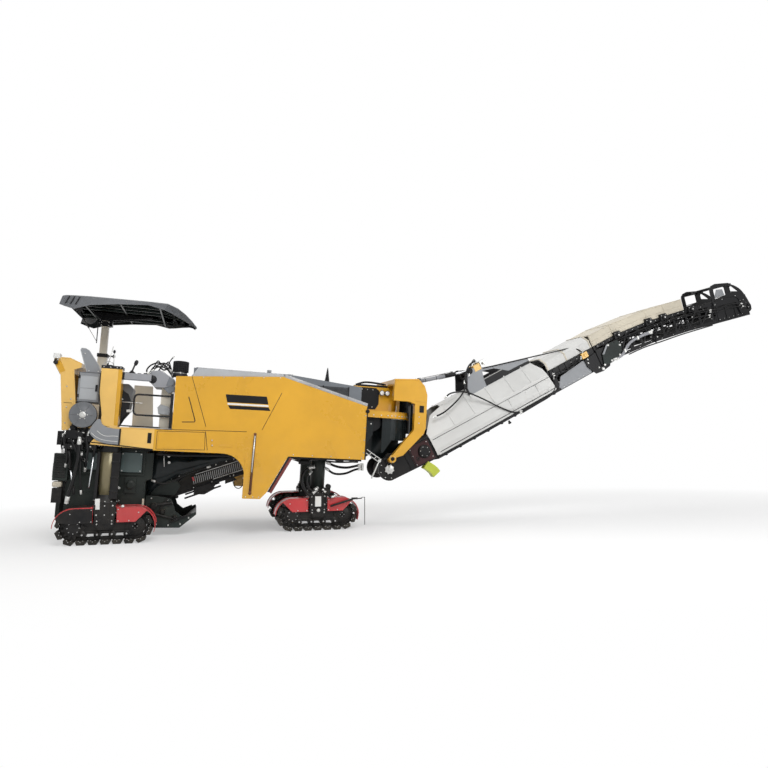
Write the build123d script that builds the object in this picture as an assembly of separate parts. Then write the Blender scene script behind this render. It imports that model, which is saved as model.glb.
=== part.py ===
from build123d import *
from math import atan2, cos, degrees, hypot, pi, radians, sin, sqrt
import os

# Cold planer milling machine: four steered crawler tracks on lifting legs, a milling drum between the
# rear legs, a belt through the belly and a slewing, folding discharge conveyor in front.
# Millimetres. X runs forward, Y to the machine's left, Z up from the ground.
# The body stands nose-down on its legs, so what it carries is drawn level and then pitched.

# ---- Driving dimensions --------------------------------------------------------------------------
parked_pitch = 3.2            # how far the body leans nose-down on its legs, degrees

wheelbase = 3200.0            # rear track centre to front track centre
rear_gauge = 2120.0           # between the centres of the rear tracks
front_gauge = 1150.0          # between the centres of the front tracks

track_length = 1330.0         # over the pads
track_height = 500.0
track_width = 260.0
shoe_count = 18
pad_height = 38.0             # pad above the shoe plate
shoe_plate = 22.0             # thickness of plate and links
link_rail_width = 90.0
link_rail_height = 30.0

rear_column_radius = 130.0
front_column_radius = 118.0
sleeve_wall = 12.0
running_gap = 0.3             # between pieces that slide or turn on each other
seat_gap = 0.3                # between parts that rest on each other but move apart

body_width = 2440.0           # over the side panels
panel_thickness = 40.0
body_floor = 1385.0           # lower edge of the side panels, in the level body
skirt_bottom = 715.0
body_front = 3800.0
body_rear = 800.0
hood_top = 2655.0
hood_width = 1560.0
deck = 1700.0                 # top of the operator's stand
deck_sheet = 40.0
stand_rear = -560.0

drum_width = 1000.0
drum_radius = 380.0           # of the drum's tube
cutting_radius = 490.0        # over the tool tips
drum_x = -110.0
drum_z = 620.0
drum_right = -800.0           # right end of the drum
tool_rows = 22

slew_x = 4450.0               # vertical slew axis of the discharge conveyor
lift_z = 1405.0               # cross axis on which the conveyor lifts
conveyor_angle = 30.2         # of the raised conveyor to the level body, degrees
conveyor_width = 900.0        # over the side covers
belt_width = 560.0
belt_drum_radius = 105.0
fold_station = 4750.0         # where the conveyor folds, from the tail drum along the belt


# ---- Small helpers -------------------------------------------------------------------------------
def block(x0, x1, y0, y1, z0, z1):
    return Pos((x0 + x1) / 2, (y0 + y1) / 2, (z0 + z1) / 2) * Box(x1 - x0, y1 - y0, z1 - z0)


def side_plate(points, y0, y1):
    """A plate with its outline in the XZ plane, from y0 to y1."""
    return extrude(Plane.XZ.offset(-y1) * Polygon(*points, align=None), amount=y1 - y0, dir=(0, -1, 0))


def cross_plate(points, x0, x1):
    """A plate with its outline in the YZ plane, from x0 to x1."""
    return extrude(Plane.YZ.offset(x0) * Polygon(*points, align=None), amount=x1 - x0, dir=(1, 0, 0))


def flats(radius):
    """How many flats a round bar of this radius is drawn with."""
    return max(8, 2 * round(0.7 * sqrt(radius)))


def round_bar(radius, length):
    """A round bar from the origin up, drawn with flats inside its true radius."""
    return extrude(RegularPolygon(radius, flats(radius)), amount=length)


def turned(radius, length):
    """A true round, for bores and for pins on which something turns."""
    return Cylinder(radius, length, align=(Align.CENTER, Align.CENTER, Align.MIN))


def along_y(shape, x, z, y0):
    """What stands on the origin, laid across the machine from y0 to the left."""
    return Pos(x, y0, z) * Rot(-90, 0, 0) * shape


def shaft_y(x, z, radius, y0, y1):
    return along_y(round_bar(radius, y1 - y0), x, z, y0)


def turned_y(x, z, radius, y0, y1):
    return along_y(turned(radius, y1 - y0), x, z, y0)


def rod(start, end, radius):
    a = Vector(*start)
    b = Vector(*end)
    return Plane(origin=a, z_dir=b - a) * round_bar(radius, (b - a).length)


def clearing(radius):
    """The radius of a flat-sided hole in which a bar of this radius turns or slides."""
    return (radius + running_gap) / cos(pi / flats(radius + running_gap))


def guiding(radius):
    """The radius of a flat-sided hole that lies flat to flat round a bar of this radius."""
    return radius + running_gap / cos(pi / flats(radius))


def upright(x, y, radius, z0, z1):
    return Pos(x, y, z0) * round_bar(radius, z1 - z0)


def turned_up(x, y, radius, z0, z1):
    return Pos(x, y, z0) * turned(radius, z1 - z0)


def mirrored(shape):
    """The shape and its twin on the other side of the machine."""
    return shape + mirror(shape, about=Plane.XZ)


def pitched(shape):
    """From the level body to the body as it stands."""
    return Rot(0, parked_pitch, 0) * shape


def joined(pieces):
    """One shape made of pieces that touch or overlap."""
    return pieces[0].fuse(*pieces[1:]).clean() if len(pieces) > 1 else pieces[0]


# ---- Crawler tracks ------------------------------------------------------------------------------
end_radius = track_height / 2 - pad_height - shoe_plate / 2      # of the chain's pitch line at its ends
end_offset = track_length / 2 - track_height / 2    # from the track's middle to either end's centre
axle_height = track_height / 2
chain_length = 4 * end_offset + 2 * pi * end_radius


def on_chain(distance, outward):
    """A point at this distance along the chain's pitch line and this far outside it, as X and Z."""
    straight = 2 * end_offset
    bend = pi * end_radius
    s = distance % chain_length
    if s < straight:
        return (-end_offset + s, axle_height + end_radius + outward)
    s -= straight
    if s < bend:
        turn = pi / 2 - s / end_radius
        reach = end_radius + outward
        return (end_offset + reach * cos(turn), axle_height + reach * sin(turn))
    s -= bend
    if s < straight:
        return (end_offset - s, axle_height - end_radius - outward)
    turn = -pi / 2 - (s - straight) / end_radius
    reach = end_radius + outward
    return (-end_offset + reach * cos(turn), axle_height + reach * sin(turn))


def track_chain():
    """One closed loop: plates with a tapered pad on each shoe, and the link rails inside it."""
    pitch = chain_length / shoe_count
    half_foot = 0.42 * pitch
    half_crown = 0.32 * pitch
    outer = []
    inner = []
    rail = []
    for shoe in range(shoe_count):
        middle = (shoe + 0.5) * pitch
        for along, outward in (
            (-half_foot, shoe_plate / 2),
            (-half_crown, shoe_plate / 2 + pad_height),
            (half_crown, shoe_plate / 2 + pad_height),
            (half_foot, shoe_plate / 2),
        ):
            outer.append(on_chain(middle + along, outward))
        inner.append(on_chain(middle, -shoe_plate / 2))
        rail.append(on_chain(middle, -shoe_plate / 2 - link_rail_height))
    width = track_width
    loop = side_plate(outer, -width / 2, width / 2) - side_plate(inner, -width / 2, width / 2)
    rails = side_plate(inner, -link_rail_width / 2, link_rail_width / 2)
    rails -= side_plate(rail, -link_rail_width / 2, link_rail_width / 2)
    return loop + rails


half_link_turn = chain_length / shoe_count / end_radius / 2
wheel_radius = (end_radius - shoe_plate / 2 - link_rail_height) * cos(half_link_turn) - seat_gap
roller_radius = 48.0
roller_stations = (-300.0, -100.0, 100.0, 300.0)
track_frame_half = 70.0
fork_plate = 30.0
fork_gap = 10.0
fork_pin_height = 340.0
fork_top = 600.0
fork_bridge = 34.0
column_height = 900.0         # of the turning column above its fork


def leg_with_frame(column_radius):
    """The turning column with its fork, the pivot pin and the track frame with its wheels."""
    half = track_width / 2 + fork_gap
    frame = side_plate(
        (
            (-end_offset, axle_height - 60),
            (-end_offset + 130, axle_height - 95),
            (end_offset - 130, axle_height - 95),
            (end_offset, axle_height - 60),
            (end_offset, axle_height + 60),
            (end_offset - 130, axle_height + 95),
            (-end_offset + 130, axle_height + 95),
            (-end_offset, axle_height + 60),
        ),
        -track_frame_half,
        track_frame_half,
    )
    rail_bottom = axle_height - end_radius + shoe_plate / 2 + link_rail_height
    pieces = [frame]
    for end in (-end_offset, end_offset):
        rim = link_rail_width / 2 + 12
        pieces.append(shaft_y(end, axle_height, wheel_radius, -rim, rim))
        pieces.append(shaft_y(end, axle_height, 70, -track_width / 2 + 8, track_width / 2 - 8))
    for station in roller_stations:
        roller_height = rail_bottom + seat_gap + roller_radius
        pieces.append(shaft_y(station, roller_height, roller_radius, -track_frame_half, track_frame_half))
    fork_outline = (
        (-130, fork_pin_height - 60),
        (-70, fork_pin_height - 120),
        (70, fork_pin_height - 120),
        (130, fork_pin_height - 60),
        (150, fork_top - 30),
        (130, fork_top),
        (-130, fork_top),
        (-150, fork_top - 30),
    )
    for inner in (half, -half - fork_plate):
        pieces.append(side_plate(fork_outline, inner, inner + fork_plate))
    pieces.append(block(-150, 150, -half - fork_plate, half + fork_plate, fork_top - fork_bridge, fork_top))
    pieces.append(shaft_y(0, fork_pin_height, 42, -half - fork_plate - 14, half + fork_plate + 14))
    body = joined(pieces)
    column = round_bar(column_radius, column_height) + round_bar(column_radius + 24, 60)
    return body + Pos(0, 0, fork_top - 12) * pitched(column)


guard_sheet = 8.0
guard_gap = 22.0              # between the pads and the guard over them
guard_side_drop = 215.0       # how far the guard's side plate hangs below its top
guard_radius = track_height / 2 + guard_gap


def arc_points(cx, cz, radius, start, end, steps):
    """Points on an arc in the XZ plane, angles in degrees from +X towards +Z."""
    found = []
    for k in range(steps + 1):
        turn = radians(start + (end - start) * k / steps)
        found.append((cx + radius * cos(turn), cz + radius * sin(turn)))
    return found


def track_guard(rear_start, front_end, side_length, outer):
    """The red guard: a sheet bent over each end of the track and a flat plate on its outer side.

    rear_start and front_end are the angles down to which the sheet wraps, outer is the side, 1 or -1."""
    half = track_width / 2 + 6
    reach = track_width / 2 + fork_gap
    fork_edge = 160.0
    outside = arc_points(end_offset, axle_height, guard_radius + guard_sheet, front_end, 90, 7)
    inside = arc_points(end_offset, axle_height, guard_radius, 90, front_end, 7)
    top_outer = axle_height + guard_radius + guard_sheet
    top_inner = axle_height + guard_radius
    front = side_plate(outside + [(fork_edge, top_outer), (fork_edge, top_inner)] + inside, -half, half)
    outside = arc_points(-end_offset, axle_height, guard_radius + guard_sheet, 90, rear_start, 5)
    inside = arc_points(-end_offset, axle_height, guard_radius, rear_start, 90, 5)
    rear = side_plate([(-fork_edge, top_outer)] + outside + inside + [(-fork_edge, top_inner)], -half, half)
    near = reach - guard_sheet
    cheek = [(fork_edge, top_outer - guard_side_drop), (fork_edge, top_outer)]
    cheek += arc_points(end_offset, axle_height, guard_radius + guard_sheet, 90, 30, 5)[0:4]
    cheek.append((fork_edge + side_length, top_outer - guard_side_drop))
    plates = []
    for sign in (1, -1):
        low, high = sorted((outer * near, outer * reach))
        plates.append(side_plate([(sign * x, z) for x, z in cheek], low, high))
    wing_front = plates[0]
    wing_rear = plates[1]
    strips = []
    for sign in (1, -1):
        x0, x1 = sorted((sign * 128, sign * (fork_edge + 30)))
        strip = block(x0, x1, -half, half, top_outer - 1, top_outer + 12)
        x0, x1 = sorted((sign * 128, sign * 148))
        strips.append(strip + block(x0, x1, -half, half, top_outer, fork_top - fork_bridge - seat_gap))
    return joined([front, wing_front, strips[0]]), joined([rear, wing_rear, strips[1]])


# ---- Milling drum --------------------------------------------------------------------------------
drum_wall = 30.0
drum_bore = 90.0
tool_starts = 3               # tools round the drum in each row
pick_foot = 34.0              # width of the pick where it leaves its holder
holder_length = 76.0
holder_width = 30.0


def milling_drum():
    """A tube with discs, and pointed tools on holders laced in two helices that feed to the middle."""
    low = drum_right
    high = drum_right + drum_width
    inside = drum_radius - drum_wall
    tube = shaft_y(0, 0, drum_radius, low + 10, high - 10) - shaft_y(0, 0, inside, low, high)
    pieces = [tube]
    for y in (low + 10, high - 40):
        pieces.append(shaft_y(0, 0, inside + 2, y, y + 30) - turned_y(0, 0, drum_bore, y - 1, y + 31))
    root = drum_radius - 15
    shoulder_radius = drum_radius + 42
    half = holder_length / 2
    outline = (
        (root, -half),
        (shoulder_radius, -half + 14),
        (shoulder_radius, half - pick_foot),
        (cutting_radius - 6, half + 12),
        (shoulder_radius - 14, half),
        (root, half),
    )
    tool = side_plate(outline, -holder_width / 2, holder_width / 2)
    spacing = drum_width / tool_rows
    for row in range(tool_rows):
        y = low + spacing * (row + 0.5)
        from_middle = abs(row + 0.5 - tool_rows / 2)
        for start in range(tool_starts):
            turn = 360.0 / tool_starts * start + from_middle * 360.0 / tool_rows * 1.5
            pieces.append(Pos(0, y, 0) * Rot(0, turn, 0) * tool)
    return joined(pieces)


# ---- Body: frame, panels, hood -------------------------------------------------------------------
side = body_width / 2
column_foot = fork_top - 12    # where a column's axis leaves the fork
rear_leg_x = -column_foot * sin(radians(parked_pitch))          # the columns' axes in the level body
front_leg_x = wheelbase * cos(radians(parked_pitch)) + rear_leg_x
beam_inner = 345.0            # half the space between the frame's long beams
beam_width = 90.0
beam_top = 1620.0
beam_rear = -545.0
sleeve_bottom = 1330.0
sleeve_top = 1640.0
arch_radius = 345.0           # of the panel's rear corner over the belly
skirt_rear = 1908.0
skirt_front = 2170.0
shoulder = 2250.0             # height of the panels at the front end
panel_top = 2560.0


def main_frame():
    """Two long box beams with the sleeves that hold the legs, and the cross members between them."""
    beam = side_plate(
        (
            (beam_rear, body_floor + 20),
            (body_front - 60, body_floor + 20),
            (body_front - 60, beam_top),
            (1500, beam_top),
            (1350, deck - deck_sheet - seat_gap),
            (beam_rear, deck - deck_sheet - seat_gap),
        ),
        beam_inner,
        beam_inner + beam_width,
    )
    pieces = [beam]
    for x in (1500.0, 2380.0, 3560.0):
        reach = side - panel_thickness - seat_gap
        pieces.append(block(x, x + 80, beam_inner + 20, reach, body_floor + 30, body_floor + 130))
    outer = beam_inner + beam_width
    top = mast_low - 60
    pieces.append(block(body_front - 100, body_front - 60, beam_inner + 10, outer, beam_top - 10, top))
    bores = []
    for x, gauge, radius, arm in (
        (rear_leg_x, rear_gauge, rear_column_radius, 190.0),
        (front_leg_x, front_gauge, front_column_radius, 150.0),
    ):
        y = gauge / 2
        pieces.append(upright(x, y, radius + sleeve_wall, sleeve_bottom, sleeve_top))
        pieces.append(block(x - arm, x + arm, beam_inner + 20, y, body_floor + 30, beam_top - 20))
        bores.append(turned_up(x, y, radius + running_gap, sleeve_bottom - 1, sleeve_top + 1))
    left = joined(pieces) - bores[0] - bores[1]
    solids = [left, mirror(left, about=Plane.XZ)]
    reach = beam_inner - seat_gap
    for x in (beam_rear, 640.0, body_front - 160.0):
        solids.append(block(x, x + 100, -reach, reach, beam_top - 130, beam_top - 10))
    return Compound(solids)


def side_panel():
    """The right panel: straight over the belly, a round corner into the skirt, and a sloping shoulder."""
    outline = [(body_rear, 1700.0), (560.0, 1700.0), (560.0, body_floor)]
    outline += arc_points(skirt_rear - arch_radius, body_floor - arch_radius, arch_radius, 90, 0, 8)
    outline += [
        (skirt_rear, skirt_bottom),
        (skirt_front, skirt_bottom),
        (skirt_front + 100, skirt_bottom + 110),
        (2560.0, body_floor),
        (body_front, body_floor),
        (body_front, shoulder),
        (2640.0, panel_top + 10),
        (2420.0, panel_top + 65),
        (body_rear, panel_top - 50),
    ]
    return side_plate(outline, -side, -side + panel_thickness)


hood_wall = 25.0
hood_skirt = 1720.0
hood_rear = 1045.0
hood_break = 2650.0           # where the hood's top starts to fall towards the front
hood_front_top = 2590.0
lid_front = 2560.0


def hood_profile(inset):
    return (
        (hood_rear + inset, hood_skirt),
        (hood_rear + inset, hood_top + 45 - inset),
        (hood_break, hood_top + 45 - inset),
        (body_front - 10 - inset, hood_front_top - inset),
        (body_front - 10 - inset, hood_skirt),
    )


def hood_height(x):
    """The hood's top at a station in the level body."""
    flat = hood_top + 45
    if x < hood_break:
        return flat
    return flat - (flat - hood_front_top) * (x - hood_break) / (body_front - 10 - hood_break)


def hood_shell():
    """The grey engine hood between the side panels, open below."""
    half = hood_width / 2
    shell = side_plate(hood_profile(0), -half, half)
    inside = side_plate(hood_profile(hood_wall), -half + hood_wall, half - hood_wall)
    reach = primary_half + 30
    mouth = block(body_front - 60, body_front, -reach, reach, hood_skirt - 1, mast_low - 30)
    reach = half - hood_wall
    below = block(hood_rear - 5, body_front, -reach, reach, hood_skirt - 1, hood_skirt + hood_wall + 1)
    return shell - inside - mouth - below


def hood_split(keep_lid):
    """The rear top part of the hood lifts as a lid; the rest stays."""
    lid_zone = block(hood_rear - 10, lid_front, -side, side, hood_top - 60, hood_top + 100)
    if keep_lid:
        zone = block(hood_rear - 10, lid_front - 4, -side, side, hood_top - 56, hood_top + 100)
        return hood_shell() & zone
    return hood_shell() - lid_zone


def shoulders():
    """The grey decks that close the gap between hood and side panels, level then sloping."""
    inner = hood_width / 2 + seat_gap
    outer = side - panel_thickness - seat_gap
    outline = (
        (body_rear + 10, panel_top - 52),
        (2420.0, panel_top + 60),
        (2640.0, panel_top + 4),
        (body_front - 4, shoulder - 6),
        (body_front - 4, shoulder - 46),
        (2640.0, panel_top - 36),
        (2420.0, panel_top + 20),
        (body_rear + 10, panel_top - 92),
    )
    return side_plate(outline, -outer, -inner)


def engine_block():
    body = block(1300, 2420, -360, 360, 1780, 2520)
    feet = []
    for x in (1560.0, 2280.0):
        feet.append(block(x, x + 120, beam_inner + 5, beam_inner + 65, beam_top + seat_gap, 1860))
    feet += [mirror(foot, about=Plane.XZ) for foot in feet]
    return joined([body] + feet)


# ---- Front: mast, collar, curtain ----------------------------------------------------------------
mast_half = 185.0
mast_low = 2230.0
mast_high = 2663.0
collar_radius = 420.0
collar_height = 120.0
hub_radius = 95.0
curtain_radius = 392.0
curtain_bottom = 1500.0
curtain_front = 1725.0       # its lower edge over the conveyor
curtain_sheet = 10.0


def front_mast():
    """The yellow beam that carries the slewing conveyor, its round collar and the bore for the hub."""
    rear = body_front - 10 + seat_gap
    beam = block(rear, slew_x, -mast_half, mast_half, mast_low, mast_high)
    nose = upright(slew_x, 0, mast_half, mast_low, mast_high)
    collar = upright(slew_x, 0, collar_radius, mast_low - collar_height, mast_low)
    collar += block(rear, slew_x, -collar_radius, collar_radius, mast_low - collar_height, mast_low)
    hollow = upright(slew_x, 0, collar_radius - 30, mast_low - collar_height - 1, mast_low - 30)
    inner = collar_radius - 30
    hollow += block(rear - 1, slew_x, -inner, inner, mast_low - collar_height - 1, mast_low - 30)
    bore = turned_up(slew_x, 0, hub_radius + running_gap, mast_low - 31, mast_high + 1)
    return beam + nose + (collar - hollow) - bore


def transfer_curtain():
    """The black half-round curtain under the collar, open to the rear."""
    wall = upright(slew_x, 0, curtain_radius, curtain_bottom, mast_low - collar_height - seat_gap)
    wall -= upright(slew_x, 0, curtain_radius - curtain_sheet, curtain_bottom - 1, mast_low)
    wall -= block(slew_x - 500, slew_x - 150, -600, 600, curtain_bottom - 1, mast_low)
    cut = side_plate(
        (
            (slew_x - 120, curtain_bottom - 10),
            (slew_x + 500, curtain_bottom - 10),
            (slew_x + 500, curtain_front),
            (slew_x + 30, curtain_front),
        ),
        -600,
        600,
    )
    return wall - cut


# ---- Primary conveyor ----------------------------------------------------------------------------
primary_angle = 20.5
primary_foot = (640.0, 712.0)         # middle of the foot drum in the level body
primary_head = 4150.0
primary_length = (primary_head - primary_foot[0]) / cos(radians(primary_angle))
primary_half = 300.0
primary_trunnion = 2475.0      # along it, where it hangs between the frame's beams
primary_sheet = 12.0
primary_depth = 300.0


def in_primary(shape):
    return Pos(primary_foot[0], 0, primary_foot[1]) * Rot(0, -primary_angle, 0) * shape


def primary_conveyor():
    """Side frames with windows, and between them cross tubes and the drums at both ends."""
    half_depth = primary_depth / 2
    outline = arc_points(0, 0, half_depth, 90, 270, 6)
    outline += arc_points(primary_length, 0, half_depth, -90, 90, 6)
    inner = primary_half - primary_sheet
    frame = side_plate(outline, inner, primary_half)
    for k in range(7):
        start = 420 + k * 420
        window = ((start, -70), (start + 330, -70), (start + 330, 60), (start, 60))
        frame -= side_plate(window, inner - 1, primary_half + 1)
    for station in (0, primary_length):
        frame += shaft_y(station, 0, 30, inner, primary_half + 14)
    frame += shaft_y(primary_trunnion, 0, 38, inner, beam_inner - seat_gap)
    solids = [frame, mirror(frame, about=Plane.XZ)]
    reach = inner - seat_gap
    for station in (0, primary_length):
        drum = shaft_y(station, 0, belt_drum_radius, -belt_width / 2, belt_width / 2)
        solids.append(drum + shaft_y(station, 0, 30, -reach, reach))
    for k in range(4):
        solids.append(shaft_y(380 + k * 840, 0, 24, -reach, reach))
    return in_primary(Compound(solids))


belt_sheet = 14.0


def belt_loop(length, radius, cleat_pitch):
    """A closed belt round two drums with raised cleats on its carrying side."""
    half = belt_width / 2 - 20
    rings = []
    for reach in (radius + belt_sheet, radius):
        run = block(0, length, -half, half, -reach, reach)
        rings.append(run + shaft_y(0, 0, reach, -half, half) + shaft_y(length, 0, reach, -half, half))
    loop = rings[0] - rings[1]
    cleats = []
    count = int(length / cleat_pitch)
    for k in range(count):
        x = cleat_pitch * (k + 0.5)
        top = radius + belt_sheet
        cleats.append(block(x - 12, x + 12, -half + 40, half - 40, top - 1, top + 24))
    return joined([loop] + cleats)


# ---- Drum housing --------------------------------------------------------------------------------
housing_right = -835.0
housing_left = 230.0
housing_sheet = 16.0
housing_top = 1370.0
housing_front = 470.0
housing_back = -700.0
housing_bottom = 235.0
door_top = 1050.0
door_hinge = (-735.0, 1075.0)         # of the scraper door, in the level body
door_pin = 16.0
edge_plate_sheet = 14.0


def drum_housing():
    """End walls, roof and front wall round the drum, with the mouth for the primary conveyor."""
    wall = (
        (housing_back, door_top + 10),
        (housing_back, housing_top),
        (housing_front, housing_top),
        (housing_front, housing_bottom + 110),
        (housing_front - 110, housing_bottom),
        (housing_back + 60, housing_bottom),
        (housing_back + 60, door_top + 10),
    )
    right = side_plate(wall, housing_right, housing_right + housing_sheet)
    left = side_plate(wall, housing_left - housing_sheet, housing_left)
    sheet = housing_sheet
    roof = block(housing_back, housing_front, housing_right, housing_left, housing_top - sheet, housing_top)
    back = block(housing_back, housing_back + sheet, housing_right, housing_left, door_top + 30, housing_top)
    bottom = housing_bottom + 110
    front = block(housing_front - sheet, housing_front, housing_right, housing_left, bottom, housing_top)
    mouth_high = 940.0
    mouth_right = -primary_half - 30
    front -= block(housing_front - 50, housing_front + 50, mouth_right, housing_left - 40, 0, mouth_high)
    shell = joined([right, left, roof, back, front])
    gearbox = shaft_y(drum_x, drum_z, 215, housing_left, housing_left + 260)
    gearbox += shaft_y(drum_x, drum_z, 120, housing_left + 250, housing_left + 340)
    stub = shaft_y(drum_x, drum_z, drum_bore - running_gap, housing_left - 120, housing_left)
    under_beam = body_floor + 20 - seat_gap
    hanger_right = block(-300, 300, -beam_inner - 80, -beam_inner - 10, housing_top - 2, under_beam)
    hanger_left = block(-300, 300, housing_left - 60, beam_inner + 80, housing_top - sheet, under_beam)
    pieces = [shell, gearbox, stub, hanger_left, hanger_right]
    bearing = shaft_y(drum_x, drum_z, drum_bore - running_gap, housing_right + 2, housing_right + 90)
    pieces.append(bearing)
    return joined(pieces)


def scraper_door():
    """The blade that closes the chamber behind the drum, hung from a cross shaft."""
    x, z = door_hinge
    low = housing_right + 6
    high = housing_left - 6
    leaf = side_plate(
        (
            (housing_back - 12, door_top),
            (housing_back - 12, housing_bottom + 60),
            (housing_back + 40, housing_bottom - 10),
            (housing_back + 54, housing_bottom - 10),
            (housing_back + 4, housing_bottom + 66),
            (housing_back + 4, door_top),
        ),
        low,
        high,
    )
    knuckles = []
    for k in range(3):
        y = low + 40 + k * (high - low - 160) / 2
        knuckles.append(shaft_y(x, z, 34, y, y + 80) + block(x - 20, housing_back - 2, y, y + 80, z - 60, z))
    ribs = []
    rib_low = housing_bottom + 90
    for k in range(4):
        y = low + 60 + k * (high - low - 140) / 3
        ribs.append(block(housing_back - 60, housing_back - 10, y, y + 20, rib_low, door_top - 60))
    rail = block(housing_back - 70, housing_back - 10, low, high, housing_bottom + 330, housing_bottom + 390)
    return joined([leaf] + knuckles + ribs + [rail]) - shaft_y(x, z, clearing(door_pin), low, high)


def door_shaft():
    """The scraper door's shaft, on ears behind the chamber's back wall."""
    x, z = door_hinge
    half_flat = Rot(0, 0, 180 / flats(door_pin))
    shaft = half_flat * round_bar(door_pin, housing_left - housing_right)
    pieces = [along_y(shaft, x, z, housing_right)]
    for y in (housing_right, housing_left - 20, (housing_right + housing_left) / 2 + 50):
        pieces.append(block(x - 30, housing_back + 1, y, y + 20, z - 19, z + 90))
    return joined(pieces)


def edge_plate():
    """The floating side plate beside the drum, which slides up the chamber's right wall."""
    outline = (
        (-560, 210),
        (-500, 150),
        (330, 150),
        (450, 250),
        (450, 900),
        (560, 940),
        (560, 1330),
        (200, 1330),
        (200, 700),
        (-420, 700),
        (-560, 600),
    )
    outer = housing_right - seat_gap
    return side_plate(outline, outer - edge_plate_sheet, outer)


# ---- Operator's stand ----------------------------------------------------------------------------
plinth_sheet = 14.0


def platform():
    """The deck with its yellow plinth on both sides."""
    floor = block(stand_rear, body_rear + 240, -1112, 1112, deck - deck_sheet, deck)
    floor += block(-190, body_rear + 240, -side + 60, side - 60, deck - deck_sheet, deck)
    plinth_outline = (
        (-300, body_floor + 45),
        (560 - seat_gap, body_floor + 10),
        (560 - seat_gap, deck),
        (-90, deck),
        (-180, deck - 90),
        (-300, body_floor + 75),
    )
    plinth = side_plate(plinth_outline, -side, -side + plinth_sheet)
    plinth -= block(470, 525, -side - 1, -side + plinth_sheet + 1, deck - 215, deck - 60)
    hung = block(150, 440, -side + plinth_sheet - 1, -side + 110, deck - 200, deck - deck_sheet + 1)
    one = joined([plinth, hung])
    return joined([floor, one, mirror(one, about=Plane.XZ)])


def rear_cabinet():
    """The yellow rear wall: leaning back, with a hooked top that carries the rear lamps."""
    outer = (
        (-715, 1613),
        (-733, 1819),
        (-798, 2412),
        (-905, 2590),
        (-900, 2640),
        (-800, 2668),
        (-690, 2668),
        (-530, 2600),
        (-530, 2540),
        (-625, 2500),
        (stand_rear - seat_gap, 1986),
        (stand_rear - seat_gap, 1613),
    )
    body = side_plate(outer, -1112, 1112)
    recess = block(-740, -500, -1060, -500, 2050, 2440)
    return body - recess


corner_front = 42.0


def corner_box():
    """The tall yellow box at the right edge of the stand."""
    outline = [(-243, 2552), (-240, 2200), (-186, 1852)]
    outline += arc_points(-100, 1790, 88, 170, 262, 4)
    outline += [(corner_front, deck), (corner_front, 2574)]
    plate = side_plate(outline, -side + 4, -side + 264)
    lid = block(-236, corner_front - 6, -side + 8, -side + 260, 2560, 2582)
    return plate + lid


reel_centre = (-438.0, 1850.0)
reel_radius = 188.0


def hose_reel():
    """The round black reel behind the corner box, on its axle."""
    x, z = reel_centre
    reel = shaft_y(x, z, 175, -1200, -1128) + shaft_y(x, z, reel_radius, -1206, -1196)
    reel += shaft_y(x, z, reel_radius, -1132, -1122)
    reel += shaft_y(x, z, 40, -1214, -1092)
    reel += block(x - 40, x + 40, -1111, -1091, deck, z + 40)
    return reel


def grey_locker():
    """The grey locker behind the corner box, with its fin-shaped guard on top."""
    shell = block(-545, -262, -1100, -620, 2040, 2470)
    shell -= block(-533, -274, -1101, -700, 2052, 2458)
    legs = block(-545, -505, -660, -620, deck, 2040) + block(-302, -262, -660, -620, deck, 2040)
    edge = ((-452, 2470), (-565, 2800), (-555, 2826), (-500, 2826), (-450, 2800), (-297, 2581), (-262, 2470))
    fin = side_plate(edge, -1090, -1050)
    return shell + legs + fin


locker_hinge = (-541.0, -1112.3)


def locker_door():
    leaf = block(-541, -270, -1118, -1104, 2045, 2465)
    knuckle = upright(*locker_hinge, 12, 2080, 2430)
    return leaf + knuckle


def control_stand():
    """The dash bar from the corner box to the sloping console with its pedestal."""
    bar = block(corner_front + seat_gap, 440, -side + 60, -side + 150, 2420, 2500)
    sloped = ((430, 2420), (430, 2560), (560, 2590), (770, 2470), (770, 2380), (640, 2332), (500, 2332))
    console = side_plate(sloped, -1060, -520)
    pedestal = side_plate(((600, deck), (600, 2340), (740, 2400), (790, deck)), -900, -640)
    brace = block(430, 470, -side + 60, -1050, 2430, 2500)
    return joined([bar, console, pedestal, brace])


def stand_post():
    """The black padded support at the operator's back, seen edge-on beside the boarding gap."""
    outline = [(-15, deck), (-15, 2349), (120, 2349), (185, 2280)]
    outline += [(170, 2120), (150, 1940), (60, 1816), (0, deck)]
    return side_plate(outline, -940, -560)


def handrails():
    """The rounded rail across the boarding gap and the post that holds it."""
    x0, x1, z0, z1, r, bar = 235.0, 790.0, 1895.0, 2200.0, 60.0, 14.0
    y = -side + 70
    bends = arc_points(x0 + r, z1 - r, r, 90, 180, 3) + arc_points(x0 + r, z0 + r, r, 180, 270, 3)
    path = Polyline(*[(x, y, z) for x, z in [(x1, z1)] + bends + [(x1, z0)]])
    section = Plane(origin=path @ 0, z_dir=path % 0) * RegularPolygon(bar, 8)
    rail = sweep(section, path=path, transition=Transition.RIGHT)
    return rail + block(x1 - 40, x1, y - 30, y + 30, deck, z1 + 40)


def canopy_post():
    """The outer tube of the canopy's telescopic post."""
    outer = block(-505, -365, 130, 270, deck, 2900)
    return outer - block(-505 + 14, -365 - 14, 144, 256, deck + 40, 2901)


canopy_half = 1000.0


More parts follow.
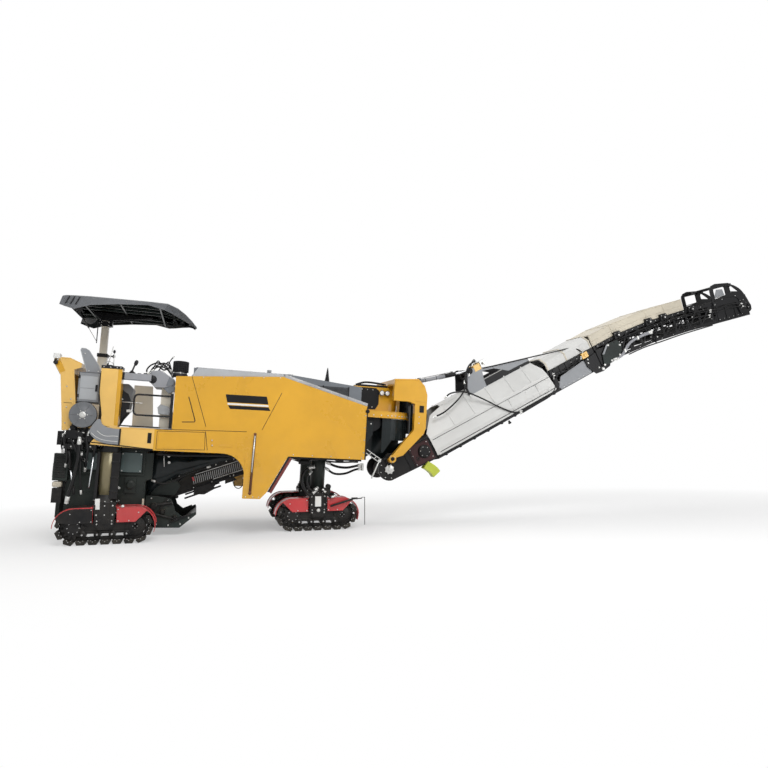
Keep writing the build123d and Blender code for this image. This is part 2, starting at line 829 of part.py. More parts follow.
def canopy():
    """The dark roof: a shallow shell with deep rear sides and a curved visor, on its inner post."""
    outer = [(-900, 3500), (-905, 3610), (-860, 3630), (560, 3640), (800, 3560), (940, 3469), (1041, 3301)]
    inner = [(1022, 3300), (905, 3450), (780, 3520), (560, 3600), (-400, 3590), (-760, 3480), (-890, 3470)]
    roof = side_plate(outer + inner, -canopy_half, canopy_half)
    drop = [(560, 3570), (-400, 3560), (-760, 3440), (-890, 3450)]
    cheek = side_plate(outer[:4] + drop, -canopy_half, -canopy_half + 25)
    post = block(-505 + 14 + seat_gap, -365 - 14 - seat_gap, 144 + seat_gap, 256 - seat_gap, 2250, 3600)
    arm = block(-560, 500, 160, 240, 3520, 3600)
    return joined([roof, cheek, mirror(cheek, about=Plane.XZ), post, arm])


def radiator_grille():
    """The louvred grille along the skirt's sloping front edge."""
    a = (skirt_front + 106, skirt_bottom + 110)
    b = (2566.0, body_floor)
    outline = (a, (a[0] + 45, a[1]), (b[0] + 45, b[1]), b)
    plate = side_plate(outline, -side + 4, -side + 24)
    return plate


def air_intakes():
    """The ribbed air cleaner cap at the hood's rear corner and the cone near the front."""
    cap = upright(850, -880, 95, 2520, 2760)
    for k in range(5):
        cap += upright(850, -880, 118, 2600 + k * 32, 2614 + k * 32)
    base = block(812, 930, -960, -800, 2490, 2545) - shoulders()
    cone = loft([RegularPolygon(38, 10), Pos(0, 0, 240) * RegularPolygon(6, 10)])
    cone = Pos(3200, -700, hood_height(3200.0) - 6) * cone
    cone -= side_plate(hood_profile(0.0), -800, -600)
    return cap + base + cone


# ---- Slewing yoke and lift cylinders -------------------------------------------------------------
arm_inner = 500.0             # half the space between the yoke's arms
arm_plate = 100.0
head_low = 2690.0
pivot_radius = 40.0


def slew_yoke():
    """The yellow yoke: a hub through the mast, a head above it and two cranked arms down to the pivots."""
    arm = [
        (slew_x - 30, 2420),
        (slew_x - 30, 2800),
        (4860, 2830),
        (4980, 2715),
        (5035, 2560),
        (5035, 1975),
        (5003, 1870),
        (4640, 1475),
    ]
    arm += arc_points(slew_x, lift_z, 72, 20, -160, 6)
    arm += [(4500, 1530), (4815, 1925), (4815, 2385), (4700, 2420)]
    outer = arm_inner + arm_plate
    right = side_plate(arm, -outer, -arm_inner)
    right -= turned_y(slew_x, lift_z, pivot_radius + running_gap, -outer - 1, -arm_inner + 1)
    head = block(slew_x - 30, 4850, -arm_inner - 10, arm_inner + 10, head_low, 2795)
    brow = ((4700, head_low + 10), (4850, head_low + 10), (4900, 2600), (4760, 2600))
    head += side_plate(brow, -arm_inner - 10, arm_inner + 10)
    hub = upright(slew_x, 0, hub_radius, mast_low - 60, head_low + 20)
    hub += upright(slew_x, 0, hub_radius + 60, mast_high + 6, head_low + 20)
    nut = upright(slew_x, 0, hub_radius + 45, mast_low - 78, mast_low - 30 - 6)
    ears = []
    ear = ((4840, 2700), (4990, 2700), (4975, 2850), (4920, 2870), (4840, 2800))
    for y in (-240, -140, 120, 220):
        ears.append(side_plate(ear, y, y + 20))
    yoke = joined([right, mirror(right, about=Plane.XZ), head, hub, nut] + ears)
    for sign in (1, -1):
        middle = sign * cylinder_half
        yoke -= shaft_y(*lift_base, clearing(lift_pin), middle - 70, middle + 70)
    return yoke


pivot_along = 86.0            # the lift pivot in the conveyor's own frame, from the tail drum's middle
pivot_up = 168.0


def conveyor_origin():
    """The tail drum's middle in the level body."""
    a = radians(conveyor_angle)
    return (
        slew_x - pivot_along * cos(a) + pivot_up * sin(a),
        lift_z - pivot_along * sin(a) - pivot_up * cos(a),
    )


def in_conveyor(shape):
    """From the conveyor's own frame, X along the belt from the tail drum, to the level body."""
    x, z = conveyor_origin()
    return Pos(x, 0, z) * Rot(0, -conveyor_angle, 0) * shape


def conveyor_point(along, up):
    a = radians(conveyor_angle)
    x, z = conveyor_origin()
    return (x + along * cos(a) - up * sin(a), z + along * sin(a) + up * cos(a))


cylinder_half = 180.0         # of each lift cylinder's centre line from the middle
lift_base = (4925.0, 2807.0)
lift_eye = (2230.0, 869.0)    # in the conveyor's own frame
barrel_length = 820.0
barrel_radius = 32.0
barrel_bottom = 60.0          # of the barrel's bore, from its base pin
rod_radius = 20.0
rod_foot = 145.0              # of the rod inside the barrel, from the base pin
lift_pin = 22.0
eye_half = 32.0
eye_gap = 3.0                 # beside a rod eye whose pivot is left open


def lift_line():
    eye = conveyor_point(*lift_eye)
    dx = eye[0] - lift_base[0]
    dz = eye[1] - lift_base[1]
    return eye, hypot(dx, dz), degrees(atan2(dz, dx))


def on_lift_line(shape):
    angle = lift_line()[2]
    return Pos(lift_base[0], 0, lift_base[1]) * Rot(0, -angle, 0) * shape


def lift_barrels():
    pieces = []
    for sign in (1, -1):
        y = sign * cylinder_half
        tube = rod((30, y, 0), (barrel_length, y, 0), barrel_radius)
        bore = rod((barrel_bottom, y, 0), (barrel_length + 1, y, 0), guiding(rod_radius))
        eye = shaft_y(0, 0, 44, y - eye_half, y + eye_half)
        gland = rod((barrel_length - 60, y, 0), (barrel_length, y, 0), barrel_radius + 6)
        pin = shaft_y(0, 0, lift_pin, y - 60, y + 60)
        pieces.append(joined([tube, gland, eye, pin]) - bore)
    return Compound([on_lift_line(piece) for piece in pieces])


def lift_rods():
    length = lift_line()[1]
    pieces = []
    for sign in (1, -1):
        y = sign * cylinder_half
        shank = rod((rod_foot, y, 0), (length - 20, y, 0), rod_radius)
        head = shaft_y(length, 0, 38, y - eye_half, y + eye_half)
        pieces.append(shank + head)
    return Compound([on_lift_line(piece) for piece in pieces])


# ---- Discharge conveyor, inner section -----------------------------------------------------------
frame_half = 400.0
frame_sheet = 14.0
chord_low = -271.0
chord_high = 180.0
tail_radius = 200.0
bracket_half = 292.0
bracket_sheet = 16.0
bracket_foot = 30.0           # height of its lower edge above the belt's middle
cover_start = 908.0
cover_end = 3626.0
cover_sheet = 8.0
truss_pitch = 460.0
truss_post = 100.0
fold_cylinder_half = 330.0
fold_base = (3800.0, -196.0)          # base pin of each fold cylinder
fold_eye_reach = 120.0                # of its rod's eye from the fold's axis
fold_eye_turn = 115.0                 # where that eye stands about the axis, degrees
fold_barrel_half = 26.0
fold_barrel_length = 640.0
fold_pin = 18.0
fold_rod_radius = 16.0
inner_drum_back = 140.0       # of the inner belt's upper drum, behind the fold
outer_drum_ahead = 125.0      # of the outer belt's lower drum, from the outer frame's foot


def inner_side():
    """The left side frame of the inner section, from the round tail housing to the fold."""
    inner = frame_half - frame_sheet
    outline = arc_points(0, 0, tail_radius, 95, 270, 9)
    outline += [(820, -242), (cover_start, chord_low), (fold_station - 12, chord_low)]
    outline += [(fold_station - 12, chord_high), (cover_start, chord_high), (300, 215)]
    plate = side_plate(outline, inner, frame_half)
    for k in range(8):
        start = cover_start + 92 + k * truss_pitch
        end = start + truss_pitch - truss_post
        plate -= side_plate(((start, -200), (end, -200), (end, 60), (start, 60)), inner - 1, frame_half + 1)
    pieces = [plate]
    end = fold_station - 12
    pieces.append(block(cover_start, end, frame_half - 60, frame_half, chord_low, chord_low + 14))
    pieces.append(shaft_y(0, 0, 36, inner, frame_half + 26))
    pieces.append(shaft_y(pivot_along, pivot_up, 95, inner, arm_inner - seat_gap))
    pieces.append(shaft_y(pivot_along, pivot_up, pivot_radius, arm_inner - 1, arm_inner + arm_plate + 12))
    cover_face = conveyor_width / 2 + 4 - cover_sheet - 2 * seat_gap
    for station in (cover_start + 140, (cover_start + cover_end) / 2, cover_end - 160):
        pieces.append(block(station, station + 60, frame_half - 2, cover_face, -100, -88))
    return joined(pieces + [fold_base_lug(), lift_bracket(), fold_hinge()])


def fold_base_lug():
    """The lug and pin for the fold cylinder's base."""
    base_a, base_n = fold_base
    low = fold_cylinder_half - fold_barrel_half - 16
    pieces = [shaft_y(base_a, base_n, fold_pin, low, frame_half - 2)]
    for y in (fold_cylinder_half - fold_barrel_half - 9, fold_cylinder_half + fold_barrel_half + 9):
        pieces.append(block(base_a - 40, base_a + 40, y - 6, y + 6, chord_low + 2, base_n + 40))
    pieces.append(block(base_a - 40, base_a + 40, low + 1, frame_half - 2, chord_low, chord_low + 14))
    return joined(pieces)


def lift_bracket():
    """The tall plate that takes one end of the lift cylinder's pin, on a shelf of the side frame."""
    outline = (
        (2040, bracket_foot),
        (2040, 600),
        (2120, 760),
        (2180, 905),
        (2290, 905),
        (2520, 808),
        (3430, 570),
        (3430, 300),
        (2500, bracket_foot),
    )
    inner = bracket_half - bracket_sheet
    plate = side_plate(outline, inner, bracket_half)
    plate -= side_plate(((2420, 600), (2460, 760), (2700, 700), (2860, 600)), inner - 1, bracket_half + 1)
    post = cover_start + 92 + 3 * truss_pitch - truss_post
    shelf_top = bracket_foot + 22
    shelf = block(post + 5, post + truss_post - 5, bracket_half - 2, frame_half - 2, bracket_foot, shelf_top)
    along, up = lift_eye
    pin = shaft_y(along, up, lift_pin, cylinder_half + eye_half + eye_gap, bracket_half - 4)
    return joined([plate, shelf, pin])


def lift_cross_member():
    """The beam between the bracket plates, and the lug on it with the inner ends of the pins."""
    along, up = lift_eye
    reach = bracket_half - bracket_sheet - seat_gap
    beam = block(along - 30, along + 60, -reach, reach, up - 170, up - 105)
    gap = cylinder_half - eye_half - eye_gap
    pieces = [shaft_y(along, up, lift_pin, -gap, gap)]
    pieces.append(rod((along + 30, -gap + 10, up - 80), (along + 30, gap - 10, up - 80), 20))
    foot = up - 105 + seat_gap
    outline = ((along - 30, up + 30), (along + 60, up + 30), (along + 60, foot), (along - 30, foot))
    for y in (-gap + 8, gap - 24):
        pieces.append(side_plate(outline, y, y + 16))
    return [beam, joined(pieces)]


def inner_frame():
    """Both side frames, and between them the cross tubes and the belt's drums."""
    side_frame = inner_side()
    solids = [side_frame, mirror(side_frame, about=Plane.XZ)]
    reach = frame_half - frame_sheet - seat_gap
    for station, axle in ((0, 36), (fold_station - inner_drum_back, 28)):
        drum = shaft_y(station, 0, belt_drum_radius, -belt_width / 2, belt_width / 2)
        solids.append(drum + shaft_y(station, 0, axle, -reach, reach))
    stations = [420.0] + [cover_start + 92 + k * truss_pitch - truss_post / 2 for k in range(8)]
    for station in stations:
        solids.append(shaft_y(station, 0, 26, -reach, reach))
    return Compound(solids + lift_cross_member())


def inner_covers():
    """The pale folded side covers and roof over the inner section, cut slanting at both ends."""
    t = cover_sheet
    half = conveyor_width / 2
    outer = [(half, -195), (half + 4, -90), (half - 18, 140), (262, 545), (0, 560)]
    shape = [(y, z) for y, z in outer] + [(-y, z) for y, z in reversed(outer[:-1])]
    inner = [(half - t, -195), (half + 4 - t, -90), (half - 18 - t, 137), (262 - t, 537), (0, 552)]
    hollow = [(y, z) for y, z in inner] + [(-y, z) for y, z in reversed(inner[:-1])]
    shell = cross_plate(shape + hollow[::-1], cover_start, cover_end)
    keep = side_plate(
        (
            (cover_start, -300),
            (cover_start, 236),
            (1145, 483),
            (1700, 600),
            (3340, 600),
            (3570, 268),
            (cover_end, -197),
            (cover_end, -300),
        ),
        -600,
        600,
    )
    slot = block(2030, 3440, -bracket_half - 2, -bracket_half + bracket_sheet + 2, 200, 700)
    return (shell & keep) - slot - mirror(slot, about=Plane.XZ)


def inner_upper_cover():
    """The arched pale cover from the side covers to the fold."""
    start = 3640.0
    end = fold_station - 12
    half = frame_half
    base = chord_high + seat_gap
    t = cover_sheet
    outer = [(half, base), (half, base + 150), (half - 130, base + 255)]
    outer += [(-y, z) for y, z in reversed(outer)]
    inner = [(-half + t, base), (-half + t, base + 146), (-half + 134, base + 247)]
    inner += [(-y, z) for y, z in reversed(inner)]
    return cross_plate(outer + inner, start, end)


# ---- Discharge conveyor, outer section -----------------------------------------------------------
hinge_n = -300.0              # of the fold's axis below the belt
head_housing_start = 760.0    # of the head's closed plates, along the last straight length
head_drum_back = 150.0        # of the head drum, from the end of the frame
outer_post = 36.0             # width of the truss's posts
brace_half = 14.0
fold_hinge_pin = 22.0
fold_eye_half = 22.0          # half the width of the fold rod's eye
fold_gap = 12.0
# each straight length of the outer section and its heading against the inner one, degrees
outer_runs = ((540.0, 0.0), (830.0, -5.2), (930.0, -9.8), (1640.0, -12.0))
tip_guard_start = outer_runs[-1][0] - 950.0


def outer_stations():
    """Start and heading of each straight length of the outer section, along its belt line."""
    found = []
    x, z = fold_station + fold_gap, 0.0
    for length, heading in outer_runs:
        found.append((x, z, heading, length))
        x += length * cos(radians(heading))
        z += length * sin(radians(heading))
    found.append((x, z, heading, 0.0))
    return found


def offset_line(up):
    """The outer section's belt line shifted up by this much, as points at its bends."""
    stations = outer_stations()
    points = []
    before = stations[0][2]
    for x, z, heading, length in stations:
        bend = (heading + before) / 2
        reach = up / cos(radians((heading - before) / 2))
        points.append((x - reach * sin(radians(bend)), z + reach * cos(radians(bend))))
        before = heading
    return points


def fold_eye():
    turn = radians(fold_eye_turn)
    return (fold_station + fold_eye_reach * cos(turn), hinge_n + fold_eye_reach * sin(turn))


def fold_line():
    eye = fold_eye()
    dx = eye[0] - fold_base[0]
    dz = eye[1] - fold_base[1]
    return hypot(dx, dz), degrees(atan2(dz, dx))


def on_fold_line(shape):
    angle = fold_line()[1]
    return Pos(fold_base[0], 0, fold_base[1]) * Rot(0, -angle, 0) * shape


def fold_barrels():
    pieces = []
    for y in (fold_cylinder_half, -fold_cylinder_half):
        tube = rod((20, y, 0), (fold_barrel_length, y, 0), fold_barrel_half)
        bore = rod((120, y, 0), (fold_barrel_length + 1, y, 0), guiding(fold_rod_radius))
        eye = shaft_y(0, 0, 34, y - fold_barrel_half, y + fold_barrel_half)
        hole = shaft_y(0, 0, guiding(fold_pin), y - fold_barrel_half - 1, y + fold_barrel_half + 1)
        hole = Rot(0, fold_line()[1], 0) * hole
        pieces.append(tube + eye - bore - hole)
    return Compound([on_fold_line(piece) for piece in pieces])


def fold_rods():
    length = fold_line()[0]
    pieces = []
    for y in (fold_cylinder_half, -fold_cylinder_half):
        shank = rod((150, y, 0), (length - 12, y, 0), fold_rod_radius)
        pieces.append(shank + shaft_y(length, 0, 28, y - fold_eye_half, y + fold_eye_half))
    return Compound([on_fold_line(piece) for piece in pieces])


def outer_side():
    """The left truss of the outer section: chords, posts and diagonals, and the head housing."""
    inner = frame_half - frame_sheet
    truss = side_plate(offset_line(chord_high) + offset_line(chord_low)[::-1], inner, frame_half)
    foot = chord_low + 60
    top = chord_high - 70
    for at, station, step, last in outer_posts():
        if last:
            continue
        rear = station + outer_post
        front = station + step - 12
        lean = atan2(top - foot, front - rear)
        across = brace_half / sin(lean)
        above = brace_half / cos(lean)
        under = ((rear + across, foot), (front, foot), (front, top - above))
        over = ((rear, foot + above), (rear, top), (front - across, top))
        for window in (under, over):
            truss -= at * side_plate(window, inner - 1, frame_half + 1)
    pieces = [truss]
    length = outer_runs[-1][0]
    housing = side_plate(
        (
            (head_housing_start, chord_high - 2),
            (length, chord_high - 60),
            (length, chord_low + 70),
            (length - 120, chord_low + 2),
            (head_housing_start, chord_low + 2),
        ),
        inner,
        frame_half,
    )
    hub = shaft_y(length - head_drum_back, 0, 34, inner, frame_half + 30)
    pieces.append(in_head(housing + hub))
    return joined(pieces + [in_head(tip_guard()), fold_ear()] + fold_eye_plates())


def outer_posts():
    """Each post of the truss: its frame, its station, the step to the next, and whether it ends the truss."""
    found = []
    for k, (x, z, heading, length) in enumerate(outer_stations()[:-1]):
        parts = round(length / 300)
        step = length / parts
        for part in range(parts):
            last = k == len(outer_runs) - 1 and step * part >= head_housing_start
            found.append((Pos(x, 0, z) * Rot(0, -heading, 0), step * part, step, last))
    return found


def in_head(shape):
    """From the frame of the last straight length to the conveyor's own frame."""
    x, z, heading = outer_stations()[-2][:3]
    return Pos(x, 0, z) * Rot(0, -heading, 0) * shape


def fold_ear():
    """The outer section's hinge plate beside its side frame, bored for the fold's pin."""
    plate = side_plate(
        (
            (fold_station + 20, 100),
            (fold_station + 330, 60),
            (fold_station + 330, -120),
            (fold_station + 180, hinge_n - 20),
            (fold_station + 20, hinge_n - 40),
        ),
        frame_half - 2,
        frame_half + 16,
    )
    knuckle = side_plate(
        (
            (fold_station + 24, hinge_n - 44),
            (fold_station, hinge_n - 44),
            (fold_station - 40, hinge_n),
            (fold_station, hinge_n + 44),
            (fold_station + 24, hinge_n + 60),
        ),
        frame_half + 0.5,
        frame_half + 16,
    )
    hole = turned_y(fold_station, hinge_n, fold_hinge_pin + running_gap, frame_half - 3, frame_half + 17)
    return joined([plate, knuckle]) - hole


def fold_eye_plates():
    """The two plates beside the fold rod's eye and the web that carries them."""
    a, n = fold_eye()
    inner = fold_cylinder_half - fold_eye_half - eye_gap
    outer = fold_cylinder_half + fold_eye_half + eye_gap
    outline = ((a - 26, n - 30), (a - 26, n + 26), (fold_station + 60, n + 90), (fold_station + 60, n - 60))
    plates = [side_plate(outline, inner - 10, inner), side_plate(outline, outer, outer + 10)]
    plates.append(block(fold_station + 36, fold_station + 62, inner - 10, frame_half - 2, n - 60, n + 90))
    return plates


def outer_frame():
    """Both trusses, and between them the cross tubes, the belt's drums and the guard's ties."""
    side_frame = outer_side()
    solids = [side_frame, mirror(side_frame, about=Plane.XZ)]
    reach = frame_half - frame_sheet - seat_gap
    for at, station, step, last in outer_posts()[1:]:
        if not last:
            solids.append(at * shaft_y(station + outer_post / 2, 0, 24, -reach, reach))
    drum = shaft_y(0, 0, belt_drum_radius, -belt_width / 2, belt_width / 2)
    tail_reach = frame_half - 2 - seat_gap
    tail = drum + shaft_y(0, 0, 28, -tail_reach, tail_reach)
    solids.append(Pos(fold_station + fold_gap + outer_drum_ahead, 0, 0) * tail)
    head = drum + shaft_y(0, 0, 34, -reach, reach)
    solids.append(in_head(Pos(outer_runs[-1][0] - head_drum_back, 0, 0) * head))
    for along, up in ((300, 490), (560, 470)):
        tie = shaft_y(along + tip_guard_start, up, 18, -tail_reach, tail_reach)
        solids.append(in_head(tie))
    return Compound(solids)


def fold_hinge():
    """The inner section's ear and pin for the fold, on a spacer beside its side frame."""
    plate = side_plate(
        (
            (fold_station - 16, 60),
            (fold_station - 300, 20),
            (fold_station - 300, -120),
            (fold_station - 180, hinge_n - 20),
            (fold_station, hinge_n - 44),
            (fold_station, hinge_n + 44),
            (fold_station - 16, hinge_n + 60),
        ),
        frame_half + 16 + seat_gap,
        frame_half + 32,
    )
    spacer = block(fold_station - 290, fold_station - 60, frame_half - 2, frame_half + 17, -110, -20)
    knuckle = shaft_y(fold_station, hinge_n, 44, frame_half + 16 + seat_gap, frame_half + 32)
    pin = shaft_y(fold_station, hinge_n, fold_hinge_pin, frame_half - 6, frame_half + 40)
    return joined([plate, spacer, knuckle, pin])


def outer_cover():
    """The pale arched cover over the outer section, bent with it."""
    half = frame_half
    base = chord_high + seat_gap
    high = offset_line(base + 230)
    low = offset_line(base)
    t = 8.0
    high_in = offset_line(base + 230 - t)
    stop = len(outer_runs)
    roof = side_plate(high[:stop] + low[:stop][::-1], -half, half)
    under = side_plate(high_in[:stop] + low[:stop][::-1], -half + t, half - t)
    ends = offset_line(base - 1)
    slit = side_plate(ends[:stop] + low[:stop][::-1], -half + t, half - t)
    return roof - under - slit


def tip_guard():
    """The left hooped guard plate at the conveyor's tip, with its three windows."""
    outline = [(60, 80), (60, 440), (110, 520), (220, 545), (560, 500)]
    outline += [(800, 330), (930, 120), (1010, -80), (1000, -160), (950, -200), (700, -190), (640, 60)]
    windows = (
        ((130, 230), (130, 450), (440, 450), (440, 260)),
        ((560, 300), (560, 440), (640, 410), (780, 270)),
        ((760, 60), (900, 40), (960, -100), (930, -150), (760, -130)),
    )
    plate = side_plate(outline, frame_half - 2, frame_half + 24)
    for window in windows:
        plate -= side_plate(window, frame_half - 3, frame_half + 25)
    return Pos(tip_guard_start, 0, 0) * plate


def inner_belt():
    return belt_loop(fold_station - inner_drum_back, belt_drum_radius + seat_gap, 330.0)


def outer_belt():
    """The outer section's belt, bent with the truss, from the fold's drum to the head drum."""
    radius = belt_drum_radius + seat_gap
    x, z, heading, length = outer_stations()[-2]
    end_x = x + (length - head_drum_back) * cos(radians(heading))
    end_z = z + (length - head_drum_back) * sin(radians(heading))
    start_x = fold_station + fold_gap + outer_drum_ahead
    half = belt_width / 2 - 20
    rings = []
    for reach in (radius + belt_sheet, radius):
        sine, cosine = sin(radians(heading)), cos(radians(heading))
        points = [(start_x, reach), (start_x, -reach)]
        points += offset_line(-reach)[1:-1]
        points.append((end_x + reach * sine, end_z - reach * cosine))
        points.append((end_x - reach * sine, end_z + reach * cosine))
        points += offset_line(reach)[1:-1][::-1]
        turn = shaft_y(0, 0, reach, -half, half)
        ends = Pos(start_x, 0, 0) * turn + Pos(end_x, 0, end_z) * Rot(0, -heading, 0) * turn
        rings.append(side_plate(points, -half, half) + ends)
    loop = rings[0] - rings[1]
    cleats = []
    for k, (sx, sz, turn, run) in enumerate(outer_stations()[:-1]):
        at = Pos(sx, 0, sz) * Rot(0, -turn, 0)
        for part in range(3):
            s = run * (part + 0.5) / 3 + 40
            if k == 0 and part == 0 or k == len(outer_runs) - 1 and part == 2:
                continue
            top = radius + belt_sheet
            cleats.append(at * block(s - 12, s + 12, -half + 40, half - 40, top - 1, top + 24))
    return joined([loop] + cleats)


# ---- Assembly ------------------------------------------------------------------------------------
nodes = {}


def put(name, shape):
    nodes[name] = shape


for name, x, gauge, radius in (
    ("rear", 0.0, rear_gauge, rear_column_radius),
    ("front", wheelbase, front_gauge, front_column_radius),
):
    chain = track_chain()
    leg = leg_with_frame(radius)
    guard_parts = track_guard(150 if name == "rear" else 175, -20, 260.0, -1)
    guard = Compound(list(guard_parts))
    for label, sign in (("right", -1), ("left", 1)):
        at = Pos(x, sign * gauge / 2, 0)
        put(f"track_chain_{name}_{label}", at * chain)
        put(f"leg_{name}_{label}", at * leg)
        put(f"track_guard_{name}_{label}", at * (guard if sign < 0 else mirror(guard, about=Plane.XZ)))

put("main_frame", pitched(main_frame()))
put("side_panels", pitched(mirrored(side_panel())))
put("engine_hood", pitched(Compound([hood_split(False)] + list(mirrored(shoulders()).solids()))))
put("hood_lid", pitched(hood_split(True)))
put("engine", pitched(engine_block()))
put("front_mast", pitched(front_mast()))
put("transfer_curtain", pitched(transfer_curtain()))
put("primary_conveyor", pitched(primary_conveyor()))
put("primary_belt", pitched(in_primary(belt_loop(primary_length, belt_drum_radius + seat_gap, 300.0))))
put("drum_housing", pitched(drum_housing() + door_shaft()))
put("scraper_door", pitched(scraper_door()))
put("edge_plate", pitched(edge_plate()))
put("milling_drum", pitched(Pos(drum_x, 0, drum_z) * milling_drum()))
put("platform", pitched(platform()))
put("rear_cabinet", pitched(rear_cabinet()))
put("corner_box", pitched(corner_box()))
put("locker_and_reel", pitched(Compound([grey_locker(), hose_reel()])))
put("locker_door", pitched(locker_door()))
put("stand_fittings", pitched(Compound([control_stand(), stand_post(), handrails()])))
put("canopy_post", pitched(canopy_post()))
put("canopy", pitched(canopy()))
put("grilles_and_intakes", pitched(mirrored(radiator_grille()) + air_intakes()))
put("slew_yoke", pitched(slew_yoke()))
put("lift_barrels", pitched(lift_barrels()))
put("lift_rods", pitched(lift_rods()))
put("conveyor_inner_frame", pitched(in_conveyor(inner_frame())))
put("conveyor_inner_covers", pitched(in_conveyor(Compound([inner_covers(), inner_upper_cover()]))))
put("conveyor_inner_belt", pitched(in_conveyor(inner_belt())))
put("fold_barrels", pitched(in_conveyor(fold_barrels())))
put("fold_rods", pitched(in_conveyor(fold_rods())))
put("conveyor_outer_frame", pitched(in_conveyor(outer_frame())))
put("conveyor_outer_cover", pitched(in_conveyor(outer_cover())))
put("conveyor_outer_belt", pitched(in_conveyor(outer_belt())))

boxes = [shape.bounding_box() for shape in nodes.values()]
low = [min(getattr(box.min, axis) for box in boxes) for axis in "XYZ"]
high = [max(getattr(box.max, axis) for box in boxes) for axis in "XYZ"]
origin_x = (low[0] + high[0]) / 2
origin_y = (low[1] + high[1]) / 2
origin_z = low[2]

os.makedirs("parts", exist_ok=True)
for name, shape in nodes.items():
    export_step(Pos(-origin_x, -origin_y, -origin_z) * shape, f"parts/{name}.step")
print("length, width, height:", [round(b - a) for a, b in zip(low, high)])
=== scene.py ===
import bpy
import bmesh
from math import atan2, cos, pi, radians, sin, sqrt
from mathutils import Matrix, Vector


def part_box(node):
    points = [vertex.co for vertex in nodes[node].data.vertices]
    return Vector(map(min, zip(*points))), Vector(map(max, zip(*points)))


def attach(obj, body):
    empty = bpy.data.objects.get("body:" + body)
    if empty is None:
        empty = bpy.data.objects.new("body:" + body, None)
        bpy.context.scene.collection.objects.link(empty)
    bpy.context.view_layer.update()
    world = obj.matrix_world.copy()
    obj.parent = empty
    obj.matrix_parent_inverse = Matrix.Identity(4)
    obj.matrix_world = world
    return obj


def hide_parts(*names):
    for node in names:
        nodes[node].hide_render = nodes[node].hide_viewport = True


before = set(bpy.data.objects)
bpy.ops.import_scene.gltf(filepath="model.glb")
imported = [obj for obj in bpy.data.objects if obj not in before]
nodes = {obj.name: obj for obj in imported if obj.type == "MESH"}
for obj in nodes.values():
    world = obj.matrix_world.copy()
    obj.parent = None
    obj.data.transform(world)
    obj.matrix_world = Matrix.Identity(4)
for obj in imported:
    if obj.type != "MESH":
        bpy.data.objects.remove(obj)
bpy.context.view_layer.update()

# Where things stand: the body leans nose-down on its legs, the conveyor is raised from the body.
layout = {
    "lean": 3.2,
    "gauge": (2.12, 1.15),
    "wheelbase": 3.2,
    "tail": (4.4602, 1.2165),
    "conveyorRise": 30.2,
    "foldStation": 4.75,
    "foldGap": 0.012,
    "outerRuns": ((0.54, 0.0), (0.83, -5.2), (0.93, -9.8), (1.64, -12.0)),
}
low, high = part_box("track_chain_rear_right")
machine = Matrix.Translation(((low.x + high.x) / 2, 0,
    0))      # X forwards from the rear tracks, Z from the ground
body = machine @ Matrix.Rotation(radians(layout["lean"]), 4, "Y")
tailX, tailZ = layout["tail"]
conveyor = body @ Matrix.Translation((tailX, 0, tailZ)) @ Matrix.Rotation(-radians(layout["conveyorRise"]),
    4, "Y")


def outerFrames():
    found = []
    x, z = layout["foldStation"] + layout["foldGap"], 0.0
    for length, heading in layout["outerRuns"]:
        turn = Matrix.Rotation(-radians(heading), 4, "Y")
        found.append((conveyor @ Matrix.Translation((x, 0, z)) @ turn, length))
        x += length * cos(radians(heading))
        z += length * sin(radians(heading))
    return found


outer = outerFrames()
print("stage: frames ready")


def group(name, inputs, outputs):
    g = bpy.data.node_groups.new(name, "ShaderNodeTree")
    for label, kind, value in inputs:
        s = g.interface.new_socket(name=label, in_out="INPUT", socket_type=kind)
        if value is not None:
            s.default_value = value
    for label, kind in outputs:
        g.interface.new_socket(name=label, in_out="OUTPUT", socket_type=kind)
    return g, g.nodes.new("NodeGroupInput"), g.nodes.new("NodeGroupOutput")


def node(tree, kind, values=None, **props):
    n = tree.nodes.new(kind)
    for key, value in props.items():
        setattr(n, key, value)
    for key, value in (values or {}).items():
        n.inputs[key].default_value = value
    return n


def ramp(tree, source, lowAt, highAt, lowValue=0.0, highValue=1.0):
    m = node(tree, "ShaderNodeMapRange", {"From Min": lowAt, "From Max": highAt, "To Min": lowValue,
        "To Max": highValue})
    tree.links.new(source, m.inputs["Value"])
    return m.outputs["Result"]


def maths(tree, operation, a, b=None, clamp=False):
    m = node(tree, "ShaderNodeMath", operation=operation, use_clamp=clamp)
    for k, v in enumerate((a, b)):
        if v is None:
            continue
        if hasattr(v, "is_linked"):
            tree.links.new(v, m.inputs[k])
        else:
            m.inputs[k].default_value = v
    return m.outputs[0]


def mixColour(tree, factor, a, b):
    m = node(tree, "ShaderNodeMix", data_type="RGBA")
    for value, socket in ((factor, m.inputs[0]), (a, m.inputs[6]), (b, m.inputs[7])):
        if hasattr(value, "is_linked"):
            tree.links.new(value, socket)
        elif isinstance(value, (tuple, list)):
            socket.default_value = (*value[:3], 1.0)
        else:
            socket.default_value = value
    return m.outputs[2]


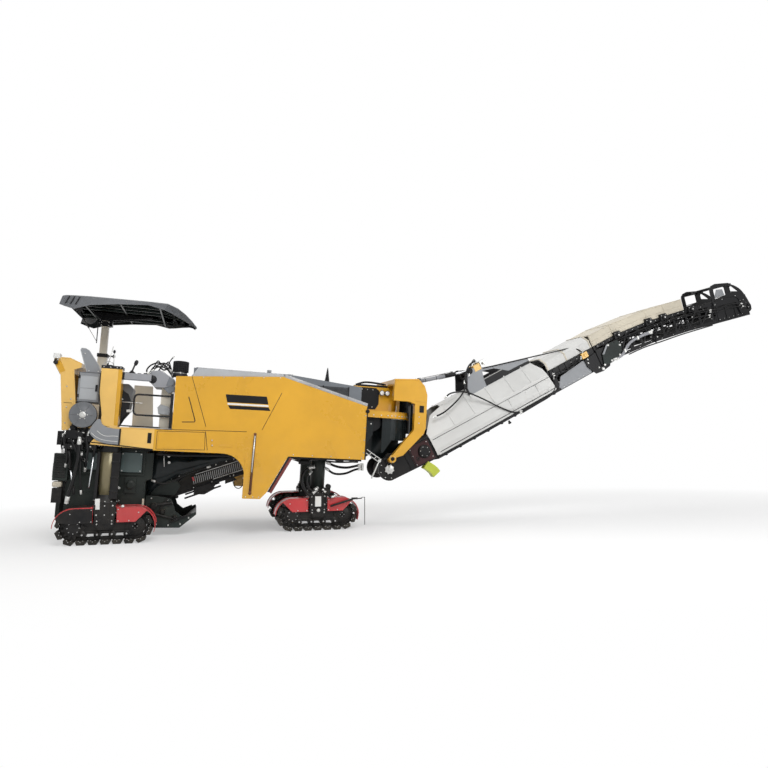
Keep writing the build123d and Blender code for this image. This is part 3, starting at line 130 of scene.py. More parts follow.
def buildWearGroup():
    # rubbed edges: where a rounded normal leaves the flat one, broken up by noise
    g, i, o = group(
        "rubbedEdges",
        (("Width", "NodeSocketFloat", 0.006), ("Amount", "NodeSocketFloat", 0.5),
            ("Scale", "NodeSocketFloat", 9.0)),
        (("Mask", "NodeSocketFloat"), ("Normal", "NodeSocketVector")),
    )
    bevel = node(g, "ShaderNodeBevel", samples=4)
    g.links.new(i.outputs["Width"], bevel.inputs["Radius"])
    geometry = node(g, "ShaderNodeNewGeometry")
    dot = node(g, "ShaderNodeVectorMath", operation="DOT_PRODUCT")
    g.links.new(bevel.outputs[0], dot.inputs[0])
    g.links.new(geometry.outputs["Normal"], dot.inputs[1])
    edge = ramp(g, dot.outputs["Value"], 0.995, 0.86)
    where = node(g, "ShaderNodeTexCoord")
    noise = node(g, "ShaderNodeTexNoise", {"Detail": 6.0, "Roughness": 0.65})
    g.links.new(where.outputs["Object"], noise.inputs["Vector"])
    g.links.new(i.outputs["Scale"], noise.inputs["Scale"])
    broken = ramp(g, noise.outputs["Fac"], 0.42, 0.62)
    both = maths(g, "MULTIPLY", edge, broken)
    g.links.new(maths(g, "MULTIPLY", both, i.outputs["Amount"], clamp=True), o.inputs["Mask"])
    g.links.new(bevel.outputs[0], o.inputs["Normal"])
    return g


def buildDustGroup():
    # road dust: thicker low down and on upward faces, in soft patches
    g, i, o = group(
        "roadDust",
        (
            ("Low", "NodeSocketFloat", 0.2),
            ("High", "NodeSocketFloat", 1.6),
            ("Amount", "NodeSocketFloat", 0.5),
            ("Upward", "NodeSocketFloat", 0.25),
            ("Scale", "NodeSocketFloat", 3.0),
        ),
        (("Mask", "NodeSocketFloat"),),
    )
    geometry = node(g, "ShaderNodeNewGeometry")
    place = node(g, "ShaderNodeSeparateXYZ")
    g.links.new(geometry.outputs["Position"], place.inputs[0])
    fall = node(g, "ShaderNodeMapRange", {"To Min": 1.0, "To Max": 0.0})
    g.links.new(place.outputs["Z"], fall.inputs["Value"])
    g.links.new(i.outputs["Low"], fall.inputs["From Min"])
    g.links.new(i.outputs["High"], fall.inputs["From Max"])
    facing = node(g, "ShaderNodeSeparateXYZ")
    g.links.new(geometry.outputs["Normal"], facing.inputs[0])
    upward = maths(g, "MULTIPLY", ramp(g, facing.outputs["Z"], 0.5, 0.95), i.outputs["Upward"])
    where = node(g, "ShaderNodeTexCoord")
    noise = node(g, "ShaderNodeTexNoise", {"Detail": 8.0, "Roughness": 0.7})
    g.links.new(where.outputs["Object"], noise.inputs["Vector"])
    g.links.new(i.outputs["Scale"], noise.inputs["Scale"])
    patches = ramp(g, noise.outputs["Fac"], 0.35, 0.7)
    low = maths(g, "MULTIPLY", fall.outputs["Result"], i.outputs["Amount"])
    total = maths(g, "ADD", low, upward)
    g.links.new(maths(g, "MULTIPLY", total, patches, clamp=True), o.inputs["Mask"])
    return g


def buildGrainGroup():
    # fine height for paint, cast or rubber skins, and a slow colour drift
    g, i, o = group(
        "skinGrain",
        (("Scale", "NodeSocketFloat", 120.0), ("Drift Scale", "NodeSocketFloat", 1.4)),
        (("Height", "NodeSocketFloat"), ("Drift", "NodeSocketFloat")),
    )
    where = node(g, "ShaderNodeTexCoord")
    fine = node(g, "ShaderNodeTexNoise", {"Detail": 4.0})
    slow = node(g, "ShaderNodeTexNoise", {"Detail": 5.0, "Roughness": 0.6})
    for n, label in ((fine, "Scale"), (slow, "Drift Scale")):
        g.links.new(where.outputs["Object"], n.inputs["Vector"])
        g.links.new(i.outputs[label], n.inputs["Scale"])
    g.links.new(fine.outputs["Fac"], o.inputs["Height"])
    g.links.new(slow.outputs["Fac"], o.inputs["Drift"])
    return g


wearGroup = buildWearGroup()
dustGroup = buildDustGroup()
grainGroup = buildGrainGroup()
dustTint = (0.33, 0.29, 0.23)


def place(tree, g, values):
    n = tree.nodes.new("ShaderNodeGroup")
    n.node_tree = g
    for key, value in values.items():
        n.inputs[key].default_value = value
    return n


def paint(name, base, rough=0.35, metal=0.0, coat=0.0, drift=0.08, wear=0.45, bare=(0.2, 0.19, 0.18),
    dust=0.5,
          dustHigh=1.6, upward=0.2, grain=140.0, bump=0.04, edge=0.006, wearScale=9.0, tint=dustTint,
              roughDrift=0.12, shine=0.5):
    m = bpy.data.materials.new(name)
    m.use_nodes = True
    t = m.node_tree
    shader = t.nodes["Principled BSDF"]
    shader.inputs["Coat Weight"].default_value = coat
    shader.inputs["Specular IOR Level"].default_value = shine
    shader.inputs["Coat Roughness"].default_value = 0.12
    shader.inputs["Metallic"].default_value = metal
    rub = place(t, wearGroup, {"Width": edge, "Amount": wear, "Scale": wearScale})
    dirt = place(t, dustGroup, {"Amount": dust, "High": dustHigh, "Upward": upward})
    skin = place(t, grainGroup, {"Scale": grain})
    dark = tuple(c * (1 - drift * 1.6) for c in base)
    light = tuple(min(1.0, c * (1 + drift)) for c in base)
    colour = mixColour(t, ramp(t, skin.outputs["Drift"], 0.35, 0.65), dark, light)
    colour = mixColour(t, rub.outputs["Mask"], colour, bare)
    colour = mixColour(t, dirt.outputs["Mask"], colour, tint)
    t.links.new(colour, shader.inputs["Base Color"])
    smoothest, roughest = max(0.04, rough - roughDrift / 2), rough + roughDrift / 2
    roughness = ramp(t, skin.outputs["Drift"], 0.3, 0.7, smoothest, roughest)
    roughness = maths(t, "ADD", roughness, maths(t, "MULTIPLY", dirt.outputs["Mask"], 0.45), clamp=True)
    t.links.new(roughness, shader.inputs["Roughness"])
    relief = node(t, "ShaderNodeBump", {"Strength": bump, "Distance": 0.002})
    t.links.new(skin.outputs["Height"], relief.inputs["Height"])
    t.links.new(rub.outputs["Normal"], relief.inputs["Normal"])
    t.links.new(relief.outputs["Normal"], shader.inputs["Normal"])
    return m


finish = {
    "yellow": paint("amberEnamel", (0.64, 0.33, 0.011), 0.3, coat=0.28, drift=0.05, dust=0.2,
        bare=(0.32, 0.16, 0.03), wear=0.3),
    "paleYellow": paint("paleEnamel", (0.77, 0.475, 0.12), 0.34, coat=0.3, drift=0.05, dust=0.15, wear=0.25,
        bare=(0.4, 0.24, 0.07)),
    "red": paint("fenderRed", (0.52, 0.018, 0.024), 0.3, coat=0.4, dust=0.16, dustHigh=0.9,
        bare=(0.16, 0.02, 0.015)),
    "maroonRed": paint("louvreRed", (0.14, 0.016, 0.014), 0.4, drift=0.15, wear=0.2, bare=(0.05, 0.01, 0.01),
        dust=0.1),
    "black": paint("chassisBlack", (0.008, 0.008, 0.009), 0.36, drift=0.25, wear=0.4,
        bare=(0.09, 0.085, 0.08), dust=0.08, shine=0.2),
    "housing": paint("housingGreenBlack", (0.017, 0.024, 0.022), 0.38, drift=0.3, wear=0.35,
        bare=(0.1, 0.095, 0.09), dust=0.08, shine=0.2),
    "maroon": paint("housingMaroon", (0.045, 0.016, 0.018), 0.4, drift=0.2, wear=0.3, dust=0.06,
        dustHigh=4.0, shine=0.2),
    "slate": paint("hoodSlate", (0.15, 0.165, 0.185), 0.22, coat=0.5, drift=0.06, dust=0.04),
    "grey": paint("lockerGrey", (0.24, 0.25, 0.265), 0.4, drift=0.06, dust=0.08),
    "lightGrey": paint("shoulderGrey", (0.4, 0.415, 0.43), 0.34, drift=0.05, dust=0.05),
    "darkGrey": paint("canopyGrey", (0.135, 0.142, 0.152), 0.4, drift=0.06, dust=0.05),
    "canopyUnder": paint("canopyUnderside", (0.008, 0.012, 0.013), 0.42, drift=0.2, wear=0.0, dust=0.0,
        shine=0.15),
    "white": paint("coverWhite", (0.55, 0.55, 0.535), 0.34, drift=0.04, wear=0.25, bare=(0.3, 0.3, 0.3),
        dust=0.05),
    "cream": paint("coverCream", (0.55, 0.5, 0.4), 0.42, drift=0.06, wear=0.3, bare=(0.3, 0.27, 0.2),
        dust=0.08),
    "beige": paint("postBeige", (0.78, 0.73, 0.62), 0.4, drift=0.06, wear=0.3, bare=(0.3, 0.28, 0.22),
        dust=0.05),
    "rubber": paint("beltRubber", (0.018, 0.018, 0.018), 0.7, drift=0.3, wear=0.0, dust=0.12, dustHigh=4.0,
        grain=60.0, bump=0.2, shine=0.2),
    "hose": paint("hoseRubber", (0.009, 0.009, 0.01), 0.34, drift=0.2, wear=0.0, dust=0.05, grain=160.0,
        bump=0.08, shine=0.2),
    "pad": paint("padRubber", (0.01, 0.0095, 0.0095), 0.55, drift=0.3, wear=0.35, bare=(0.07, 0.065, 0.06),
        dust=0.16, dustHigh=0.7, shine=0.2),
    "khaki": paint("columnKhaki", (0.2, 0.17, 0.095), 0.3, metal=0.35, drift=0.14, wear=0.2, dust=0.1),
    "chrome": paint("rodChrome", (0.72, 0.73, 0.75), 0.14, metal=1.0, drift=0.04, wear=0.0, dust=0.0,
        bump=0.01),
    "steel": paint("bareSteel", (0.45, 0.45, 0.45), 0.32, metal=0.85, drift=0.12, wear=0.3, dust=0.1),
    "zinc": paint("zincPlate", (0.62, 0.62, 0.6), 0.3, metal=0.6, drift=0.08, wear=0.2, dust=0.05),
    "rust": paint("rustySteel", (0.17, 0.055, 0.02), 0.6, metal=0.3, drift=0.35, wear=0.2, dust=0.1),
    "drum": paint("drumSteel", (0.1, 0.085, 0.075), 0.6, metal=0.5, drift=0.4, wear=0.7,
        bare=(0.4, 0.38, 0.36), dust=0.3, grain=50.0, bump=0.3),
    "carbide": paint("pickCarbide", (0.3, 0.29, 0.28), 0.35, metal=0.8, drift=0.2, wear=0.4,
        bare=(0.6, 0.58, 0.55), dust=0.1),
    "curtain": paint("curtainRubber", (0.01, 0.014, 0.015), 0.2, coat=0.12, drift=0.3, wear=0.0, dust=0.0,
        dustHigh=2.4, shine=0.2),
    "plastic": paint("blackPlastic", (0.016, 0.016, 0.018), 0.45, drift=0.15, wear=0.15, dust=0.06,
        grain=240.0, bump=0.1, shine=0.2),
    "greyPlastic": paint("greyPlastic", (0.27, 0.275, 0.295), 0.42, drift=0.06, wear=0.1, dust=0.04,
        grain=240.0, bump=0.08),
    "teal": paint("tankTealGrey", (0.07, 0.105, 0.105), 0.32, drift=0.12, wear=0.2, dust=0.08),
    "lime": paint("flapLime", (0.46, 0.52, 0.05), 0.4, drift=0.08, wear=0.1, dust=0.05),
    "blankPlate": paint("blankPlate", (0.74, 0.74, 0.72), 0.3, drift=0.03, wear=0.2, bare=(0.3, 0.3, 0.3),
        dust=0.05),
    "lens": paint("lampLens", (0.8, 0.8, 0.78), 0.08, coat=1.0, drift=0.03, wear=0.0, dust=0.0, bump=0.02),
    "amber": paint("markerLens", (0.62, 0.2, 0.02), 0.1, coat=1.0, drift=0.03, wear=0.0, dust=0.0),
    "block": paint("engineCast", (0.1, 0.1, 0.11), 0.6, metal=0.4, drift=0.2, dust=0.2, grain=70.0,
        bump=0.25),
}
nodeFinish = {
    "main_frame": "black", "side_panels": "yellow", "engine_hood": "slate", "hood_lid": "slate",
        "engine": "block",
    "front_mast": "yellow", "transfer_curtain": "curtain", "primary_conveyor": "black",
        "primary_belt": "rubber",
    "drum_housing": "housing", "scraper_door": "housing", "edge_plate": "housing", "milling_drum": "drum",
    "platform": "paleYellow", "rear_cabinet": "paleYellow", "corner_box": "paleYellow",
        "locker_and_reel": "grey",
    "locker_door": "grey", "stand_fittings": "plastic", "canopy_post": "beige", "canopy": "darkGrey",
    "grilles_and_intakes": "plastic", "slew_yoke": "yellow", "lift_barrels": "black", "lift_rods": "chrome",
    "fold_barrels": "black", "fold_rods": "chrome", "conveyor_inner_frame": "black",
        "conveyor_inner_covers": "white",
    "conveyor_inner_belt": "rubber", "conveyor_outer_frame": "black", "conveyor_outer_cover": "cream",
    "conveyor_outer_belt": "rubber",
}
for name, obj in nodes.items():
    key = nodeFinish.get(name)
    if name.startswith("track_chain"):
        key = "pad"
    if name.startswith("leg_"):
        key = "black"
    if name.startswith("track_guard"):
        key = "red"
    obj.data.materials.clear()
    obj.data.materials.append(finish[key])
print("stage: finishes on the frame's nodes")

squares = {"X": (1, 2, 0), "Y": (0, 2, 1)}      # the axes of a flat outline, then the axis of its depth


def flowing(points, steps=6):
    # a smooth line through the points
    pts = [Vector(p) for p in points]
    if len(pts) < 3:
        return pts
    ends = [pts[0] * 2 - pts[1]] + pts + [pts[-1] * 2 - pts[-2]]
    line = []
    for k in range(1, len(ends) - 2):
        a, b, c, d = ends[k - 1:k + 3]
        for s in range(steps):
            t = s / steps
            bend = (2 * a - 5 * b + 4 * c - d) * t * t + (3 * b - a - 3 * c + d) * t ** 3
            line.append(0.5 * (2 * b + (c - a) * t + bend))
    return line + [pts[-1]]


def square(direction):
    # two directions across the given one
    d = Vector(direction).normalized()
    side = d.cross((0, 0, 1)) if abs(d.z) < 0.9 else d.cross((0, 1, 0))
    side.normalize()
    return side, d.cross(side).normalized()


def angleSteps(start, end, steps):
    # angles from start to end, given in degrees
    return [radians(start + (end - start) * k / steps) for k in range(steps + 1)]


def round360(count, first=0.0):
    # angles evenly round a circle
    return [first + 2 * pi * k / count for k in range(count)]


def arc(x, z, radius, angles):
    return [(x + radius * cos(a), z + radius * sin(a)) for a in angles]


def ringSpots(x, y, z, radius, angles):
    # spots on a circle that faces sideways
    return [(p, y, q) for p, q in arc(x, z, radius, angles)]


def upright(x, y, z, radius, angles):
    # spots on a circle that faces up
    return [(p, q, z) for p, q in arc(x, y, radius, angles)]


def turnedAt(spot, angle, axis="Y"):
    return Matrix.Translation(spot) @ Matrix.Rotation(angle, 4, axis)


def frameAlong(start, end):
    # the frame whose X runs from start to end, both (x, z), and the distance between them
    way = Vector((end[0] - start[0], 0, end[1] - start[1]))
    return turnedAt((start[0], 0, start[1]), -atan2(way.z, way.x)), way.length


class Piece:
    # one object: it rides a body, has one finish, and is drawn in the frame `at`
    def __init__(self, name, rides, look, at=None, edge=0):
        self.name, self.rides, self.look, self.edge = name, rides, look, edge
        self.at = body if at is None else at
        self.bm = bmesh.new()

    def skin(self, rings, smooth=False, joined=False):
        # joined runs the last ring back to the first, for a hollow form
        rows = [[self.bm.verts.new(p) for p in ring] for ring in rings]
        count = len(rows[0])
        for a, b in zip(rows, rows[1:] + rows[:1] if joined else rows[1:]):
            for k in range(count):
                face = self.bm.faces.new((a[k], a[(k + 1) % count], b[(k + 1) % count], b[k]))
                face.smooth = smooth
        if not joined:
            self.bm.faces.new(rows[0])
            self.bm.faces.new(rows[-1])

    def plate(self, points, a, b, along="Y", at=None):
        u, v, w = squares[along]
        rings = []
        for d in (a, b):
            ring = []
            for p in points:
                spot = Vector((0, 0, 0))
                spot[u], spot[v], spot[w] = p[0], p[1], d
                ring.append(at @ spot if at else spot)
            rings.append(ring)
        self.skin(rings)

    def box(self, x, y, z, at=None):
        self.plate(((x[0], z[0]), (x[1], z[0]), (x[1], z[1]), (x[0], z[1])), y[0], y[1], at=at)

    def turned(self, start, way, profile, sides=20, at=None, smooth=True, joined=False):
        # a turned form from start along way; the profile is (distance, radius)
        a, d = Vector(start), Vector(way).normalized()
        if at:
            a, d = at @ a, (at.to_3x3() @ d).normalized()
        u, v = square(d)
        rings = []
        for s, r in profile:
            rings.append([a + d * s + (u * cos(t) + v * sin(t)) * r for t in round360(sides)])
        self.skin(rings, smooth, joined)

    def rod(self, start, end, radius, sides=12, at=None):
        way = Vector(end) - Vector(start)
        self.turned(start, way, ((0, radius), (way.length, radius)), sides, at)

    def wire(self, points, radius, sides=12, closed=False):
        # straight rods from point to point
        line = [*points, points[0]] if closed else points
        for a, b in zip(line, line[1:]):
            self.rod(a, b, radius, sides)

    def tube(self, points, radius, sides=8, steps=6, at=None):
        line = flowing([at @ Vector(p) for p in points] if at else points, steps)
        rings = []
        u = None
        for k, p in enumerate(line):
            d = (line[min(k + 1, len(line) - 1)] - line[max(k - 1, 0)]).normalized()
            u = square(d)[0] if u is None else (u - d * u.dot(d)).normalized()
            v = d.cross(u)
            rings.append([p + (u * cos(t) + v * sin(t)) * radius for t in round360(sides)])
        self.skin(rings, True)

    def bolts(self, spots, facing, size=0.012, at=None):
        # hexagon heads on washers
        way = Vector(facing).normalized()
        for spot in spots:
            s = Vector(spot)
            self.turned(s, way, ((0, size * 1.15), (size * 0.22, size * 1.15)), 12, at)
            head = ((size * 0.2, size * 0.86), (size * 0.72, size * 0.86), (size * 0.85, size * 0.66))
            self.turned(s, way, head, 6, at, smooth=False)

    def twin(self):
        # the same again on the other side of the machine
        kept = self.bm.verts[:] + self.bm.edges[:] + self.bm.faces[:]
        made = bmesh.ops.duplicate(self.bm, geom=kept)["geom"]
        for v in made:
            if isinstance(v, bmesh.types.BMVert):
                v.co.y = -v.co.y

    def done(self, twin=False):
        if twin:
            self.twin()
        bmesh.ops.recalc_face_normals(self.bm, faces=self.bm.faces)
        bmesh.ops.transform(self.bm, matrix=self.at, verts=self.bm.verts)
        mesh = bpy.data.meshes.new(self.name)
        self.bm.to_mesh(mesh)
        self.bm.free()
        mesh.materials.append(finish[self.look])
        obj = bpy.data.objects.new(self.name, mesh)
        bpy.context.scene.collection.objects.link(obj)
        if self.edge:
            soft = obj.modifiers.new("softEdges", "BEVEL")
            soft.width = self.edge
            soft.segments = 2
            soft.limit_method = "ANGLE"
            soft.angle_limit = radians(50)
            soft.use_clamp_overlap = True
        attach(obj, self.rides)
        return obj


def onChassis(name, look, edge=0):
    return Piece(name, "chassis", look, edge=edge)


def onInner(name, look, edge=0):
    return Piece(name, "conveyor_inner", look, conveyor, edge)


def onOuter(name, look, edge=0):
    return Piece(name, "conveyor_outer", look, conveyor, edge)


def finishAll(*pieces):
    for piece in pieces:
        piece.done()


def hoseRun(name, rides, runs, at=None, look="hose"):
    # hoses fixed at both ends, with crimped ferrules and hexagon nuts: each run is (points, radius)
    rubber = Piece(name, rides, look, at)
    metal = Piece(name + "Ends", rides, "zinc", at)
    for points, radius in runs:
        rubber.tube(points, radius)
        for a, b in ((points[0], points[1]), (points[-1], points[-2])):
            way = Vector(b) - Vector(a)
            grip = [(radius * s, radius * r) for s, r in ((0, 1.1), (0.4, 1.35), (3.2, 1.35), (3.5, 1.08))]
            nut = [(radius * s, radius * 1.3) for s in (0, 1.2)]
            metal.turned(a, way, grip, 12)
            metal.turned(Vector(a) - way.normalized() * nut[1][0], way, nut, 6, smooth=False)
    finishAll(rubber, metal)


panel = {"face": -1.22, "seamProud": 0.0015, "plateFall": 0.006}


def panelDetails():
    # seams, the catch and the hatch
    side = panel["face"]
    seams = onChassis("panelSeams", "plastic")
    proud = side - panel["seamProud"]
    lines = (
        ((1.028, 2.53), (1.291, 1.775)),
        ((1.291, 1.705), (1.335, 1.425)),
        ((2.399, 2.369), (2.13, 1.774)),
        ((0.58, 1.7), (1.9, 1.735)),
    )
    for a, b in lines:
        seams.tube(((a[0], proud, a[1]), (b[0], proud, b[1])), 0.0035, 6)
    latch = ((1.008, 2.21), (1.124, 1.86), (1.118, 1.838), (0.94, 1.828))
    seams.wire([(x, proud, z) for x, z in latch], 0.006, 6)
    hatch = ((0.6, 1.675), (1.286, 1.69), (1.296, 1.425), (0.6, 1.405))
    seams.wire([(x, proud, z) for x, z in hatch], 0.003, 6, closed=True)
    seams.done(twin=True)

    # blank fields: two slanted plates with a light line between
    dark = onChassis("blankSidePlates", "black", 0.002)
    for x0, x1, z, drop in ((1.545, 2.17, 2.288, 0.118), (1.592, 2.208, 2.122, 0.052)):
        fall = panel["plateFall"]
        points = ((x0, z), (x1, z + fall), (x1 + 0.03, z - drop + fall), (x0 + 0.03, z - drop))
        dark.plate(points, side - 0.004, side + 0.002)
    dark.done(twin=True)
    line = onChassis("sidePlateLine", "blankPlate", 0.001)
    line.plate(((1.578, 2.158), (2.2, 2.164), (2.207, 2.136), (1.585, 2.13)), side - 0.003, side + 0.002)
    line.done(twin=True)

    # folded lip round the panel, lifting eye boss, bolts, catches
    lip = onChassis("panelLips", "yellow", 0.002)
    lip.plate(((1.9, 1.38), (1.912, 1.38), (1.912, 0.72), (1.9, 0.72)), side - 0.003, side + 0.01)
    lip.plate(((0.62, 1.66), (1.25, 1.675), (1.262, 1.44), (0.62, 1.425)), side - 0.0035, side + 0.01)
    lip.plate(((1.5, 1.512), (1.7, 1.52), (1.702, 1.49), (1.503, 1.482)), side - 0.006, side + 0.01)
    for x, z in ((1.395, 1.575), (1.402, 1.5)):
        lip.turned((x, side + 0.005, z), (0, -1, 0), ((0, 0.02), (0.012, 0.02), (0.014, 0.016)), 18)
    lip.done(twin=True)
    fasteners = onChassis("panelFasteners", "zinc")
    spots = [(x, side - 0.001, 2.545 + 0.071 * (x - 1.1) - 0.03) for x in (1.2, 1.5, 1.8, 2.1, 2.36)]
    spots += [(x, side - 0.001, 1.415) for x in (2.64, 2.94, 3.24, 3.54, 3.74)]
    spots += [(x, side - 0.001, 0.745) for x in (1.95, 2.06, 2.15)]
    spots += [(3.77, side - 0.001, z) for z in (1.5, 1.7, 1.9, 2.1)]
    fasteners.bolts(spots, (0, -1, 0), 0.008)
    fasteners.bolts([(1.395, side - 0.008, 1.575), (1.402, side - 0.008, 1.5)], (0, -1, 0), 0.009)
    fasteners.done(twin=True)

    # the black front edge with its knob
    edge = onChassis("panelFrontEdge", "black", 0.002)
    edge.plate(((3.79, 2.245), (3.806, 2.24), (3.812, 1.385), (3.79, 1.385)), side - 0.006, side + 0.05)
    edge.turned((3.8, side - 0.004, 2.17), (0, -1, 0), ((0, 0.03), (0.008, 0.034), (0.014, 0.03),
        (0.018, 0.02)), 18)
    edge.done(twin=True)


def skirtSlot():
    # the long slot with its gauge rod, down the front of the round corner
    side = panel["face"]
    gauge = {"top": (2.03, 1.7), "foot": (2.012, 0.8), "half": 0.026, "rim": 0.006}
    rim = onChassis("skirtSlotFrame", "yellow", 0.002)
    dark = onChassis("skirtSlotBack", "rust")
    lightRod = onChassis("skirtSlotRod", "zinc")
    (x1, z1), (x0, z0) = gauge["top"], gauge["foot"]
    h = gauge["half"]
    for shift in (-h, h):
        ends = ((x0, z0, -1), (x1, z1, -1), (x1, z1, 1), (x0, z0, 1))
        rim.plate([(x + shift + s * gauge["rim"], z) for x, z, s in ends], side - 0.008, side + 0.005)
    ends = arc(x1, z1, h, angleSteps(0, 180, 8)) + arc(x0, z0, h, angleSteps(180, 360, 8))
    dark.plate(ends, side - 0.002, side + 0.01)
    lightRod.rod((x1, side - 0.008, z1 - 0.02), (x0 + 0.004, side - 0.008, 1.12), 0.012, 10)
    dark.rod((x0 + 0.004, side - 0.008, 1.12), (x0, side - 0.008, z0 + 0.03), 0.01, 10)
    dark.turned((x0, side - 0.001, z0 + 0.01), (0, -1, 0), ((0, 0.022), (0.014, 0.022), (0.02, 0.014)), 16)
    for piece in (rim, dark, lightRod):
        piece.done(twin=True)


def shoulderTrim():
    # the light grey band along the hood's edge, and the bright slotted rail down the slope
    band = onChassis("shoulderBand", "lightGrey", 0.003)
    band.plate(((0.99, 2.485), (1.11, 2.662), (2.4, 2.668), (2.43, 2.628), (2.42, 2.59), (1.0, 2.48)),
        -1.205, -1.14)
    band.plate(((1.11, 2.655), (2.4, 2.662), (2.4, 2.67), (1.11, 2.668)), -1.205, -0.8)
    for x in (1.35, 1.62, 1.89, 2.16):
        band.box((x, x + 0.012), (-1.2, -0.82), (2.66, 2.674))
    band.done(twin=True)
    rail = onChassis("slopeRail", "steel", 0.002)
    turn, length = frameAlong((2.43, 2.628), (3.79, 2.262))
    rail.box((0, length), (-1.224, -1.205), (-0.012, 0.034), at=turn)
    rail.box((0, length), (-1.224, -1.12), (0.03, 0.036), at=turn)
    for k in range(9):
        x = 0.07 + k * (length - 0.14) / 9
        rail.box((x + 0.02, x + 0.11), (-1.228, -1.222), (0.004, 0.018), at=turn)
    rail.done(twin=True)
    bolts = onChassis("slopeRailBolts", "zinc")
    bolts.bolts([turn @ Vector((0.07 + k * (length - 0.14) / 9, -1.224, 0.012)) for k in range(10)],
        (0, -1, 0), 0.007)
    bolts.done(twin=True)
    lug = onChassis("hoodLug", "grey", 0.002)
    lug.box((2.16, 2.22), (-1.15, -1.05), (2.665, 2.72))
    lug.turned((2.19, -1.16, 2.7), (0, 1, 0), ((0, 0.022), (0.12, 0.022)), 16)
    lug.done()


def louvreStrip():
    # the dark red louvred strip behind the skirt's sloping front edge
    louvres = {"foot": (2.292, 0.83), "head": (2.578, 1.372), "count": 30, "tilt": 35}
    turn, length = frameAlong(louvres["foot"], louvres["head"])
    strip = onChassis("skirtLouvres", "maroonRed", 0.001)
    for y0 in (-1.222, -1.165):
        strip.box((0, length), (y0, y0 + 0.006), (-0.052, -0.012), at=turn)
    for k in range(louvres["count"]):
        x = (k + 0.5) * length / louvres["count"]
        lean = turn @ turnedAt((x, 0, -0.034), radians(louvres["tilt"]))
        strip.box((-0.0015, 0.0015), (-1.22, -1.16), (-0.022, 0.022), at=lean)
    strip.done(twin=True)


panelDetails()
skirtSlot()
shoulderTrim()
louvreStrip()
print("stage: side panels")

hoodForm = {"slope": (2.65, 2.7, 3.79, 2.59), "half": 0.78, "treads": 7, "bars": 14, "fins": 11}


def hoodDetails():
    # treads on the slope, side grilles, the lid's ribs and handles, the exhaust and the finned cone
    trim = onChassis("hoodTrim", "slate", 0.004)
    x0, z0, x1, z1 = hoodForm["slope"]
    fall = (z1 - z0) / (x1 - x0)
    for k in range(hoodForm["treads"]):
        x = 2.78 + k * 0.13
        z = z0 + fall * (x - x0)
        low = z + fall * 0.07
        trim.plate(((x, z - 0.004), (x + 0.07, low - 0.004), (x + 0.07, low + 0.012), (x + 0.01, z + 0.016)),
            -0.45, 0.45)
    trim.done()
    mesh = onChassis("hoodSideGrille", "plastic", 0.001)
    for side in (-1, 1):
        y = side * (hoodForm["half"] + 0.001)
        for k in range(hoodForm["bars"]):
            z = 2.32 + k * 0.018
            mesh.box((2.7, 3.55), (y, y + side * 0.012), (z, z + 0.007))
        for x in (2.68, 3.12, 3.555):
            mesh.box((x, x + 0.016), (y, y + side * 0.016), (2.3, 2.575))
    mesh.done()
    lid = Piece("hoodLidRibs", "lid", "slate", edge=0.004)
    for y in (-0.52, -0.26, 0.0, 0.26, 0.52):
        lid.box((1.12, 2.5), (y - 0.03, y + 0.03), (2.697, 2.709))
    lid.box((1.08, 2.54), (-0.772, -0.748), (2.697, 2.712))
    lid.box((1.08, 2.54), (0.748, 0.772), (2.697, 2.712))
    lid.done()
    handles = Piece("hoodLidHandles", "lid", "plastic", edge=0.001)
    for x in (1.35, 2.2):
        for side in (-1, 1):
            y = side * 0.782
            proud = y + side * 0.03
            handles.tube(((x, y, 2.655), (x, proud, 2.66), (x + 0.12, proud, 2.66), (x + 0.12, y, 2.655)),
                0.007)
    handles.done()
    pipe = onChassis("exhaustStack", "steel")
    pipe.turned((2.72, 0.35, 2.66), (0, 0, 1), ((0, 0.06), (0.05, 0.06), (0.055, 0.05), (0.16, 0.05),
        (0.162, 0.044)), 24)
    pipe.done()
    cone = Piece("finnedCone", "chassis", "plastic", body @ Matrix.Translation((3.2, -0.7, 2.65)))
    profile = [(0.0, 0.05)]
    for k in range(hoodForm["fins"]):
        s, r = k * 0.02, 0.046 - 0.0032 * k
        profile += [(s + 0.008, r), (s + 0.016, r), (s + 0.018, r * 0.72), (s + 0.026, r * 0.72)]
    cone.turned((0, 0, -0.02), (0, 0, 1), profile + [(0.24, 0.006)], 20, smooth=False)
    cone.done()


hoodDetails()
print("stage: hood")

coverForm = {
    "joints": (2.62, 3.25), "clips": (0.96, 1.86, 2.75, 3.45), "ribs": (1.45, 1.9, 2.35, 2.8, 3.2),
    "lowBolts": (1.0, 1.3, 1.6, 1.9, 2.2, 2.5, 2.8, 3.1, 3.4, 3.56), "highBolts": (1.05, 1.7, 2.35, 3.0, 3.5),
}


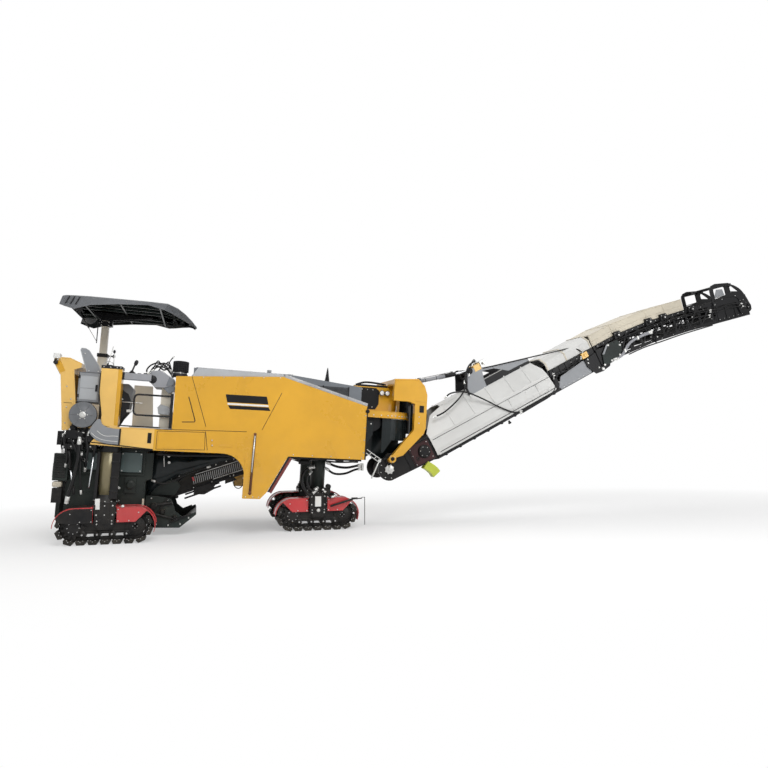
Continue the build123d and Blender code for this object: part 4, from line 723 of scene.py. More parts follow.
def coverDetails():
    # seams, flanges, cross ribs, the lower rail and bolts of the discharge conveyor's inner covers
    seams = onInner("coverSeams", "plastic")
    for side in (-1, 1):
        seams.rod((0.95, side * 0.4465, 0.092), (3.585, side * 0.4465, 0.078), 0.0035, 6)
        seams.rod((0.98, side * 0.4535, -0.163), (3.6, side * 0.4535, -0.163), 0.006, 6)
        for x in coverForm["joints"]:
            seams.rod((x, side * 0.4475, 0.08), (x + 0.004, side * 0.4525, -0.155), 0.0022, 6)
    seams.done()
    shades = onInner("coverFlanges", "white", 0.002)
    for side in (-1, 1):
        a, b = side * 0.4475, side * 0.4575
        shades.box((0.94, 3.6), (a, b), (-0.205, -0.172))
        for x in coverForm["clips"]:
            shades.box((x, x + 0.05), (a, b), (-0.16, -0.12))
    # cross ribs pressed into the slopes and the roof
    slope = ((0.4335, 0.142), (0.262, 0.549), (0.262, 0.556), (0.4385, 0.146))
    for x in coverForm["ribs"]:
        for side in (-1, 1):
            shades.plate([(side * y, z) for y, z in slope], x, x + 0.028, along="X")
    shades.done()
    rail = onInner("coverLowerRail", "black", 0.003)
    for side in (-1, 1):
        rail.box((0.915, 3.72), (side * 0.4, side * 0.448), (-0.262, -0.212))
        for k in range(9):
            x = 1.05 + k * 0.31
            rail.box((x, x + 0.035), (side * 0.396, side * 0.452), (-0.275, -0.2))
        rail.turned((2.46, side * 0.42, -0.282), (0, 0, -1),
            ((0, 0.018), (0.03, 0.018), (0.034, 0.03), (0.06, 0.03)), 12)
    rail.done()
    bolts = onInner("coverBolts", "zinc")
    for side in (-1, 1):
        bolts.bolts([(x, side * 0.4575, -0.188) for x in coverForm["lowBolts"]], (0, side, 0), 0.008)
        bolts.bolts([(x, side * 0.452, 0.04) for x in coverForm["highBolts"]], (0, side, 0), 0.007)
    bolts.done()


def tailHousing():
    # the dark end of the conveyor below the yoke, with its motor cap and hub star
    skinPlate = onInner("tailSidePlate", "maroon", 0.002)
    hub = onInner("tailHub", "zinc", 0.001)
    ribs = onInner("tailRibs", "black", 0.002)
    for side in (-1, 1):
        a, b = side * 0.4, side * 0.412
        skinPlate.plate(((0.46, -0.2), (0.86, -0.215), (0.86, 0.15), (0.46, 0.17)), a, b)
        hub.turned((0, side * 0.41, 0), (0, side, 0), ((0, 0.075), (0.02, 0.075), (0.026, 0.03),
            (0.04, 0.03), (0.044, 0.022)), 20)
        for a in round360(8):
            t = Matrix.Rotation(a, 4, "Y")
            hub.box((0.02, 0.088), (side * 0.412, side * 0.426), (-0.009, 0.009), at=t)
        ribs.turned((0.72, side * 0.4, -0.02), (0, side, 0),
            ((0, 0.12), (0.03, 0.118), (0.05, 0.1), (0.056, 0.06)), 28)
        for a in round360(6):
            t = turnedAt((0.56, 0, -0.08), a)
            ribs.box((0.0, 0.05), (side * 0.41, side * 0.42), (-0.006, 0.006), at=t)
        ribs.plate(((0.0, 0.196), (0.3, 0.21), (0.9, 0.178), (0.9, 0.16), (0.3, 0.192), (0.0, 0.178)),
            side * 0.38, side * 0.418)
        lip = arc(0, 0, 0.2, angleSteps(100, 265, 12)) + arc(0, 0, 0.186, angleSteps(265, 100, 12))
        ribs.plate(lip, side * 0.39, side * 0.42)
        for x in (0.36, 0.47):
            ribs.box((x, x + 0.016), (side * 0.39, side * 0.416), (-0.2, 0.19))
    bolts = onInner("tailBolts", "zinc")
    for side in (-1, 1):
        bolts.bolts(ringSpots(0, side * 0.404, 0, 0.16, (2.2, 3.0, 3.8, 4.5)), (0, side, 0), 0.009)
        bolts.bolts([(x, side * 0.412, z) for x in (0.49, 0.83) for z in (-0.17, 0.0, 0.12)], (0, side, 0),
            0.008)
        bolts.bolts(ringSpots(0.72, side * 0.452, -0.02, 0.085, round360(6, 0.5)), (0, side, 0), 0.007)
    finishAll(skinPlate, hub, ribs, bolts)
    flap = onInner("limeFlap", "lime", 0.001)
    rows = []
    for k in range(9):
        t = k / 8
        x = 0.58 + 0.05 * t + 0.05 * sin(t * 2.2)
        z = -0.27 - 0.23 * t
        far, top = x + 0.12 + 0.03 * t, z + 0.06 - 0.03 * t
        rows.append([(x - 0.008, -0.43, z - 0.01), (far, -0.435, top), (far, -0.27, top),
            (x - 0.008, -0.27, z - 0.01)])
    flap.skin(rows)
    flap.done()


def liftDetails():
    # the lift cylinders' brackets and pipes, the pale block near their end, and the hoses over the cover
    for side, label in ((-1, "Right"), (1, "Left")):
        bracket = Piece("liftBracket" + label, "conveyor_inner", "grey", conveyor, edge=0.002)
        a, b = side * 0.292, side * 0.298
        outline = ((2.045, 0.24), (2.045, 0.6), (2.125, 0.755), (2.185, 0.9), (2.285, 0.9), (2.52, 0.802),
            (3.42, 0.566), (3.42, 0.52), (2.95, 0.53), (2.7, 0.7), (2.46, 0.76), (2.42, 0.6), (2.4, 0.26))
        bracket.plate(outline, a, b)
        bracket.done()
        dark = Piece("liftBracketLip" + label, "conveyor_inner", "black", conveyor, edge=0.001)
        dark.tube(((2.5, side * 0.31, 0.8), (2.9, side * 0.31, 0.7), (3.42, side * 0.31, 0.575),
            (3.9, side * 0.33, 0.46), (4.33, side * 0.34, 0.36)), 0.011)
        dark.turned((2.23, side * 0.27, 0.869), (0, side, 0), ((0, 0.06), (0.04, 0.06), (0.045, 0.04)), 18)
        dark.done()
    block = onInner("liftValveBlock", "paleYellow", 0.004)
    block.box((2.33, 2.47), (-0.3, -0.1), (0.8, 0.92))
    block.turned((2.34, -0.2, 0.86), (-1, 0, 0), ((0, 0.045), (0.05, 0.045), (0.055, 0.03)), 18)
    block.done()
    pale = onInner("liftValveCaps", "zinc", 0.002)
    pale.box((2.49, 2.62), (-0.28, -0.12), (0.83, 0.94))
    pale.turned((2.56, -0.3, 0.88), (0, -1, 0), ((0, 0.03), (0.03, 0.03), (0.033, 0.02)), 14)
    pale.turned((2.42, -0.2, 0.92), (0, 0, 1), ((0, 0.03), (0.03, 0.03), (0.034, 0.018)), 14)
    pale.done()
    hoseRun("liftHoses", "conveyor_inner", (
        (((2.03, -0.3, 0.42), (2.0, -0.34, 0.62), (2.1, -0.32, 0.82), (2.26, -0.3, 0.96),
            (2.42, -0.26, 0.98), (2.46, -0.24, 0.93)), 0.016),
        (((2.5, -0.1, 0.95), (2.45, -0.2, 1.01), (2.32, -0.3, 0.97), (2.16, -0.34, 0.8)), 0.012),
        (((1.52, -0.4, 0.655), (1.66, -0.44, 0.68), (1.9, -0.46, 0.585), (2.12, -0.47, 0.36),
            (2.38, -0.475, 0.04), (2.6, -0.475, -0.18), (2.76, -0.46, -0.235)), 0.014),
        (((1.16, -0.43, 0.44), (1.4, -0.45, 0.44), (1.74, -0.42, 0.52), (1.96, -0.36, 0.62),
            (2.04, -0.32, 0.74)), 0.015),
    ), conveyor)
    lower = []
    for k in range(3):
        lower.append((((2.72, -0.452 - 0.012 * k, -0.236 - 0.016 * k), (3.1, -0.456, -0.238 - 0.014 * k),
            (3.46, -0.456, -0.225 - 0.012 * k), (3.62, -0.45, -0.14), (3.68, -0.43, 0.02)), 0.01))
    hoseRun("coverEdgeHoses", "conveyor_inner", lower, conveyor)


def innerUpper():
    # between the covers and the fold: dark side frame with a grey panel, fittings, and the hinge
    grey = onInner("foldSidePanel", "grey", 0.002)
    black = onInner("foldSideFrame", "black", 0.002)
    bolts = onInner("foldBolts", "zinc")
    for side in (-1, 1):
        a, b = side * 0.398, side * 0.406
        grey.plate(((3.68, -0.26), (4.5, -0.26), (4.55, -0.05), (4.42, 0.03), (3.84, -0.03)), a, b)
        y0, y1 = side * 0.4, side * 0.424
        black.plate(((3.64, 0.06), (4.66, 0.1), (4.66, 0.17), (3.66, 0.18)), y0, y1)
        for k in range(6):
            x = 3.72 + k * 0.15
            black.box((x, x + 0.05), (side * 0.4, side * 0.436), (0.04, 0.17))
        black.turned((3.75, side * 0.41, 0.02), (0, side, 0), ((0, 0.03), (0.03, 0.03), (0.034, 0.016)), 14)
        bolts.bolts([(3.7 + k * 0.12, side * 0.406, -0.235) for k in range(7)], (0, side, 0), 0.008)
        bolts.bolts([(3.75 + k * 0.14, side * 0.425, 0.12) for k in range(7)], (0, side, 0), 0.008)
        bolts.bolts([(4.5, side * 0.432, -0.06), (4.52, side * 0.432, 0.01), (4.68, side * 0.432, -0.24)],
            (0, side, 0), 0.014)
        bolts.turned((4.75, side * 0.432, -0.3), (0, side, 0),
            ((0, 0.034), (0.01, 0.034), (0.012, 0.02), (0.02, 0.02)), 20)
    finishAll(grey, black, bolts)
    lug = onInner("foldYellowBlock", "paleYellow", 0.003)
    lug.box((4.42, 4.56), (-0.46, -0.42), (0.06, 0.17))
    lug.turned((4.49, -0.46, 0.115), (0, -1, 0), ((0, 0.03), (0.014, 0.03), (0.018, 0.02)), 16)
    lug.done()
    hoseRun("foldHoses", "conveyor_inner", (
        (((4.33, -0.34, 0.36), (4.42, -0.4, 0.28), (4.46, -0.43, 0.22), (4.48, -0.44, 0.15)), 0.011),
        (((3.7, -0.425, 0.09), (3.95, -0.44, 0.06), (4.2, -0.445, 0.085), (4.42, -0.44, 0.12)), 0.01),
        (((3.7, -0.425, 0.05), (3.95, -0.45, 0.02), (4.2, -0.45, 0.05), (4.4, -0.44, 0.09)), 0.01),
        (((3.8, -0.33, -0.12), (4.0, -0.37, -0.16), (4.3, -0.38, -0.2), (4.6, -0.36, -0.24)), 0.009),
    ), conveyor)
    rim = onInner("upperCoverRims", "cream", 0.002)
    hoop = ((0.4, 0.185), (0.4, 0.33), (0.27, 0.437))
    skirt = ((0.409, 0.185), (0.409, 0.334), (0.273, 0.446))
    for x in (3.645, 4.1, 4.7):
        inner = [(s * y, z) for s, half in ((-1, hoop), (1, hoop[::-1])) for y, z in half]
        outline = [(s * y, z) for s, half in ((1, skirt), (-1, skirt[::-1])) for y, z in half]
        rim.plate(inner + outline, x, x + 0.028, along="X")
    rim.done()


coverDetails()
tailHousing()
liftDetails()
innerUpper()
print("stage: conveyor, inner section")


def beltAt(s, up, y=0.0):
    # a spot by its distance along the outer section's belt line, and its height above it
    x, z = layout["foldStation"] + layout["foldGap"], 0.0
    for k, (length, heading) in enumerate(layout["outerRuns"]):
        a = radians(heading)
        if s <= length or k == len(layout["outerRuns"]) - 1:
            return Vector((x + s * cos(a) - up * sin(a), y, z + s * sin(a) + up * cos(a)))
        s -= length
        x += length * cos(a)
        z += length * sin(a)


def beltTurn(s):
    # the frame at that distance, turned with the belt line
    heading = 0.0
    left = s
    for length, heading in layout["outerRuns"]:
        if left <= length:
            break
        left -= length
    return Matrix.Translation(beltAt(s, 0)) @ Matrix.Rotation(-radians(heading), 4, "Y")


outerFittings = {
    "links": 24, "brackets": (0.58, 1.37, 1.74, 2.45), "clamps": (0.45, 0.85, 1.25, 1.65, 2.05, 2.5, 2.85),
    "coverJoints": (0.03, 0.54, 1.37, 1.83),
}


def outerDetails():
    # chord links, roller brackets, pipes with their clamps, and the side covers' seams and joints
    black = onOuter("outerChordFittings", "black", 0.002)
    zinc = onOuter("outerBolts", "zinc")
    cream = onOuter("outerCoverTrim", "cream", 0.002)
    for side in (-1, 1):
        y0, y1 = side * 0.4, side * 0.418
        for k in range(outerFittings["links"]):
            t = beltTurn(0.06 + k * 0.118)
            black.box((0, 0.112), (y0, y1), (0.115, 0.178), at=t)
        for s in outerFittings["brackets"]:
            t = beltTurn(s)
            a, b = side * 0.4, side * 0.462
            black.plate(((-0.09, 0.1), (-0.075, 0.235), (0.055, 0.235), (0.1, 0.165), (0.1, 0.1)), a, b, at=t)
            black.turned((0.0, side * 0.455, 0.155), (0, side, 0),
                ((0, 0.045), (0.03, 0.045), (0.036, 0.03)), 18, at=t)
            zinc.bolts([(-0.055, side * 0.462, 0.2), (0.045, side * 0.462, 0.2)], (0, side, 0), 0.008, at=t)
            zinc.turned((0.0, side * 0.488, 0.155), (0, side, 0), ((0, 0.015), (0.008, 0.015)), 12, at=t)
        zinc.bolts([beltAt(0.1 + k * 0.145, 0.145, side * 0.418) for k in range(19)], (0, side, 0), 0.007)
        zinc.bolts([beltAt(0.15 + k * 0.29, -0.24, side * 0.4) for k in range(9)], (0, side, 0), 0.007)
        black.tube([beltAt(s, 0.07, side * 0.428) for s in (0.32, 0.54, 0.95, 1.37, 1.9, 2.3, 2.7, 2.95)],
            0.014)
        black.tube([beltAt(s, 0.035, side * 0.424) for s in (0.5, 0.95, 1.37, 1.9, 2.3, 2.9)], 0.009)
        for s in outerFittings["clamps"]:
            black.box((-0.014, 0.014), (side * 0.398, side * 0.446), (0.045, 0.095), at=beltTurn(s))
        # side cover trim: a rolled seam and the top corner bead
        for up, r in ((0.275, 0.004), (0.405, 0.009)):
            cream.tube([beltAt(s, up, side * 0.4005) for s in (0.02, 0.3, 0.54, 0.95, 1.37, 1.83, 2.25)], r,
                6)
        for s in outerFittings["coverJoints"]:
            cream.box((-0.012, 0.012), (side * 0.394, side * 0.408), (0.185, 0.408), at=beltTurn(s))
        zinc.bolts([beltAt(0.12 + k * 0.3, 0.21, side * 0.402) for k in range(8)], (0, side, 0), 0.006)
    for s in outerFittings["coverJoints"]:
        cream.box((-0.012, 0.012), (-0.4, 0.4), (0.404, 0.418), at=beltTurn(s))
    finishAll(black, zinc, cream)


def outerTruss():
    # what fills the truss: return rollers, rods, boxes, clips and the loose brace at its middle
    rollers = onOuter("outerReturnRollers", "rubber")
    dark = onOuter("outerTrussFittings", "black", 0.002)
    pale = onOuter("outerTrussClips", "zinc", 0.001)
    for k in range(9):
        t = beltTurn(0.22 + k * 0.3)
        rollers.turned((0, -0.3, -0.165), (0, 1, 0), ((0, 0.03), (0.01, 0.042), (0.59, 0.042), (0.6, 0.03)),
            16, at=t)
        rollers.turned((0.09, -0.3, 0.07), (0, 1, 0), ((0, 0.03), (0.6, 0.03)), 14, at=t)
    spots = ((0.95, -0.1, 0.1, 0.05), (1.28, -0.02, 0.07, 0.045), (1.62, -0.12, 0.12, 0.05),
        (2.02, -0.05, 0.09, 0.06), (2.36, -0.14, 0.1, 0.045), (2.62, -0.03, 0.08, 0.05))
    for s, up, wide, tall in spots:
        t = beltTurn(s)
        for side in (-1, 1):
            a, b = side * 0.3, side * 0.385
            dark.box((0, wide), (a, b), (up, up + tall), at=t)
            dark.turned((wide / 2, side * 0.385, up + tall / 2), (0, side, 0), ((0, 0.018), (0.02, 0.018)),
                12, at=t)
    for k in range(15):
        s = 0.7 + k * 0.16
        side = -1 if k % 3 else 1
        t = beltTurn(s)
        up = (-0.2, -0.02, -0.1, 0.06, -0.16)[k % 5]
        pale.box((0, 0.022), (side * 0.39 - 0.004, side * 0.39 + 0.004), (up, up + 0.03), at=t)
    for a, b in (((1.32, 0.06), (1.42, -0.3)), ((1.52, 0.06), (1.42, -0.3)), ((2.08, 0.04), (2.2, -0.24))):
        for side in (-1, 1):
            dark.rod(beltAt(a[0], a[1], side * 0.425), beltAt(b[0], b[1], side * 0.415), 0.009)
    for side in (-1, 1):
        line = [beltAt(s, up, side * 0.415) for s, up in ((0.7, -0.29), (1.1, -0.285), (1.55, -0.3),
            (2.1, -0.29), (2.9, -0.28))]
        dark.tube(line, 0.012)
    finishAll(rollers, dark, pale)
    hoseRun("outerPaleHoses", "conveyor_outer", (
        ([beltAt(s, up, -0.43) for s, up in ((0.3, -0.245), (0.45, -0.255), (0.6, -0.2), (0.74, -0.1),
            (0.9, -0.055), (1.2, -0.035), (1.36, -0.04))], 0.021),
        ([beltAt(s, up, -0.44) for s, up in ((0.36, -0.27), (0.55, -0.255), (0.68, -0.17), (0.82, -0.09),
            (1.05, -0.06), (1.34, -0.065))], 0.013),
    ), conveyor, look="greyPlastic")
    hoseRun("outerBlackHoses", "conveyor_outer", (
        ([beltAt(s, up, -0.41) for s, up in ((1.36, -0.04), (1.6, -0.08), (1.85, -0.02), (2.1, -0.07),
            (2.4, -0.03), (2.9, -0.06))], 0.011),
        ([beltAt(s, up, -0.4) for s, up in ((1.36, -0.06), (1.7, -0.15), (2.0, -0.1), (2.4, -0.14),
            (2.9, -0.1))], 0.009),
        ([beltAt(s, up, 0.41) for s, up in ((0.4, -0.2), (1.0, -0.1), (1.7, -0.12), (2.4, -0.08),
            (2.9, -0.06))], 0.011),
    ), conveyor)
    clamp = onOuter("outerHoseClamps", "zinc", 0.001)
    for s, up in ((0.62, -0.19), (1.0, -0.05), (1.34, -0.05)):
        clamp.box((-0.02, 0.02), (-0.462, -0.4), (up - 0.035, up + 0.035), at=beltTurn(s))
    clamp.done()


def hingePlates():
    # the green-black hinge plate beside the fold, with its ring bolts
    plate = onOuter("foldHingePlate", "housing", 0.003)
    ring = onOuter("foldHingeBolts", "zinc")
    web = onOuter("foldHingeWeb", "grey", 0.002)
    for side in (-1, 1):
        a, b = side * 0.434, side * 0.442
        plate.plate(((4.8, -0.26), (4.86, -0.05), (5.04, 0.1), (5.3, 0.075), (5.36, -0.06), (5.24, -0.24),
            (5.0, -0.275)), a, b)
        a, b = side * 0.416, side * 0.436
        plate.plate(((4.84, -0.22), (4.9, -0.05), (5.02, 0.06), (5.26, 0.04), (5.3, -0.08), (5.2, -0.2)), a,
            b)
        a, b = side * 0.444, side * 0.448
        web.plate(((4.86, -0.04), (4.9, -0.06), (5.06, 0.075), (5.03, 0.095)), a, b)
        for x, z in ((4.815, -0.245), (5.06, 0.065), (5.0, -0.24), (5.22, -0.215), (5.31, -0.04)):
            ring.turned((x, side * 0.442, z), (0, side, 0), ((0, 0.024), (0.006, 0.024), (0.007, 0.015),
                (0.02, 0.015)), 18)
            ring.bolts([(x, side * 0.455, z)], (0, side, 0), 0.011)
    finishAll(plate, ring, web)


def headDetails():
    # the closed head: panel seams, hub, motor, scraper, and the hooped guard's round rim
    at, length = outer[-1]
    drumAt = length - 0.15
    black = Piece("headFittings", "conveyor_outer", "black", at, edge=0.002)
    zinc = Piece("headBolts", "conveyor_outer", "zinc", at)
    pale = Piece("headPlates", "conveyor_outer", "grey", at, edge=0.002)
    start = length - 0.95
    rim = ((0.06, 0.08), (0.06, 0.43), (0.11, 0.485), (0.22, 0.502), (0.56, 0.468), (0.8, 0.33),
        (0.93, 0.12), (0.988, -0.08), (0.984, -0.15), (0.945, -0.188))
    windows = (
        ((0.13, 0.25), (0.13, 0.43), (0.16, 0.45), (0.42, 0.45), (0.44, 0.43), (0.44, 0.28), (0.42, 0.26)),
        ((0.56, 0.31), (0.56, 0.43), (0.58, 0.44), (0.64, 0.41), (0.77, 0.28), (0.76, 0.27)),
        ((0.77, 0.05), (0.89, 0.035), (0.955, -0.1), (0.92, -0.148), (0.77, -0.125)),
    )
    for side in (-1, 1):
        black.tube([(start + x, side * 0.412, z) for x, z in rim], 0.0135, 8, 4)
        for window in windows:
            black.wire([(start + x, side * 0.421, z) for x, z in window], 0.007, 8, closed=True)
        black.turned((start + 0.56, side * 0.4, 0.445), (0, side, 0),
            ((0, 0.035), (0.045, 0.035), (0.05, 0.02)), 16)
        black.box((start + 0.46, start + 0.62), (side * 0.36, side * 0.43), (0.43, 0.482))
        black.turned((drumAt, side * 0.4, 0), (0, side, 0), ((0, 0.11), (0.022, 0.11), (0.026, 0.07),
            (0.05, 0.07), (0.054, 0.045)), 28)
        zinc.bolts(ringSpots(drumAt, side * 0.422, 0, 0.09, round360(6)), (0, side, 0), 0.008)
        for x in (0.8, 1.02, 1.26):
            black.box((x, x + 0.014), (side * 0.398, side * 0.41), (-0.265, 0.175))
        black.box((0.77, 1.6), (side * 0.398, side * 0.414), (-0.266, -0.235))
        zinc.bolts([(0.84 + 0.12 * k, side * 0.402, -0.21) for k in range(6)], (0, side, 0), 0.007)
        zinc.bolts([(0.84 + 0.12 * k, side * 0.402, 0.12) for k in range(5)], (0, side, 0), 0.007)
        zinc.bolts([(start + x, side * 0.424, z) for x, z in ((0.09, 0.12), (0.3, 0.19), (0.66, 0.2),
            (0.72, -0.02))], (0, side, 0), 0.009)
        black.tube([(start + x, side * 0.43, z) for x, z in ((0.1, 0.19), (0.3, 0.215), (0.5, 0.21),
            (0.68, 0.16), (0.74, 0.06))], 0.008)
    pale.plate(((start + 0.14, 0.26), (start + 0.42, 0.27), (start + 0.4, 0.4), (start + 0.24, 0.42)),
        -0.395, -0.39)
    pale.box((drumAt + 0.105, drumAt + 0.12), (-0.3, 0.3), (-0.12, -0.05))
    black.box((start + 0.05, start + 0.4), (-0.385, 0.385), (0.175, 0.19))
    finishAll(black, zinc, pale)
    hoseRun("headHoses", "conveyor_outer", (
        (((0.62, -0.41, 0.04), (0.8, -0.43, 0.02), (1.05, -0.435, 0.05), (1.3, -0.45, 0.03),
            (1.44, -0.455, 0.0)), 0.012),
        (((0.62, -0.41, 0.0), (0.82, -0.43, -0.04), (1.1, -0.435, -0.02), (1.34, -0.45, -0.04),
            (1.46, -0.455, -0.06)), 0.01),
    ), at)


outerDetails()
outerTruss()
hingePlates()
headDetails()
print("stage: conveyor, outer section")

slewAxis = 4.45
collarForm = {"radius": 0.424, "foot": 2.118, "boltsAt": 2.155, "lip": 2.222, "steps": 26}


def mastDetails():
    # side plates of the mast, the collar below it with its bolts, work lamps, and the curtain's hems
    black = onChassis("mastFittings", "black", 0.003)
    zinc = onChassis("mastBolts", "zinc")
    yellow = onChassis("mastRims", "yellow", 0.003)
    for side in (-1, 1):
        a, b = side * 0.185, side * 0.192
        black.plate(((3.8, 2.26), (4.2, 2.26), (4.26, 2.36), (4.26, 2.6), (4.2, 2.645), (3.8, 2.645)), a, b)
        zinc.bolts([(3.84 + 0.1 * k, side * 0.192, 2.3) for k in range(4)], (0, side, 0), 0.008)
        zinc.bolts([(3.84 + 0.1 * k, side * 0.192, 2.61) for k in range(4)], (0, side, 0), 0.008)
    black.box((3.86, 4.42), (-0.17, 0.17), (2.662, 2.7))
    black.tube(((3.84, -0.1, 2.69), (4.0, -0.15, 2.74), (4.25, -0.14, 2.735), (4.4, -0.1, 2.72)), 0.018)
    # collar: a rolled lower rim with its row of bolts
    r, z, boltsAt = collarForm["radius"], collarForm["foot"], collarForm["boltsAt"]
    round190 = angleSteps(-95, 95, collarForm["steps"])
    rim = [(3.8, -r, z), (4.1, -r, z)] + upright(slewAxis, 0, z, r, round190) + [(4.1, r, z), (3.8, r, z)]
    yellow.wire(rim, 0.011, 8)
    for a in angleSteps(-90, 90, 18):
        zinc.bolts(upright(slewAxis, 0, boltsAt, 0.42, (a,)), (cos(a), sin(a), 0), 0.0105)
    for x in (3.84, 3.98, 4.12, 4.26, 4.38):
        for side in (-1, 1):
            zinc.bolts([(x, side * 0.42, boltsAt)], (0, side, 0), 0.0105)
    yellow.wire(upright(slewAxis, 0, collarForm["lip"], r - 0.001, round190), 0.007, 6)
    finishAll(black, zinc, yellow)
    lamps = onChassis("workLamps", "plastic", 0.002)
    glass = onChassis("workLampGlass", "lens")
    for side in (-1, 1):
        for x in (4.3, 4.4):
            lamps.turned((x, side * 0.19, 2.56), (0, side, 0),
                ((0, 0.03), (0.02, 0.046), (0.055, 0.05), (0.06, 0.044)), 24)
            glass.turned((x, side * 0.245, 2.56), (0, side, 0),
                ((0, 0.042), (0.008, 0.038), (0.014, 0.022), (0.016, 0.004)), 24)
    lamps.done()
    glass.done()
    sheen = onChassis("curtainHems", "curtain", 0.002)
    for x, y in arc(slewAxis, 0, 0.3935, angleSteps(-80, 80, 14)):
        sheen.rod((x, y, 2.1), (x, y, 1.74), 0.004, 6)
    sheen.done()
    band = onChassis("curtainBand", "steel")
    ring = upright(slewAxis, 0, 2.1, 0.396, angleSteps(-90, 90, 30))
    band.wire(ring, 0.006, 6)
    band.done()


def frontLink():
    # the bright slotted link hanging at the front panel, with the flat strut below it
    link = onChassis("frontLinkFrame", "zinc", 0.003)
    t, length = frameAlong((3.84, 1.545), (4.12, 1.37))
    for z in (-0.032, 0.024):
        link.box((0, length), (-1.02, -0.98), (z, z + 0.009), at=t)
    for x in (0.0, length * 0.34, length * 0.66, length - 0.012):
        link.box((x, x + 0.012), (-1.02, -0.98), (-0.03, 0.03), at=t)
    link.rod((4.1, -1.0, 1.375), (3.985, -1.0, 1.08), 0.013)
    link.turned((4.1, -1.03, 1.375), (0, 1, 0), ((0, 0.026), (0.06, 0.026)), 16)
    link.done()
    bracket = onChassis("frontLinkBracket", "black", 0.002)
    bracket.box((3.79, 3.86), (-1.08, -0.94), (1.5, 1.6))
    bracket.done()


yokeForm = {"pivot": 1.405, "face": 0.6}


def yokeDetails():
    # pivot rims, stiffeners and bolts of the yoke, and its hoses
    liftZ = yokeForm["pivot"]
    yellow = Piece("yokeRims", "yoke", "yellow", edge=0.003)
    zinc = Piece("yokeBolts", "yoke", "zinc")
    black = Piece("yokeFittings", "yoke", "black", edge=0.002)
    for side in (-1, 1):
        outerY = side * yokeForm["face"]
        yellow.turned((slewAxis, outerY, liftZ), (0, side, 0), ((0, 0.066), (0.01, 0.066), (0.014, 0.05)), 28)
        black.turned((slewAxis, side * 0.61, liftZ), (0, side, 0),
            ((0, 0.034), (0.014, 0.034), (0.018, 0.02)), 20)
        zinc.bolts(ringSpots(slewAxis, side * 0.612, liftZ, 0.05, (0.5, 2.6, 4.7)), (0, side, 0), 0.008)
        a, b = side * 0.495, side * 0.606
        # welded stiffeners along the crank, and the head's rounded cheek
        yellow.plate(((4.43, 2.7), (4.43, 2.792), (4.853, 2.822), (4.967, 2.71), (4.95, 2.7), (4.845, 2.803),
            (4.45, 2.775), (4.45, 2.7)), a, b)
        yellow.box((4.83, 5.02), (a, b), (2.43, 2.438))
        zinc.bolts([(4.9, outerY, z) for z in (2.05, 2.16)], (0, side, 0), 0.01)
        black.box((4.9, 4.98), (side * 0.6, side * 0.612), (2.24, 2.36))
    black.box((4.86, 4.96), (-0.28, 0.28), (2.7, 2.76))
    for y in (-0.27, 0.27):
        black.turned((4.925, y - 0.01, 2.807), (0, 1, 0), ((0, 0.05), (0.02, 0.05)), 20)
    finishAll(yellow, zinc, black)
    hoseRun("yokeHoses", "yoke", (
        (((5.045, -0.35, 2.3), (5.09, -0.4, 2.18), (5.08, -0.42, 2.0), (5.03, -0.415, 1.88)), 0.016),
        (((5.045, -0.3, 2.36), (5.12, -0.36, 2.22), (5.1, -0.38, 2.05), (5.05, -0.4, 1.86)), 0.012),
        (((5.045, -0.25, 2.42), (5.1, -0.3, 2.28), (5.12, -0.33, 2.1), (5.07, -0.36, 1.95)), 0.01),
        (((4.96, -0.22, 2.7), (5.06, -0.28, 2.62), (5.1, -0.33, 2.48), (5.05, -0.35, 2.34)), 0.014),
    ))


liftPins = {"yoke": (4.925, 2.807), "conveyor": (2.23, 0.869)}


def conveyorToBody(along, up):
    p = body.inverted() @ conveyor @ Vector((along, 0, up))
    return p.x, p.z


def cylinderDetails():
    # lift cylinders: glands, ports, a bright pipe along each barrel
    t = frameAlong(liftPins["yoke"], conveyorToBody(*liftPins["conveyor"]))[0]
    steel = Piece("liftBarrelPipes", "lift_barrel", "steel")
    shell = Piece("liftBarrelSleeves", "lift_barrel", "greyPlastic")
    cap = Piece("liftBarrelGlands", "lift_barrel", "black", edge=0.001)
    for y in (-0.18, 0.18):
        for side in (-1, 1):
            steel.tube(((0.08, y + side * 0.02, 0.048), (0.3, y + side * 0.02, 0.052),
                (0.62, y + side * 0.02, 0.052), (0.76, y + side * 0.01, 0.044)), 0.007, at=t)
        shell.turned((0.09, y, 0), (1, 0, 0), ((0, 0.027), (0, 0.034), (0.52, 0.034), (0.52, 0.027)), 20,
            at=t, joined=True)
        cap.turned((0.62, y, 0), (1, 0, 0), ((0, 0.036), (0.01, 0.041), (0.19, 0.041), (0.2, 0.036)), 20,
            at=t)
        cap.box((0.07, 0.12), (y - 0.022, y + 0.022), (0.02, 0.062), at=t)
        cap.box((0.72, 0.77), (y - 0.018, y + 0.018), (0.03, 0.06), at=t)
        for s in (0.2, 0.42, 0.6):
            cap.turned((s, y, 0), (1, 0, 0), ((0, 0.0365), (0.012, 0.0365)), 20, at=t)
    finishAll(steel, shell, cap)


mastDetails()
frontLink()
yokeDetails()
cylinderDetails()
print("stage: front")

track = {"shoes": 18, "endRadius": 0.201, "endOffset": 0.415, "axle": 0.25, "width": 0.26, "legPivot": 0.588}


